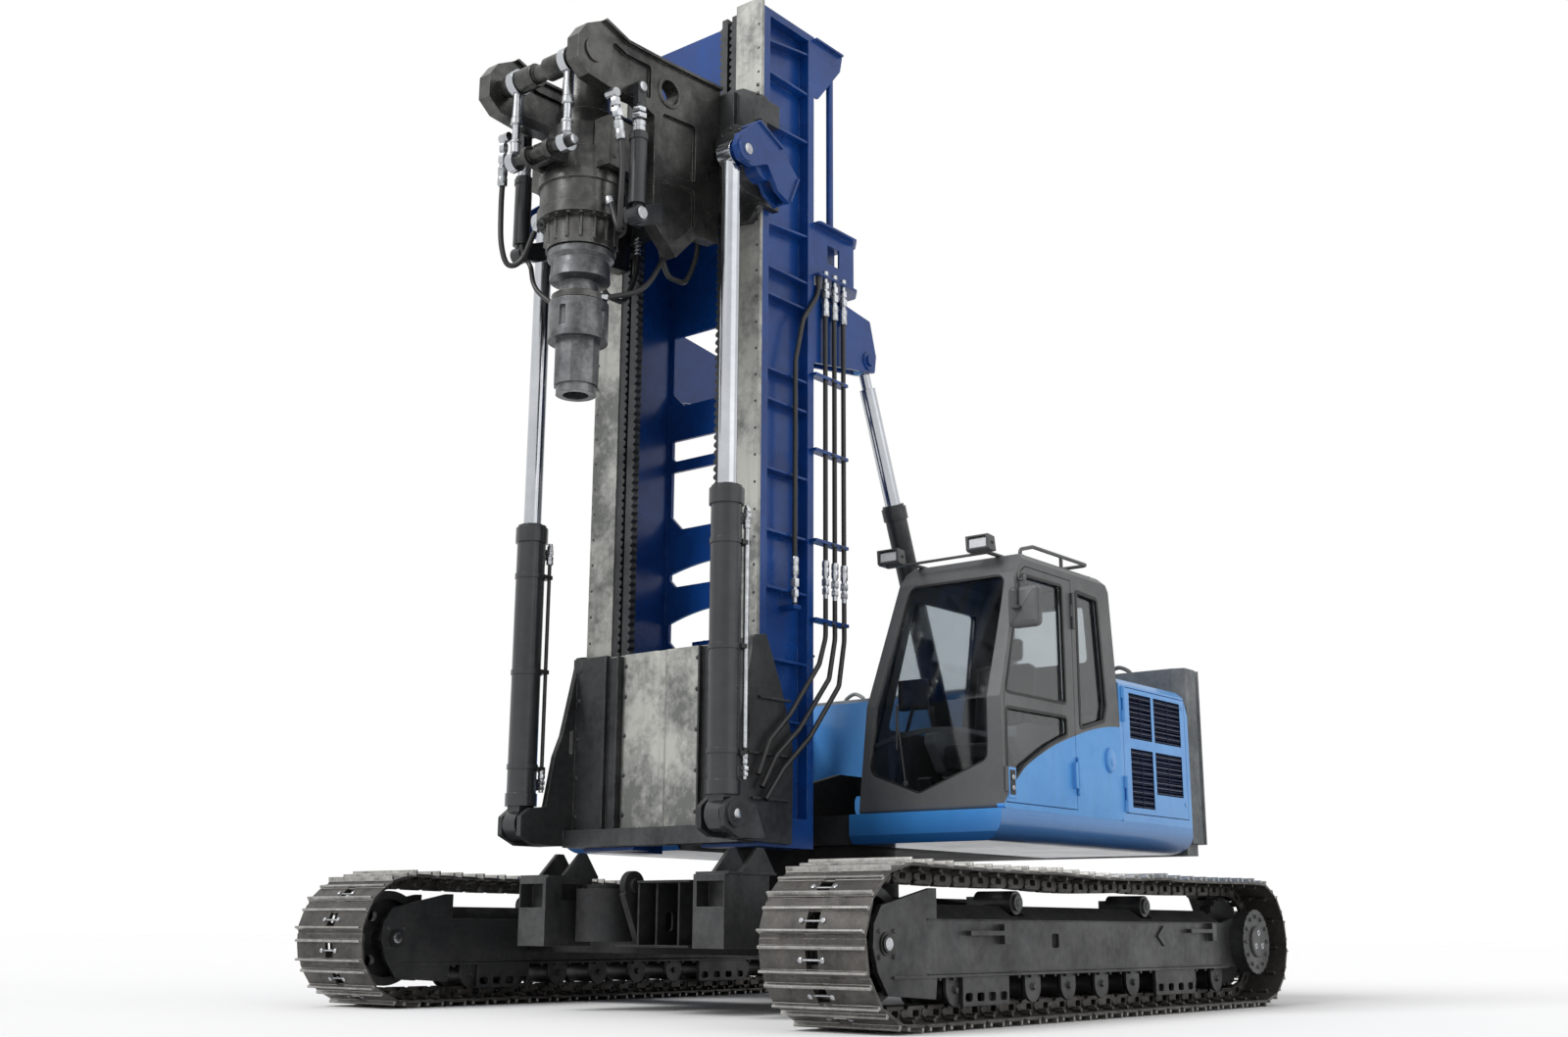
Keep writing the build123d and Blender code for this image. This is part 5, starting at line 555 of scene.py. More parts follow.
# Solids whose finish differs from their material slot's.
NODE_FINISH = {
    "cab_shell": "cab_two_tone", "cab_door": "cab_two_tone", "side_skirts": "skirt_shade_paint",
    "engine_door_left": "door_paint", "engine_door_right": "door_paint",
    "upper_frame": "frame_steel", "centre_frame": "frame_steel",
    "head_arms": "head_steel", "cross_shaft": "head_steel", "rotary_drive": "head_steel",
}
MATERIALS: dict[str, bpy.types.Material] = {}


def rounded(corners: Sequence[Flat], radius: float, steps: int = 4) -> list[Flat]:
    """Round the corners of an outline.

    Args:
        corners: The outline's corners in order.
        radius: The rounding's radius.
        steps: How many short edges each rounding has.

    Returns:
        The outline's points.
    """
    points = []
    for index, corner in enumerate(corners):
        here = Vector(corner)
        back = Vector(corners[index - 1]) - here
        ahead = Vector(corners[(index + 1) % len(corners)]) - here
        reach = min(radius / tan(back.angle(ahead) / 2), CORNER_SHARE * back.length, CORNER_SHARE * ahead.length)
        start, end = here + reach * back.normalized(), here + reach * ahead.normalized()
        for step in range(steps + 1):
            share = step / steps
            spot = start * (1 - share) ** 2 + here * (2 * share * (1 - share)) + end * share**2
            points.append((spot.x, spot.y))
    return points


def widened(outline: Sequence[Flat], amount: float) -> list[Flat]:
    """Return an outline moved outward by an amount, or inward where it is negative.

    Args:
        outline: The outline's points in order.
        amount: How far its edges move.

    Returns:
        The moved outline's points.
    """
    points = [Vector(point) for point in outline]
    area = sum(a.x * b.y - b.x * a.y for a, b in zip(points, points[1:] + points[:1]))
    sign = 1.0 if area > 0 else -1.0
    moved = []
    for index, here in enumerate(points):
        first = (here - points[index - 1]).normalized()
        second = (points[(index + 1) % len(points)] - here).normalized()
        mitre = Vector((first.y + second.y, -first.x - second.x))
        mitre /= max(mitre.length_squared / 2, LONGEST_MITRE)
        spot = here + sign * amount * mitre
        moved.append((spot.x, spot.y))
    return moved


def turns(count: int, start: float = 0.0) -> list[float]:
    """Return even steps of a full turn, the first one a share of a step on."""
    return [2 * pi * (index + start) / count for index in range(count)]


def around(count: int, radius: float, start: float = 0.0) -> list[Flat]:
    """Return evenly spaced points of a circle, the first one a share of a step on."""
    return [(radius * cos(turn), radius * sin(turn)) for turn in turns(count, start)]


def circle(middle: Vector, across: Vector, other: Vector, radius: float, sides: int) -> list[Point]:
    """Return a circle's points in the plane of two directions."""
    return [tuple(middle + radius * (cos(turn) * across + sin(turn) * other)) for turn in turns(sides)]


def oblong(low: Flat, high: Flat) -> list[Flat]:
    """Return a rectangle's corners."""
    return [(low[0], low[1]), (high[0], low[1]), (high[0], high[1]), (low[0], high[1])]


def mirrored(side: int, *points: Point) -> list[Point]:
    """Return points of the machine's left side, or their mirror images where the side is -1."""
    return [(x, side * y, z) for x, y, z in points]


class Axis(Enum):
    """The axes that an outline is extruded along, by their place in a point."""

    X = 0
    Y = 1
    Z = 2


class Shaper:
    """Gathers the surfaces of one piece and makes its object."""

    # A hose fitting's parts, in shares of its length and its radius.
    SLEEVE = ((0.0, 0.86), (0.03, 1.0), (0.16, 1.0), (0.18, 0.92), (0.22, 0.92), (0.24, 1.0), (0.38, 1.0),
              (0.42, 0.72), (0.50, 0.72))
    NUTS = ((0.48, 0.66, 1.12), (0.72, 0.88, 1.0))
    NECK = ((0.64, 0.66), (1.0, 0.66))
    # A hexagon head, in shares of its bolt's radius.
    HEXAGON = ((0.0, 1.12), (0.62, 1.12), (0.78, 0.9))

    def __init__(self, name: str, body: str, finish: str) -> None:
        """Start a piece.

        Args:
            name: The piece's name.
            body: The body that it moves with.
            finish: The first finish it uses.
        """
        self.name = name
        self.body = body
        self.mesh = bmesh.new()
        self.finishes: list[str] = []
        self.current = 0
        self.use(finish)

    def use(self, finish: str) -> None:
        """Give what follows another finish.

        Args:
            finish: The finish's name.
        """
        if finish not in self.finishes:
            self.finishes.append(finish)
        self.current = self.finishes.index(finish)

    def loft(self, rings: Sequence[Sequence[Point]], joined: bool = False) -> None:
        """Skin a row of closed rings.

        Args:
            rings: Rings with the same number of points each.
            joined: True if the last ring meets the first, instead of end faces.
        """
        rows = [[self.mesh.verts.new(point) for point in ring] for ring in rings]
        count = len(rows[0])
        faces = []
        for low, high in list(zip(rows, rows[1:])) + ([(rows[-1], rows[0])] if joined else []):
            for index in range(count):
                after = (index + 1) % count
                faces.append(self.mesh.faces.new((low[index], low[after], high[after], high[index])))
        if not joined:
            faces.append(self.mesh.faces.new(rows[0][::-1]))
            faces.append(self.mesh.faces.new(rows[-1]))
        for face in faces:
            face.material_index = self.current

    def stack(self, axis: Axis, layers: Sequence[tuple[float, Sequence[Flat]]], joined: bool = False) -> None:
        """Skin outlines at several levels along an axis."""
        place = axis.value
        self.loft([[(*spot[:place], level, *spot[place:]) for spot in outline] for level, outline in layers], joined)

    def slab(self, axis: Axis, outline: Sequence[Flat], start: float, end: float, chamfer: float = 0.0) -> None:
        """Extrude an outline along an axis, with its rims cut off if a chamfer is given.

        Args:
            axis: The axis to extrude along.
            outline: The outline's points in order.
            start: The level of its first face.
            end: The level of its other face.
            chamfer: How much of each rim is cut off.
        """
        if chamfer:
            step = chamfer if end > start else -chamfer
            inner = widened(outline, -chamfer)
            self.stack(axis, [(start, inner), (start + step, outline), (end - step, outline), (end, inner)])
        else:
            self.stack(axis, [(start, outline), (end, outline)])

    def panel(self, axis: Axis, low: Flat, high: Flat, radius: float, start: float, end: float, chamfer: float) -> None:
        """Extrude a rectangle with rounded corners along an axis."""
        self.slab(axis, rounded(oblong(low, high), radius), start, end, chamfer)

    def box(self, low: Point, high: Point, chamfer: float) -> None:
        """Add a block between two corners with its rims cut off."""
        self.slab(Axis.Z, oblong(low[:2], high[:2]), low[2], high[2], chamfer)

    def frame(self, axis: Axis, outer: Sequence[Flat], inner: Sequence[Flat], start: float, end: float) -> None:
        """Extrude what lies between two outlines along an axis."""
        self.stack(axis, [(start, outer), (end, outer), (end, inner), (start, inner)], joined=True)

    def band(self, axis: Axis, outline: Sequence[Flat], width: float, start: float, end: float) -> None:
        """Extrude a frame of even width round an outline."""
        self.frame(axis, widened(outline, width), outline, start, end)

    def lathe(self, origin: Point, direction: Point, profile: Sequence[Flat], sides: int,
              joined: bool = False) -> None:
        """Turn a profile round an axis.

        Args:
            origin: A point on the axis.
            direction: The axis.
            profile: Pairs of distance along the axis and radius.
            sides: How many sides the turned form has.
            joined: True for a ring with a hole.
        """
        along = Vector(direction).normalized()
        across = along.orthogonal().normalized()
        other = along.cross(across)
        self.loft([circle(Vector(origin) + along * distance, across, other, radius, sides)
                   for distance, radius in profile], joined)

    def cap(self, origin: Point, direction: Point, wall: Flat, rim: Flat, sides: int) -> None:
        """Add a round cap, from the radius and height of its wall and of its top rim."""
        self.lathe(origin, direction, [(0.0, wall[0]), wall[::-1], rim[::-1]], sides)

    def ring(self, origin: Point, direction: Point, inner: float, outer: float, height: float, sides: int) -> None:
        """Add a flat ring."""
        profile = [(0.0, inner), (0.0, outer), (height, outer), (height, inner)]
        self.lathe(origin, direction, profile, sides, joined=True)

    def rod(self, start: Point, end: Point, radius: float, sides: int) -> None:
        """Add a round bar with small chamfers.

        Args:
            start: The middle of its first end.
            end: The middle of its other end.
            radius: Its radius.
            sides: How many sides it has.
        """
        run = Vector(end) - Vector(start)
        cut = min(0.2 * radius, 0.3 * run.length)
        profile = [(0.0, radius - cut), (cut, radius), (run.length - cut, radius), (run.length, radius - cut)]
        self.lathe(start, tuple(run), profile, sides)

    def bolt(self, origin: Point, direction: Point, radius: float) -> None:
        """Add a washer and a hexagon head.

        Args:
            origin: Where the washer sits.
            direction: Where the head points.
            radius: The bolt's radius.
        """
        self.lathe(origin, direction, [(0.0, 1.5 * radius), (0.22 * radius, 1.5 * radius)], 12)
        seat = Vector(origin) + 0.2 * radius * Vector(direction).normalized()
        self.lathe(tuple(seat), direction, [(height * radius, size * radius) for height, size in self.HEXAGON], 6)

    def fitting(self, start: Point, end: Point, radius: float) -> None:
        """Add a hose fitting: a crimped sleeve, a neck and two hexagon nuts, with the hose at its start.

        Args:
            start: Its end at the hose.
            end: Its other end.
            radius: Its radius.
        """
        run = Vector(end) - Vector(start)
        parts = [(self.SLEEVE, 18)]
        parts += [(((low, 0.94 * size), (low + 0.02, size), (high - 0.02, size), (high, 0.94 * size)), 6)
                  for low, high, size in self.NUTS]
        for profile, sides in (*parts, (self.NECK, 16)):
            self.lathe(start, tuple(run), [(share * run.length, radius * size) for share, size in profile], sides)

    def tube(self, route: Sequence[Point], radius: float, sides: int = 12, steps: int = 6) -> None:
        """Sweep a round section along a smooth curve through the route's points.

        Args:
            route: The points that its middle passes.
            radius: Its radius.
            sides: How many sides it has.
            steps: How many short parts lie between two points.
        """
        spots = [Vector(point) for point in route]
        ends = [2 * spots[0] - spots[1], *spots, 2 * spots[-1] - spots[-2]]
        line = []
        for before, start, end, after in zip(ends, ends[1:], ends[2:], ends[3:]):
            for step in range(steps):
                t = step / steps
                line.append(0.5 * (2 * start + (end - before) * t + (2 * before - 5 * start + 4 * end - after) * t**2
                                   + (3 * start - before - 3 * end + after) * t**3))
        line.append(spots[-1])
        side = (line[1] - line[0]).orthogonal().normalized()
        rings = []
        for index, middle in enumerate(line):
            heading = (line[min(index + 1, len(line) - 1)] - line[max(index - 1, 0)]).normalized()
            side = (side - heading * side.dot(heading)).normalized()
            rings.append(circle(middle, side, heading.cross(side), radius, sides))
        self.loft(rings)

    def done(self, replaces: Sequence[str] = ()) -> None:
        """Make the object, smooth it up to an angle, and let it ride its body.

        Args:
            replaces: The solids that the piece stands for.
        """
        bmesh.ops.recalc_face_normals(self.mesh, faces=self.mesh.faces)
        mesh = bpy.data.meshes.new(self.name)
        self.mesh.to_mesh(mesh)
        self.mesh.free()
        for finish in self.finishes:
            mesh.materials.append(MATERIALS[finish])
        mesh.shade_smooth()
        mesh.set_sharp_from_angle(angle=radians(SMOOTH_ANGLE))
        piece = bpy.data.objects.new(self.name, mesh)
        bpy.context.scene.collection.objects.link(piece)
        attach(piece, self.body)
        if replaces:
            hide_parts(*replaces)
        LOG.info("%s: %d faces on %s", self.name, len(mesh.polygons), self.body)


@dataclass(frozen=True)
class Link:
    """One link of a track: its start pin, its direction, its outward normal and its length."""

    pin: Flat
    along: Flat
    out: Flat
    length: float

    def at(self, share: float, height: float) -> Flat:
        """Return the point at a share of the link's length and a height above the shoe's inner face.

        Args:
            share: The share of the link's length.
            height: The height above the inner face.

        Returns:
            The point's X and Z.
        """
        reach = share * self.length
        return (self.pin[0] + reach * self.along[0] + height * self.out[0],
                self.pin[1] + reach * self.along[1] + height * self.out[1])

    def outline(self, *spots: Flat) -> list[Flat]:
        """Return the points at several shares and heights."""
        return [self.at(*spot) for spot in spots]


@dataclass
class TrackLoop:
    """A track: shoes with two grousers each, their slots, tie rods and hinges, and the chain's rails inside."""

    side: int
    node: str
    centre_y: float = 2.18
    half_width: float = 0.375
    count: int = 58
    end_radius: float = 0.437
    wheel_z: float = 0.485
    idler_x: float = 2.215
    sprocket_x: float = -2.615
    sag: float = 0.026
    slew_x: float = -0.2
    carrier: float = 0.89
    plate: float = 0.018
    tips: Flat = (0.047, 0.038)
    link_height: float = 0.084
    slot_half: float = 0.045

    def loop_point(self, distance: float) -> Flat:
        """Return the point of the shoes' inner face at a distance along the loop, from the sprocket's foot.

        Args:
            distance: The distance along the loop.

        Returns:
            The point's X and Z.
        """
        run, arc = self.idler_x - self.sprocket_x, pi * self.end_radius
        along = distance % (2 * run + 2 * arc)
        if along < run:
            return self.sprocket_x + along, self.wheel_z - self.end_radius
        along -= run
        if along < arc:
            turn = along / self.end_radius
            return self.idler_x + self.end_radius * sin(turn), self.wheel_z - self.end_radius * cos(turn)
        along -= arc
        if along < run:
            x = self.idler_x - along
            bay = (x - self.slew_x) / self.carrier
            dip = self.sag * abs(sin(pi * (bay + 1) / 2)) if abs(bay) < 1 else self.sag / 2
            near_end = min(1.0, min(self.idler_x - x, x - self.sprocket_x) / self.carrier)
            return x, self.wheel_z + self.end_radius - dip * near_end
        turn = (along - run) / self.end_radius
        return self.sprocket_x - self.end_radius * sin(turn), self.wheel_z + self.end_radius * cos(turn)

    def links(self) -> list[Link]:
        """Return the loop's links.

        Returns:
            The links in order.
        """
        whole = 2 * (self.idler_x - self.sprocket_x) + 2 * pi * self.end_radius
        pins = [self.loop_point(whole * index / self.count) for index in range(self.count)]
        rows = []
        for (x, z), (next_x, next_z) in zip(pins, pins[1:] + pins[:1]):
            length = hypot(next_x - x, next_z - z)
            along = ((next_x - x) / length, (next_z - z) / length)
            rows.append(Link((x, z), along, (along[1], -along[0]), length))
        return rows

    def shoe(self, piece: Shaper, link: Link) -> None:
        """Add a shoe's plates, lip, hinge, grousers, tie rod and bolts.

        Args:
            piece: The piece to add to.
            link: The link that it sits on.
        """
        middle, half, slot, plate = self.side * self.centre_y, self.half_width, self.slot_half, self.plate
        piece.use("track_steel")
        wing = link.outline((0.02, 0.0), (0.93, 0.0), (0.93, 0.009), (0.80, 0.013), (0.66, plate), (0.13, plate),
                            (0.03, 0.014))
        lip = link.outline((0.90, 0.0), (1.03, 0.0), (1.03, 0.003), (0.90, 0.005))
        for outline, start, end in ((wing, -half, -slot), (wing, slot, half), (lip, 0.002 - half, half - 0.002)):
            piece.slab(Axis.Y, outline, middle + start, middle + end)
        for start, end in ((0.02, 0.14), (0.63, 0.93)):
            bar = link.outline((start, 0.0), (end, 0.0), (end, 0.010), (start, plate - 0.004))
            piece.slab(Axis.Y, bar, middle - slot, middle + slot)
        x, z = link.at(0.99, -0.012)
        for spot in (-0.26, -0.13, 0.0, 0.13, 0.26):
            piece.rod((x, middle + spot - 0.036, z), (x, middle + spot + 0.036, z), 0.0125, 8)
        piece.use("grouser_steel")
        reach, foot = half - 0.004, plate - 0.006
        for start, end, tip in zip((0.035, 0.66), (0.125, 0.77), self.tips):
            outline = link.outline((start, foot), (end, foot), (end - 0.012, tip - 0.004), (end - 0.03, tip),
                                   (start + 0.02, tip), (start + 0.008, tip - 0.004))
            piece.slab(Axis.Y, outline, middle - reach, middle + reach)
        piece.use("zinc_fitting")
        x, z = link.at(0.38, 0.012)
        piece.rod((x, middle - slot - 0.02, z), (x, middle + slot + 0.02, z), 0.0075, 8)
        x, z = link.at(0.38, plate)
        for spot in (-0.078, 0.078):
            piece.cap((x, middle + spot, z), (link.out[0], 0.0, link.out[1]), (0.017, 0.009), (0.013, 0.012), 8)

    def chain(self, piece: Shaper, link: Link) -> None:
        """Add a link's two rails with their windows, and its pin with the bosses.

        Args:
            piece: The piece to add to.
            link: The link that it sits on.
        """
        middle, low = self.side * self.centre_y, -self.link_height
        outer = link.outline((0.04, -0.060), (0.12, low), (0.86, low), (0.98, -0.055), (0.98, -0.002), (0.04, -0.002))
        inner = link.outline((0.36, -0.052), (0.38, -0.060), (0.64, -0.060), (0.66, -0.052), (0.66, -0.022),
                             (0.36, -0.022))
        x, z = link.at(0.14, -0.040)
        for spot in SIDES:
            far = middle + spot * 0.092
            piece.frame(Axis.Y, outer, inner, middle + spot * 0.060, far)
            piece.cap((x, far - spot * 0.004, z), (0, spot, 0), (0.030, 0.012), (0.025, 0.016), 12)
        piece.rod((x, middle - 0.062, z), (x, middle + 0.062, z), 0.021, 10)

    def build(self) -> None:
        """Build the track in place of its plain solid."""
        links = self.links()
        for part, add in (("shoes", self.shoe), ("chain", self.chain)):
            piece = Shaper(f"{part}_{self.node}", "undercarriage", "track_steel")
            for link in links:
                add(piece, link)
            piece.done(replaces=(self.node,))


@dataclass
class TrackFrameTrim:
    """Bolts, caps, welds and combs on a track frame, its idler, its rollers and its drive."""

    side: int
    name: str
    centre_y: float = 2.18
    beam_half: float = 0.20
    beam_span: Flat = (-2.20, 1.80)
    idler: Flat = (2.215, 0.485)
    drive: Flat = (-2.615, 0.485)
    roller_first: float = -2.17
    roller_step: float = 0.455
    roller_z: float = 0.2145
    carriers: Flat = (-1.09, 0.69)

    def build(self) -> None:
        """Build the trim."""
        piece = Shaper(f"frame_trim_{self.name}", "undercarriage", "zinc_fitting")
        for face in SIDES:
            self.add_face(piece, face)
        self.add_drive(piece)
        piece.done()

    def add_face(self, piece: Shaper, face: int) -> None:
        """Add what sits on one face of the frame.

        Args:
            piece: The piece to add to.
            face: 1 for the frame's left face, -1 for its right one.
        """
        middle = self.side * self.centre_y
        wall, out = middle + face * self.beam_half, (0, face, 0)
        x, z = self.idler
        piece.use("gasket_rubber")
        piece.ring((x, wall + face * 0.0005, z), out, 0.050, 0.066, 0.008, 24)
        piece.use("zinc_fitting")
        piece.cap((x, wall + face * 0.020, z), out, (0.036, 0.003), (0.030, 0.005), 24)
        piece.use("dark_steel")
        for a, b in around(4, 0.10, 0.5):
            piece.bolt((x + a, wall, z + b), out, 0.011)
        for spot in self.carriers:
            piece.bolt((spot, middle + face * 0.140, 0.7345), out, 0.024)
        for index in range(9):
            spot = self.roller_first + index * self.roller_step
            piece.bolt((spot, middle + face * 0.170, self.roller_z), out, 0.018)
        for level in (0.624, 0.312):
            piece.rod(*((end, wall + face * 0.001, level) for end in self.beam_span), 0.005, 6)
        for index in range(26):
            spot = -2.10 + index * 0.15
            comb = [(spot - 0.018, 0.306), (spot - 0.008, 0.272), (spot + 0.008, 0.272), (spot + 0.018, 0.306)]
            piece.slab(Axis.Y, comb, wall - face * 0.028, wall - face * 0.012)

    def add_drive(self, piece: Shaper) -> None:
        """Add the drive's bolts, cover and rings, and the chevron on the frame's outer face.

        Args:
            piece: The piece to add to.
        """
        (x, z), out, face = self.drive, (0, self.side, 0), self.side * (self.centre_y + 0.314)
        piece.use("dark_steel")
        for a, b in around(12, 0.192):
            piece.bolt((x + a, face, z + b), out, 0.012)
        piece.cap((x, face, z), out, (0.118, 0.012), (0.108, 0.020), 32)
        piece.use("zinc_fitting")
        for a, b in around(3, 0.066, 0.75):
            piece.ring((x + a, face + self.side * 0.020, z + b), out, 0.012, 0.022, 0.003, 16)
        piece.use("dark_steel")
        wall = self.side * (self.centre_y + self.beam_half)
        chevron = [(-1.236, 0.600), (-1.136, 0.528), (-1.236, 0.456), (-1.236, 0.482), (-1.172, 0.528), (-1.236, 0.574)]
        piece.slab(Axis.Y, chevron, wall, wall + self.side * 0.014)


@dataclass
class CabTrim:
    """Seals round the windows, lamps' lenses, mirror glass, wiper, lock panel, filler cap and small fittings."""

    side_y: float = 2.1
    door_panes: tuple[tuple[Flat, ...], ...] = (
        ((0.390, 2.150), (0.165, 2.960), (0.120, 3.015), (-0.434, 3.020), (-0.443, 2.150)),
        ((0.390, 2.050), (-0.443, 2.058), (-0.443, 1.925), (-0.180, 1.830), (0.160, 1.665), (0.390, 1.480)),
    )
    quarter: tuple[Flat, ...] = ((-0.640, 3.013), (-0.960, 2.997), (-1.045, 2.200), (-1.000, 2.080), (-0.640, 1.990))
    front: tuple[Flat, ...] = ((0.985, 1.640), (1.407, 1.480), (1.985, 1.690), (2.010, 3.020), (1.190, 3.020))
    face: tuple[Flat, ...] = ((1.36, 0.440), (2.117, 0.462), (3.030, 0.190), (3.18, 0.08))

    def build(self) -> None:
        """Build the cab's trim."""
        for step in (self.build_seals, self.build_lamps, self.build_mirror, self.build_wiper, self.build_lock,
                     self.build_small_parts):
            step()

    def front_x(self, z: float) -> float:
        """Return how far forward the cab's face is at a level.

        Args:
            z: The level.

        Returns:
            The face's X there.
        """
        for (low, near), (high, far) in zip(self.face, self.face[1:]):
            if z <= high:
                return near + (far - near) * (z - low) / (high - low)
        return self.face[-1][1]

    def build_seals(self) -> None:
        """Add a rubber seal round each pane, and round the front glass along its bent face."""
        back, y = self.side_y - 0.014, self.side_y
        seals = Shaper("seals_cab_door", "cab_door", "gasket_rubber")
        for pane in self.door_panes:
            seals.band(Axis.Y, widened(rounded(pane, 0.034, 5), -0.012), 0.020, back, y + 0.003)
        seals.done()
        seals = Shaper("seals_cab_shell", "upper", "gasket_rubber")
        seals.band(Axis.Y, widened(rounded(self.quarter, 0.034, 5), -0.014), 0.026, back, y + 0.004)
        outline = rounded(self.front, 0.075, 6)
        inner = widened(outline, -0.014)
        rings = ((outline, 0.004), (outline, 0.020), (inner, 0.020), (inner, 0.004))
        seals.loft([[(self.front_x(z) - depth, y, z) for y, z in ring] for ring, depth in rings], joined=True)
        seals.rod((-1.236, 2.086, 2.06), (-1.262, 2.086, 2.36), 0.006, 8)
        seals.done()

    def build_lamps(self) -> None:
        """Add the lenses and brackets of the roof lamps."""
        for number, y in ((1, 1.055), (2, 1.835)):
            piece = Shaper(f"lamp_lens_{number}", "upper", "lamp_lens")
            outline = rounded(oblong((y - 0.075, 3.213), (y + 0.075, 3.287)), 0.008)
            piece.slab(Axis.X, outline, 0.2685, 0.2785, 0.003)
            piece.use("gasket_rubber")
            piece.band(Axis.X, widened(outline, -0.003), 0.006, 0.270, 0.284)
            piece.use("dark_steel")
            for side in SIDES:
                piece.bolt((0.235, y + side * 0.099, 3.25), (0, side, 0), 0.008)
            piece.done()

    def build_mirror(self) -> None:
        """Add the mirror's glass, its rim and the clamp on its back."""
        piece = Shaper("mirror_trim", "upper", "mirror_glass")
        outline = rounded(oblong((2.122, 2.606), (2.338, 2.870)), 0.03)
        piece.slab(Axis.X, outline, 0.2915, 0.2945, 0.001)
        piece.use("cab_paint")
        piece.band(Axis.X, outline, 0.010, 0.289, 0.297)
        shell = rounded(oblong((2.112, 2.595), (2.348, 2.881)), 0.04)
        swell = ((0.3345, 0.0), (0.343, -0.012), (0.350, -0.035))
        piece.stack(Axis.X, [(level, widened(shell, grow)) for level, grow in swell])
        piece.use("dark_steel")
        piece.tube([(0.355, 2.19, 2.968), (0.366, 2.19, 2.93), (0.368, 2.19, 2.80), (0.366, 2.19, 2.735)], 0.009, 8)
        piece.box((0.349, 2.160, 2.718), (0.378, 2.222, 2.740), 0.003)
        piece.rod((0.190, 2.10, 2.962), (0.356, 2.192, 2.970), 0.009, 8)
        piece.cap((0.192, 2.096, 2.962), (0, 1, 0), (0.024, 0.010), (0.020, 0.013), 16)
        piece.done()

    def build_wiper(self) -> None:
        """Add the wiper on the front glass."""
        piece = Shaper("front_wiper", "upper", "cab_plastic")
        x, blade = self.front_x(1.56) - 0.012, self.front_x(1.9)
        piece.cap((x, 1.30, 1.56), (1, 0, 0), (0.020, 0.014), (0.015, 0.018), 16)
        arm = [(x + 0.010, 1.30, 1.56), (x + 0.016, 1.27, 1.80), (self.front_x(2.05) - 0.002, 1.235, 2.05)]
        piece.tube(arm, 0.006, 8)
        piece.box((blade - 0.014, 1.226, 1.80), (blade - 0.003, 1.242, 2.115), 0.002)
        piece.done()

    def build_lock(self) -> None:
        """Add the lock panel with its two lock barrels."""
        y = self.side_y
        piece = Shaper("lock_panel", "cab_door", "sky_paint")
        piece.panel(Axis.Y, (0.285, 1.430), (0.382, 1.640), 0.010, y - 0.002, y + 0.005, 0.002)
        piece.use("gasket_rubber")
        piece.panel(Axis.Y, (0.300, 1.455), (0.366, 1.622), 0.008, y + 0.004, y + 0.008, 0.001)
        piece.use("zinc_fitting")
        for z in (1.500, 1.572):
            piece.cap((0.333, y + 0.008, z), (0, 1, 0), (0.018, 0.006), (0.014, 0.009), 20)
            piece.box((0.330, y + 0.015, z - 0.011), (0.336, y + 0.021, z + 0.011), 0.001)
        piece.done()

    def build_small_parts(self) -> None:
        """Add the filler cap, the roof hatch's seam and hinges, and a door stop."""
        piece = Shaper("filler_cap", "upper", "sky_paint")
        layers = ((-0.002, 1.0), (0.012, 1.0), (0.022, 0.93), (0.028, 0.80))
        piece.stack(Axis.Y, [(self.side_y + rise, [(-1.063 + 0.066 * size * x, 1.794 + 0.092 * size * z)
                                                for x, z in around(28, 1.0)]) for rise, size in layers])
        piece.cap((-1.063, self.side_y + 0.026, 1.780), (0, 1, 0), (0.026, 0.006), (0.018, 0.010), 20)
        piece.done()
        piece = Shaper("cab_small_parts", "upper", "cab_plastic")
        piece.band(Axis.Z, rounded(oblong((-0.905, 1.275), (-0.055, 1.925)), 0.02), 0.010, 3.1795, 3.190)
        for x in (-0.80, -0.16):
            piece.box((x - 0.04, 1.262, 3.180), (x + 0.04, 1.285, 3.200), 0.003)
        piece.box((-0.55, 1.884, 3.196), (-0.41, 1.908, 3.216), 0.004)
        for x in (-0.02, -0.99):
            piece.cap((x, 2.012, 3.1795), (0, 0, 1), (0.026, 0.007), (0.020, 0.011), 16)
        piece.use("cab_paint")
        piece.box((0.398, 2.088, 1.470), (0.432, 2.112, 1.640), 0.005)
        piece.done()


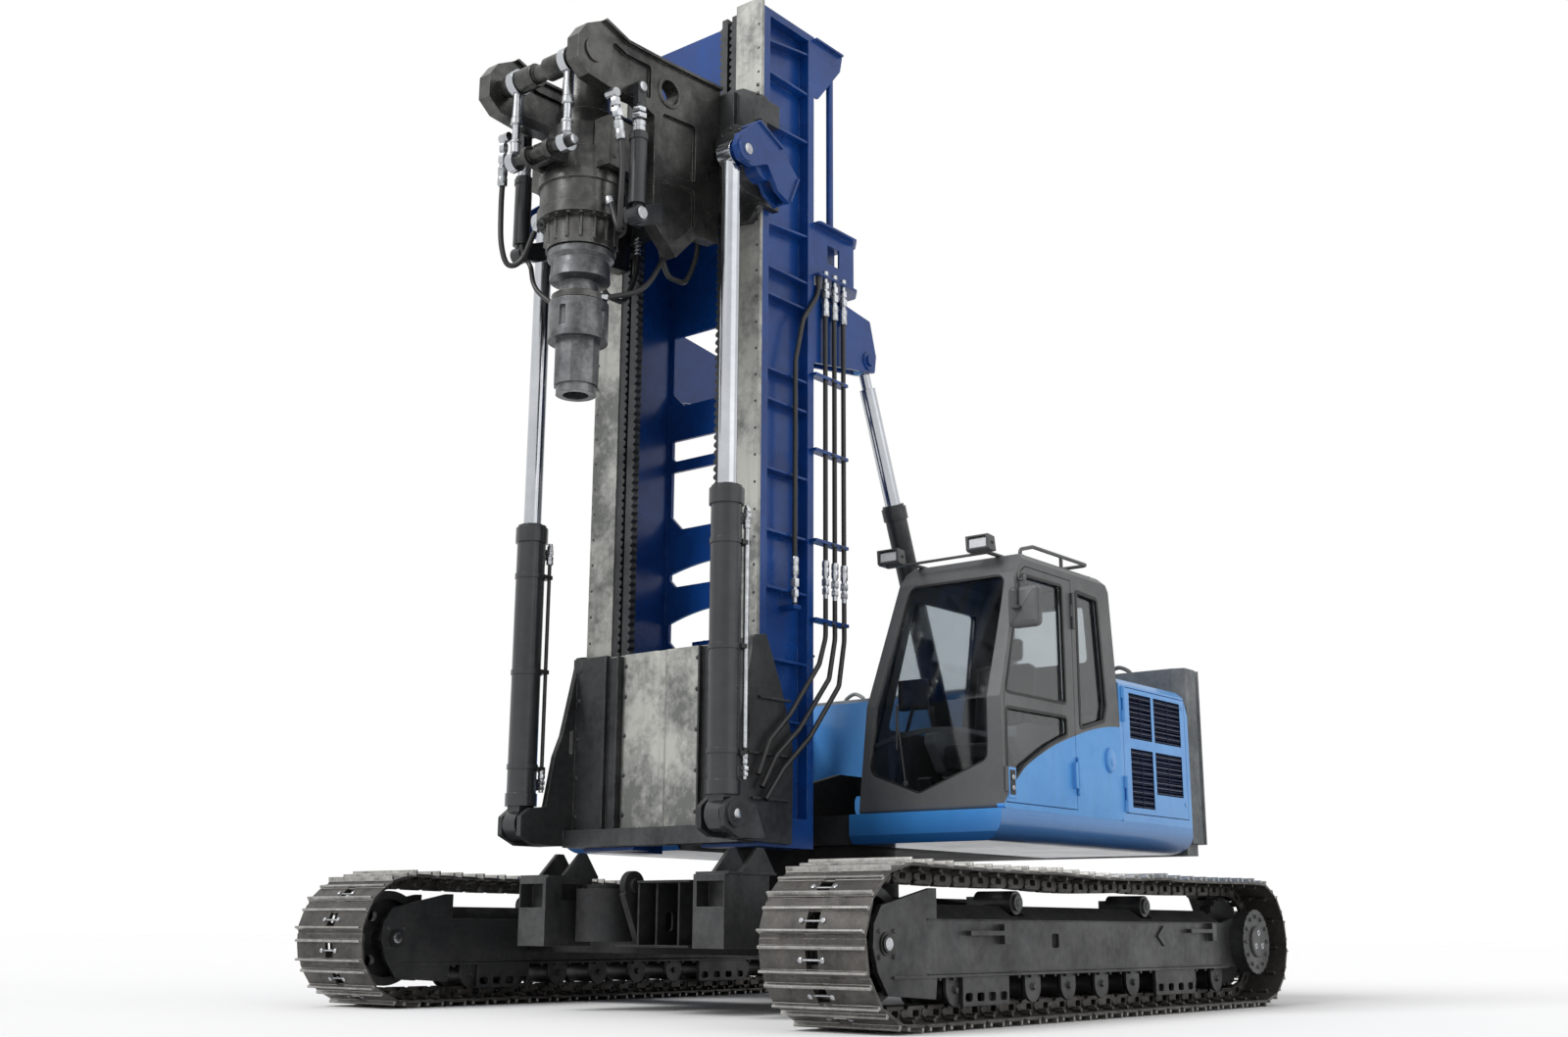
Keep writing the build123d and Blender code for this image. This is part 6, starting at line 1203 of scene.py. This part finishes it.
@dataclass
class Cushion:
    """A padded block that air pressure swells under its cover."""

    name: str
    middle: Point
    size: Point
    turn: float
    corner: float = 0.035
    seams: tuple[float, ...] = ()
    limit: float = 0.022
    pressure: float = 4.0
    voxel: float = 0.007
    last_frame: int = 20

    def blank(self) -> bpy.types.Object:
        """Return the cushion's plain form.

        Returns:
            The cushion's object.
        """
        shape = bmesh.new()
        bmesh.ops.create_cube(shape, size=1.0)
        bmesh.ops.scale(shape, vec=Vector(self.size), verts=shape.verts)
        bmesh.ops.bevel(shape, geom=shape.edges[:], offset=self.corner, segments=3, profile=0.5, affect="EDGES")
        bmesh.ops.rotate(shape, cent=(0, 0, 0), matrix=Matrix.Rotation(radians(self.turn), 3, "Y"), verts=shape.verts)
        bmesh.ops.translate(shape, vec=Vector(self.middle), verts=shape.verts)
        mesh = bpy.data.meshes.new(self.name)
        shape.to_mesh(mesh)
        shape.free()
        piece = bpy.data.objects.new(self.name, mesh)
        bpy.context.scene.collection.objects.link(piece)
        return piece

    @staticmethod
    def settle(piece: bpy.types.Object) -> None:
        """Write what the modifiers make into the mesh and drop them.

        Args:
            piece: The cushion's object.
        """
        bpy.context.view_layer.update()
        made = bpy.data.meshes.new_from_object(piece.evaluated_get(bpy.context.evaluated_depsgraph_get()))
        piece.modifiers.clear()
        piece.data = made

    def swell(self, piece: bpy.types.Object) -> None:
        """Let pressure swell the cover, held at the seams and at the underside, and cap how far it moves.

        Args:
            piece: The cushion's object.
        """
        remesh = piece.modifiers.new("even", "REMESH")
        remesh.mode = "VOXEL"
        remesh.voxel_size = self.voxel
        self.settle(piece)
        rest = [vert.co.copy() for vert in piece.data.vertices]
        held = piece.vertex_groups.new(name="held")
        low = min(point.z for point in rest)
        fixed = []
        for index, point in enumerate(rest):
            across = point.y - self.middle[1]
            if point.z < low + 0.02 or any(abs(across - seam) < self.voxel * 0.7 for seam in self.seams):
                fixed.append(index)
        held.add(fixed, 1.0, "REPLACE")
        cloth = piece.modifiers.new("cover", "CLOTH")
        cloth.settings.quality = 4
        cloth.settings.mass = 0.3
        cloth.settings.tension_stiffness = 20.0
        cloth.settings.compression_stiffness = 20.0
        cloth.settings.bending_stiffness = 1.0
        cloth.settings.use_pressure = True
        cloth.settings.uniform_pressure_force = self.pressure
        cloth.settings.vertex_group_mass = "held"
        cloth.settings.effector_weights.gravity = 0.0
        cloth.collision_settings.use_self_collision = False
        cloth.point_cache.frame_start, cloth.point_cache.frame_end = 1, self.last_frame
        scene = bpy.context.scene
        for number in range(1, self.last_frame + 1):
            scene.frame_set(number)
        self.settle(piece)
        scene.frame_set(1)
        for vert, start in zip(piece.data.vertices, rest):
            shift = vert.co - start
            if shift.length > self.limit:
                vert.co = start + shift.normalized() * self.limit

    def build(self) -> None:
        piece = self.blank()
        self.swell(piece)
        smooth = piece.modifiers.new("smooth", "SUBSURF")
        smooth.levels = smooth.render_levels = 1
        self.settle(piece)
        piece.data.materials.clear()
        piece.data.materials.append(MATERIALS["seat_fabric"])
        piece.data.shade_smooth()
        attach(piece, "upper")
        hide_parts("cab_interior")
        LOG.info("%s: %d faces, padded", self.name, len(piece.data.polygons))


@dataclass
class CabInterior:
    """The seat, its arms and levers, the screen, the pedals and the floor mat."""

    seat: Flat = (-0.38, 1.48)
    floor_z: float = 1.42
    lever: tuple[Flat, ...] = (
        (0.0, 0.036), (0.012, 0.034), (0.024, 0.022), (0.036, 0.026), (0.048, 0.014), (0.09, 0.012), (0.11, 0.020),
        (0.16, 0.024), (0.19, 0.022), (0.205, 0.012),
    )

    def build(self) -> None:
        """Build the interior in place of its plain solids."""
        x, y = self.seat
        Cushion("seat_cushion", (x, y, 1.81), (0.52, 0.49, 0.12), -3.0, seams=(-0.13, 0.13)).build()
        Cushion("seat_back", (x - 0.235, y, 2.20), (0.13, 0.47, 0.62), -8.0, seams=(-0.12, 0.12)).build()
        Cushion("seat_headrest", (x - 0.275, y, 2.625), (0.085, 0.27, 0.17), -6.0, 0.030, limit=0.014).build()
        self.build_frame()
        self.build_controls()

    def build_frame(self) -> None:
        """Add the seat's pan, its bellows and the bars of the headrest."""
        x, y = self.seat
        piece = Shaper("seat_frame", "upper", "cab_plastic")
        piece.panel(Axis.Z, (x - 0.25, y - 0.23), (x + 0.24, y + 0.23), 0.05, 1.705, 1.752, 0.008)
        for index, half in enumerate((0.17, 0.19, 0.17, 0.19, 0.17)):
            z = 1.50 + index * 0.041
            piece.panel(Axis.Z, (x - half, y - half), (x + half - 0.02, y + half), 0.04, z, z + 0.0405, 0.006)
        piece.panel(Axis.Z, (x - 0.24, y - 0.21), (x + 0.22, y + 0.21), 0.03, self.floor_z, 1.50, 0.006)
        back = rounded([(x - 0.36, 1.86), (x - 0.30, 1.86), (x - 0.325, 2.46), (x - 0.375, 2.46)], 0.02)
        piece.slab(Axis.Y, back, y - 0.21, y + 0.21, 0.012)
        piece.use("zinc_fitting")
        for spot in (-0.06, 0.06):
            piece.rod((x - 0.28, y + spot, 2.48), (x - 0.283, y + spot, 2.60), 0.007, 10)
        piece.done(replaces=("cab_interior",))

    def build_controls(self) -> None:
        """Add the side consoles, the pedals, the mat and the screen."""
        x, y = self.seat
        piece = Shaper("cab_controls", "upper", "console_grey")
        arm = rounded([(x - 0.24, 1.62), (x + 0.12, 1.70), (x + 0.27, 1.90), (x + 0.26, 1.98), (x + 0.05, 2.02),
                       (x - 0.24, 2.02)], 0.03)
        foot = rounded([(x - 0.24, 1.43), (x + 0.02, 1.43), (x + 0.02, 1.69), (x - 0.24, 1.63)], 0.02)
        for outline, chamfer, spans in ((arm, 0.008, ((1.085, 1.185), (1.775, 1.875))),
                                        (foot, 0.004, ((1.092, 1.178), (1.782, 1.868)))):
            for low, high in spans:
                piece.slab(Axis.Y, outline, low, high, chamfer)
        piece.use("cab_plastic")
        for middle in (1.135, 1.825):
            self.add_console_top(piece, middle)
        for middle in (1.35, 1.55):
            self.add_pedal(piece, middle)
        piece.panel(Axis.Z, (-0.60, 1.02), (0.33, 2.02), 0.05, self.floor_z - 0.002, self.floor_z + 0.006, 0.002)
        piece.panel(Axis.X, (1.116, 2.100), (1.366, 2.320), 0.015, 0.222, 0.262, 0.006)
        piece.tube([(0.250, 1.24, 2.11), (0.300, 1.22, 1.95), (0.330, 1.16, 1.70), (0.335, 1.10, 1.50),
                    (0.335, 1.10, 1.44)], 0.014, 10)
        piece.use("screen_glass")
        piece.panel(Axis.X, (1.132, 2.122), (1.350, 2.300), 0.008, 0.2195, 0.2235, 0.001)
        piece.use("accent_orange")
        piece.panel(Axis.Y, (x - 0.19, 1.765), (x + 0.02, 1.79), 0.006, y + 0.245, y + 0.255, 0.002)
        piece.done(replaces=("cab_interior",))

    def add_console_top(self, piece: Shaper, middle: float) -> None:
        """Add a console's pad, lever and buttons.

        Args:
            piece: The piece to add to.
            middle: The console's middle along Y.
        """
        x = self.seat[0]
        piece.panel(Axis.Z, (x - 0.22, middle - 0.042), (x + 0.04, middle + 0.042), 0.02, 2.02, 2.045, 0.008)
        piece.lathe((x + 0.205, middle, 1.975), (0.15, 0, 1), self.lever, 16)
        for index in range(4):
            spot = (x + 0.075 + 0.026 * index, middle + 0.018 * (-1) ** index, 2.008 - 0.006 * index)
            piece.cap(spot, (0, 0, 1), (0.009, 0.010), (0.007, 0.012), 10)

    def add_pedal(self, piece: Shaper, middle: float) -> None:
        """Add a pedal's plate, the ribs on it and its stem.

        Args:
            piece: The piece to add to.
            middle: The pedal's middle along Y.
        """
        plate = rounded([(0.16, 1.47), (0.19, 1.45), (0.285, 1.60), (0.262, 1.615)], 0.006)
        piece.slab(Axis.Y, plate, middle - 0.055, middle + 0.055, 0.004)
        for index in range(5):
            x, z = 0.176 + 0.019 * index, 1.482 + 0.027 * index
            piece.rod((x, middle - 0.048, z), (x, middle + 0.048, z), 0.004, 6)
        piece.rod((0.225, middle, 1.43), (0.225, middle, 1.54), 0.010, 8)


@dataclass
class HousingTrim:
    """Fine louvre blades and dark backs, both near-black as painted shade inside the openings, with latches and small
    parts of the engine doors and housings.
    """

    face_y: float = 2.1
    pitch: float = 0.024

    def build(self) -> None:
        """Build the trim of both doors and the housings."""
        for side, name in ((1, "left"), (-1, "right")):
            # Blades in near-black: painted shade inside the openings.
            piece = Shaper(f"louvre_blades_{name}", f"engine_door_{name}", "louvre_shade_navy")
            for opening in LOUVRES:
                self.add_louvres(piece, side, *opening)
            piece.done()
            piece = Shaper(f"door_latches_{name}", f"engine_door_{name}", "sky_paint")
            for z in (1.54, 2.31):
                piece.cap((-2.322, side * (self.face_y - 0.001), z), (0, side, 0), (0.019, 0.004), (0.016, 0.006), 20)
            piece.use("zinc_fitting")
            for z in (1.54, 2.31):
                self.add_plate(piece, side, (-2.324, z - 0.009), (-2.320, z + 0.009), 0.004, 0.0065)
            piece.done()
        piece = Shaper("housing_small_parts", "upper", "dark_steel")
        for y in (-1.8, -0.9, 0.9, 1.8):
            for x in (-2.30, -1.36):
                piece.bolt((x, y, 2.4395), (0, 0, 1), 0.012)
        piece.use("cast_grey")
        for y in (-1.40, 1.40):
            lug = ((-0.10, 2.659), (-0.10, 2.70), (0.0, 2.745), (0.10, 2.70), (0.10, 2.659))
            piece.tube([(-2.62, y + across, z) for across, z in lug], 0.018, 10, 4)
        piece.done()

    def add_plate(self, piece: Shaper, side: int, low: Flat, high: Flat, start: float, end: float) -> None:
        """Add a rectangle between two distances from the door's outer face."""
        piece.slab(Axis.Y, oblong(low, high), side * (self.face_y + start), side * (self.face_y + end))

    def add_louvres(self, piece: Shaper, side: int, x_from: float, x_to: float, z_from: float, z_to: float) -> None:
        """Add an opening's blades, its three uprights and its dark back, all near-black as painted shade inside the
        opening.

        Args:
            piece: The piece to add to.
            side: 1 for the left door, -1 for the right one.
            x_from: The opening's rear edge.
            x_to: Its front edge.
            z_from: Its lower edge.
            z_to: Its upper edge.
        """
        inner, outer = side * (self.face_y - 0.020), side * (self.face_y - 0.0025)
        count = int((z_to - z_from) / self.pitch)
        for index in range(count):
            z = z_from + (index + 0.3) * (z_to - z_from) / count
            blade = [(inner, z + 0.010), (outer, z), (outer, z + 0.0035), (inner, z + 0.0135)]
            piece.slab(Axis.X, blade, x_from - 0.001, x_to + 0.001)
        for x in (x_from - 0.0005, (x_from + x_to) / 2, x_to + 0.0005):
            self.add_plate(piece, side, (x - 0.0025, z_from), (x + 0.0025, z_to), -0.022, -0.002)
        # A near-black sheet behind the blades: painted shade inside the opening.
        self.add_plate(piece, side, (x_from - 0.004, z_from - 0.004), (x_to + 0.004, z_to + 0.004), -0.046, -0.041)


@dataclass
class MastTrim:
    """Hose couplings, inner hoses, rail screws and pin caps on the mast."""

    hose_x: Point = (0.782, 0.671, 0.559)
    hose_y: float = 0.852
    inner_x: Flat = (1.02, 1.09)

    def build(self) -> None:
        """Build the mast's trim."""
        self.build_couplings()
        self.build_inner_hoses()
        self.build_screws()

    def build_couplings(self) -> None:
        """Add the fittings on the long hoses, and the bracket and bolts that hold them."""
        y = self.hose_y
        piece = Shaper("mast_couplings", "mast", "zinc_fitting")
        for x in self.hose_x:
            piece.fitting((x, y, 5.040), (x, y, 5.346), 0.030)
            piece.fitting((x, y, 3.160), (x, y, 2.880), 0.028)
            piece.rod((x, y, 5.364), (x, y, 5.405), 0.024, 12)
        piece.fitting((1.131, 0.844, 3.130), (1.131, 0.844, 2.800), 0.029)
        piece.use("mast_paint")
        piece.box((1.092, 0.7325, 2.752), (1.170, 0.872, 2.782), 0.003)
        piece.use("dark_steel")
        for level in (4.54, 3.96, 3.28, 2.70):
            for x in (0.615, 0.727):
                piece.bolt((x, 0.884, level), (0, 1, 0), 0.010)
        piece.done()

    def build_inner_hoses(self) -> None:
        """Add the two hoses that hang inside the column, clipped to its side wall all along."""
        piece = Shaper("column_hoses", "mast", "hose_rubber")
        route = ((0.0, 0.585, 6.80), (0.0, 0.575, 6.2), (0.0, 0.585, 5.4), (0.0, 0.575, 4.6), (0.0, 0.585, 3.8),
                 (0.0, 0.575, 3.15), (0.02, 0.560, 2.62))
        for x in self.inner_x:
            piece.tube([(x + shift, y, z) for shift, y, z in route], 0.017, 10)
        piece.use("zinc_fitting")
        for x in self.inner_x:
            piece.fitting((x, 0.578, 3.30), (x, 0.577, 3.05), 0.024)
            piece.fitting((x, 0.585, 6.72), (x, 0.585, 6.90), 0.024)
        piece.use("dark_steel")
        for level in (6.5, 5.8, 5.0, 4.2, 3.5, 2.75):
            piece.box((0.985, 0.548, level - 0.02), (1.125, 0.602, level + 0.02), 0.003)
            piece.bolt((1.055, 0.549, level), (0, -1, 0), 0.009)
        piece.done()

    def build_screws(self) -> None:
        """Add rows of screws along the rails, bolts on the foot brackets, and pin caps."""
        piece = Shaper("rail_screws", "mast", "dark_steel")
        for side in SIDES:
            for index in range(24):
                spot = (1.5215, side * 0.792, 2.62 + index * 0.198)
                piece.lathe(spot, (1, 0, 0), [(0.0, 0.011), (0.0008, 0.011)], 10)
            for z in (1.34, 1.62, 1.90, 2.18, 2.40):
                piece.bolt((1.6095, side * 0.80, z), (1, 0, 0), 0.013)
                piece.bolt((1.5875, side * 0.345, z), (1, 0, 0), 0.011)
        piece.use("zinc_fitting")
        for side in SIDES:
            piece.cap((2.0, side * 1.0775, 1.275), (0, side, 0), (0.034, 0.004), (0.028, 0.007), 24)
            piece.cap((0.185, side * 0.8195, 4.86), (0, side, 0), (0.045, 0.008), (0.038, 0.012), 24)
        piece.done()


@dataclass
class LiftTrim:
    """Gland bolts, clamps and the bright sleeve of the feed pipe on the lift cylinders' barrels."""

    barrel_x: float = 2.0
    barrel_y: float = 0.95
    pipe_x: float = 1.9

    def build(self) -> None:
        """Build the trim of both barrels."""
        piece = Shaper("barrel_trim", "mast", "zinc_fitting")
        up = (0, 0, 1)
        for side, pipe_y in zip(SIDES, (-0.855, 1.045)):
            x, middle = self.barrel_x, side * self.barrel_y
            piece.use("barrel_steel")
            for a, b in around(12, 0.088):
                piece.bolt((x + a, middle + b, 3.4495), up, 0.008)
            for level in (1.66, 2.34, 3.05):
                piece.ring((x, middle, level), up, 0.1055, 0.112, 0.036, 40)
            piece.use("zinc_fitting")
            if side > 0:
                piece.rod((self.pipe_x, pipe_y, 1.70), (self.pipe_x, pipe_y, 3.20), 0.019, 16)
            for start, end in ((3.16, 3.32), (1.66, 1.50)):
                piece.fitting((self.pipe_x, pipe_y, start), (self.pipe_x, pipe_y, end), 0.026)
            piece.use("gasket_rubber")
            wiper = [(0.0, 0.068), (0.0, 0.080), (0.010, 0.078), (0.010, 0.068)]
            piece.lathe((x, middle, 3.450), up, wiper, 32, joined=True)
        piece.done()


@dataclass
class HeadTrim:
    """Fittings, hoses, pipes, bolts and pin caps of the drive head."""

    spindle_x: float = 2.516
    drive_bottom: float = 5.400
    cylinder: Flat = (2.56, 0.583)

    def build(self) -> None:
        """Build the head's trim."""
        self.build_fittings()
        self.build_hoses()
        self.build_bolts()

    def build_fittings(self) -> None:
        """Add the bright fittings on the clamp cylinders, the hanging rods and the lift pins."""
        piece = Shaper("head_fittings", "carriage", "zinc_fitting")
        x, y = self.cylinder
        rods = ((6.150, 6.340, 0.037), (6.100, 6.155, 0.043), (5.880, 5.960, 0.037), (5.955, 5.985, 0.042))
        caps = (
            ((2.94, 0.3395, 5.815), (0.036, 0.003), (0.030, 0.006), 24),
            ((x, y + 0.0455, 5.32), (0.046, 0.014), (0.038, 0.020), 24),
            ((x, y + 0.0295, 6.28), (0.034, 0.004), (0.028, 0.007), 20),
            ((2.0, 1.1095, 5.87), (0.040, 0.004), (0.032, 0.008), 24),
        )
        for side in SIDES:
            out = (0, side, 0)
            piece.fitting(*mirrored(side, (x, y, 5.93), (x, y, 6.145)), 0.050)
            piece.fitting(*mirrored(side, (2.752, 0.600, 5.800), (2.790, 0.560, 6.150)), 0.036)
            piece.cap((2.790, side * 0.500, 6.150), out, (0.036, 0.085), (0.030, 0.092), 18)
            for low, high, radius in rods:
                piece.rod(*mirrored(side, (2.94, 0.26, low), (2.94, 0.26, high)), radius, 20)
            for spot, wall, rim, sides in caps:
                piece.cap(*mirrored(side, spot), out, wall, rim, sides)
        piece.done()

    def build_hoses(self) -> None:
        """Add the short hoses and pipes, each held by a fitting at both ends."""
        piece = Shaper("head_hoses", "carriage", "hose_rubber")
        x, up = self.spindle_x, (0, 0, 1)
        for side in SIDES:
            piece.tube(mirrored(side, (2.752, 0.600, 5.815), (2.742, 0.612, 5.62), (2.735, 0.600, 5.36),
                                (2.700, 0.560, 5.20), (2.640, 0.480, 5.235), (2.610, 0.375, 5.46)), 0.020)
            piece.tube(mirrored(side, (2.100, 0.340, 5.665), (2.085, 0.330, 5.46), (1.968, 0.310, 5.17),
                                (1.840, 0.310, 5.13), (1.742, 0.310, 5.17), (1.640, 0.310, 5.40),
                                (1.625, 0.310, 5.62)), 0.020)
        piece.tube([(x - 0.06, 0.190, 4.842), (2.380, 0.265, 4.862), (2.250, 0.318, 4.925), (2.130, 0.330, 5.050),
                    (2.020, 0.345, 5.25), (1.840, 0.370, 5.55), (1.760, 0.395, 5.69)], 0.019)
        piece.tube([(x + 0.02, -0.196, 4.842), (2.530, -0.290, 4.905), (2.540, -0.400, 5.000),
                    (2.545, -0.455, 5.090), (2.548, -0.480, 5.200), (2.550, -0.520, 5.268)], 0.018)
        piece.use("head_steel")
        collar = [(0.0, 0.1335), (0.0, 0.188), (0.006, 0.196), (0.050, 0.196), (0.056, 0.188), (0.056, 0.1335)]
        piece.lathe((x, 0, 4.812), up, collar, 48, joined=True)
        piece.use("zinc_fitting")
        piece.cap((x - 0.048, 0.178, 4.842), (-0.5, 0.7, 0), (0.028, 0.04), (0.024, 0.045), 12)
        piece.cap((x + 0.020, -0.186, 4.842), (0, -1, 0.2), (0.027, 0.04), (0.023, 0.045), 12)
        for side in SIDES:
            piece.cap((2.606, side * 0.352, 5.490), (0.1, side * 0.35, -0.8), (0.030, 0.055), (0.025, 0.062), 12)
            piece.fitting(*mirrored(side, (2.096, 0.337, 5.600), (2.105, 0.345, 5.735)), 0.030)
            piece.fitting(*mirrored(side, (1.628, 0.310, 5.560), (1.625, 0.310, 5.702)), 0.030)
        piece.done()

    def build_bolts(self) -> None:
        """Add the bolt circles under the drive, on its shoulders and on the sled's discs, and the drive's seams."""
        piece = Shaper("head_bolts", "carriage", "head_steel")
        x, ahead = self.spindle_x, (1, 0, 0)
        for a, b in around(20, 0.288, 0.5):
            piece.bolt((x + a, b, self.drive_bottom), (0, 0, -1), 0.012)
        for a, b in around(18, 0.279, 0.25):
            piece.bolt((x + a, b, 5.8995), (0, 0, 1), 0.010)
        for side in SIDES:
            for a, b in around(8, 0.118):
                piece.bolt((1.6795, side * 0.662 + a, 6.168 + b), ahead, 0.011)
            for z in (5.62, 5.66, 6.40, 6.48, 6.56, 6.63):
                piece.bolt((1.5822, side * 0.84, z), ahead, 0.011)
            for spot_x, z in ((2.43, 5.80), (2.60, 5.80), (2.43, 6.04), (2.60, 6.04)):
                piece.bolt((spot_x, side * 0.3885, z), (0, side, 0), 0.010)
        piece.use("gasket_rubber")
        for level, radius in ((5.480, 0.3045), (5.715, 0.3005)):
            swell = radius + 0.0022
            seam = [(0.0, radius), (0.001, swell), (0.005, swell), (0.006, radius)]
            piece.lathe((x, 0, level), (0, 0, 1), seam, 64, joined=True)
        piece.done()


@dataclass
class ValveTrim:
    """Spool caps and plugs on the valve block behind the mast."""

    top_z: float = 2.69
    first_y: float = -0.33
    spool: tuple[Flat, ...] = ((0.0, 0.024), (0.020, 0.024), (0.022, 0.018), (0.050, 0.018), (0.056, 0.012))

    def build(self) -> None:
        """Build the valve block's trim."""
        up = (0, 0, 1)
        piece = Shaper("valve_trim", "mast", "zinc_fitting")
        for index in range(7):
            piece.lathe((0.681, self.first_y + index * 0.11, self.top_z), up, self.spool, 14)
        piece.use("accent_orange")
        for index in range(3):
            piece.cap((0.60, -0.275 + index * 0.22, self.top_z), up, (0.012, 0.018), (0.009, 0.022), 12)
        piece.use("cast_grey")
        for index in range(4):
            piece.bolt((0.761, self.first_y + index * 0.22, self.top_z), up, 0.010)
        piece.done()


@dataclass
class Studio:
    """The pale floor, the soft light and the camera at the photograph's angle."""

    camera_place: Point = (10.201, 8.051, 0.572)
    yaw: float = 218.857
    pitch: float = 13.771
    roll: float = 0.301
    focal_px: float = 1703.6
    frame_px: float = 1600.0
    sensor_mm: float = 36.0
    floor_size: float = 160.0

    def build(self) -> None:
        """Build the floor, the world, the lamps and the camera."""
        bpy.context.scene.view_settings.view_transform = "Standard"
        self.build_world()
        self.build_floor()
        self.build_lamps()
        self.build_camera()

    def build_world(self) -> None:
        """Light from all round at a plain level, with white where the camera and reflections look past the object."""
        world = bpy.data.worlds.new("studio")
        bpy.context.scene.world = world
        world.use_nodes = True
        world.node_tree.nodes.clear()
        wires = Wiring(world.node_tree)
        path = wires.add("LightPath").outputs
        seen = wires.math("MAXIMUM", path["Is Camera Ray"], path["Is Transmission Ray"])
        seen = wires.math("MAXIMUM", seen, path["Is Glossy Ray"])
        shell = wires.add("Background", {"Color": grey(1.0), "Strength": wires.remap(seen, 0.0, 1.0, 0.5, 1.0)})
        wires.add("OutputWorld", {"Surface": shell.outputs[0]})

    def build_floor(self) -> None:
        """Lay a pale floor that keeps the object's shadow."""
        mesh = bpy.data.meshes.new("floor")
        half = self.floor_size / 2
        corners = [(x, y, 0.0) for x, y in oblong((-half, -half), (half, half))]
        mesh.from_pydata(corners, [], [(0, 1, 2, 3)])
        floor = bpy.data.objects.new("floor", mesh)
        bpy.context.scene.collection.objects.link(floor)
        material, wires, shader = new_material("floor_white")
        tone = EFFECTS.use(wires, Effect.CLOUDS, Scale=0.4, Contrast=1.0)["Mask"]
        wires.fill(shader, {"Base Color": wires.blend(tone, grey(0.93), grey(0.95)), "Roughness": 0.8,
                            "Specular IOR Level": 0.1})
        floor.data.materials.append(material)

    def build_lamps(self) -> None:
        """Hang a soft key light and a weaker one from the other side."""
        for name, strength, spread, tilt, turn in (("key", 2.2, 25.0, 48.0, 75.0), ("fill", 0.5, 60.0, 60.0, 185.0)):
            lamp = bpy.data.lights.new(name, "SUN")
            lamp.energy = strength
            lamp.angle = radians(spread)
            holder = bpy.data.objects.new(name, lamp)
            holder.rotation_euler = (radians(tilt), 0.0, radians(turn))
            bpy.context.scene.collection.objects.link(holder)

    def build_camera(self) -> None:
        """Set the camera where the photograph was taken from."""
        camera = bpy.data.cameras.new("photo_camera")
        camera.sensor_width = self.sensor_mm
        camera.lens = self.focal_px * self.sensor_mm / self.frame_px
        camera.clip_end = 400.0
        holder = bpy.data.objects.new("photo_camera", camera)
        yaw, pitch, roll = radians(self.yaw), radians(self.pitch), radians(self.roll)
        look = Vector((cos(yaw) * cos(pitch), sin(yaw) * cos(pitch), sin(pitch)))
        right = Vector((sin(yaw), -cos(yaw), 0.0))
        up = right.cross(look)
        right, up = right * cos(roll) + up * sin(roll), up * cos(roll) - right * sin(roll)
        turn = Matrix((right, up, -look)).transposed()
        holder.matrix_world = Matrix.Translation(self.camera_place) @ turn.to_4x4()
        bpy.context.scene.collection.objects.link(holder)
        bpy.context.scene.camera = holder


def dress_nodes() -> None:
    """Build every finish and give each solid its own."""
    for name, finish in FINISHES.items():
        MATERIALS[name] = finish.build()
    for row in frame["record"]["subparts"]:
        node = frame["nodes"][row["node"]]
        node.data.materials.clear()
        node.data.materials.append(MATERIALS[NODE_FINISH.get(row["node"], row["material_slot"])])


def main() -> None:
    """Build the looks in order."""
    EFFECTS.build()
    dress_nodes()
    for assembly in (
        TrackLoop(1, "track_left"), TrackLoop(-1, "track_right"),
        TrackFrameTrim(1, "left"), TrackFrameTrim(-1, "right"),
        CabTrim(), CabInterior(), HousingTrim(), MastTrim(), LiftTrim(), HeadTrim(), ValveTrim(),
    ):
        assembly.build()
    Studio().build()


if __name__ == "__main__":
    logging.basicConfig(level=logging.INFO)
    main()
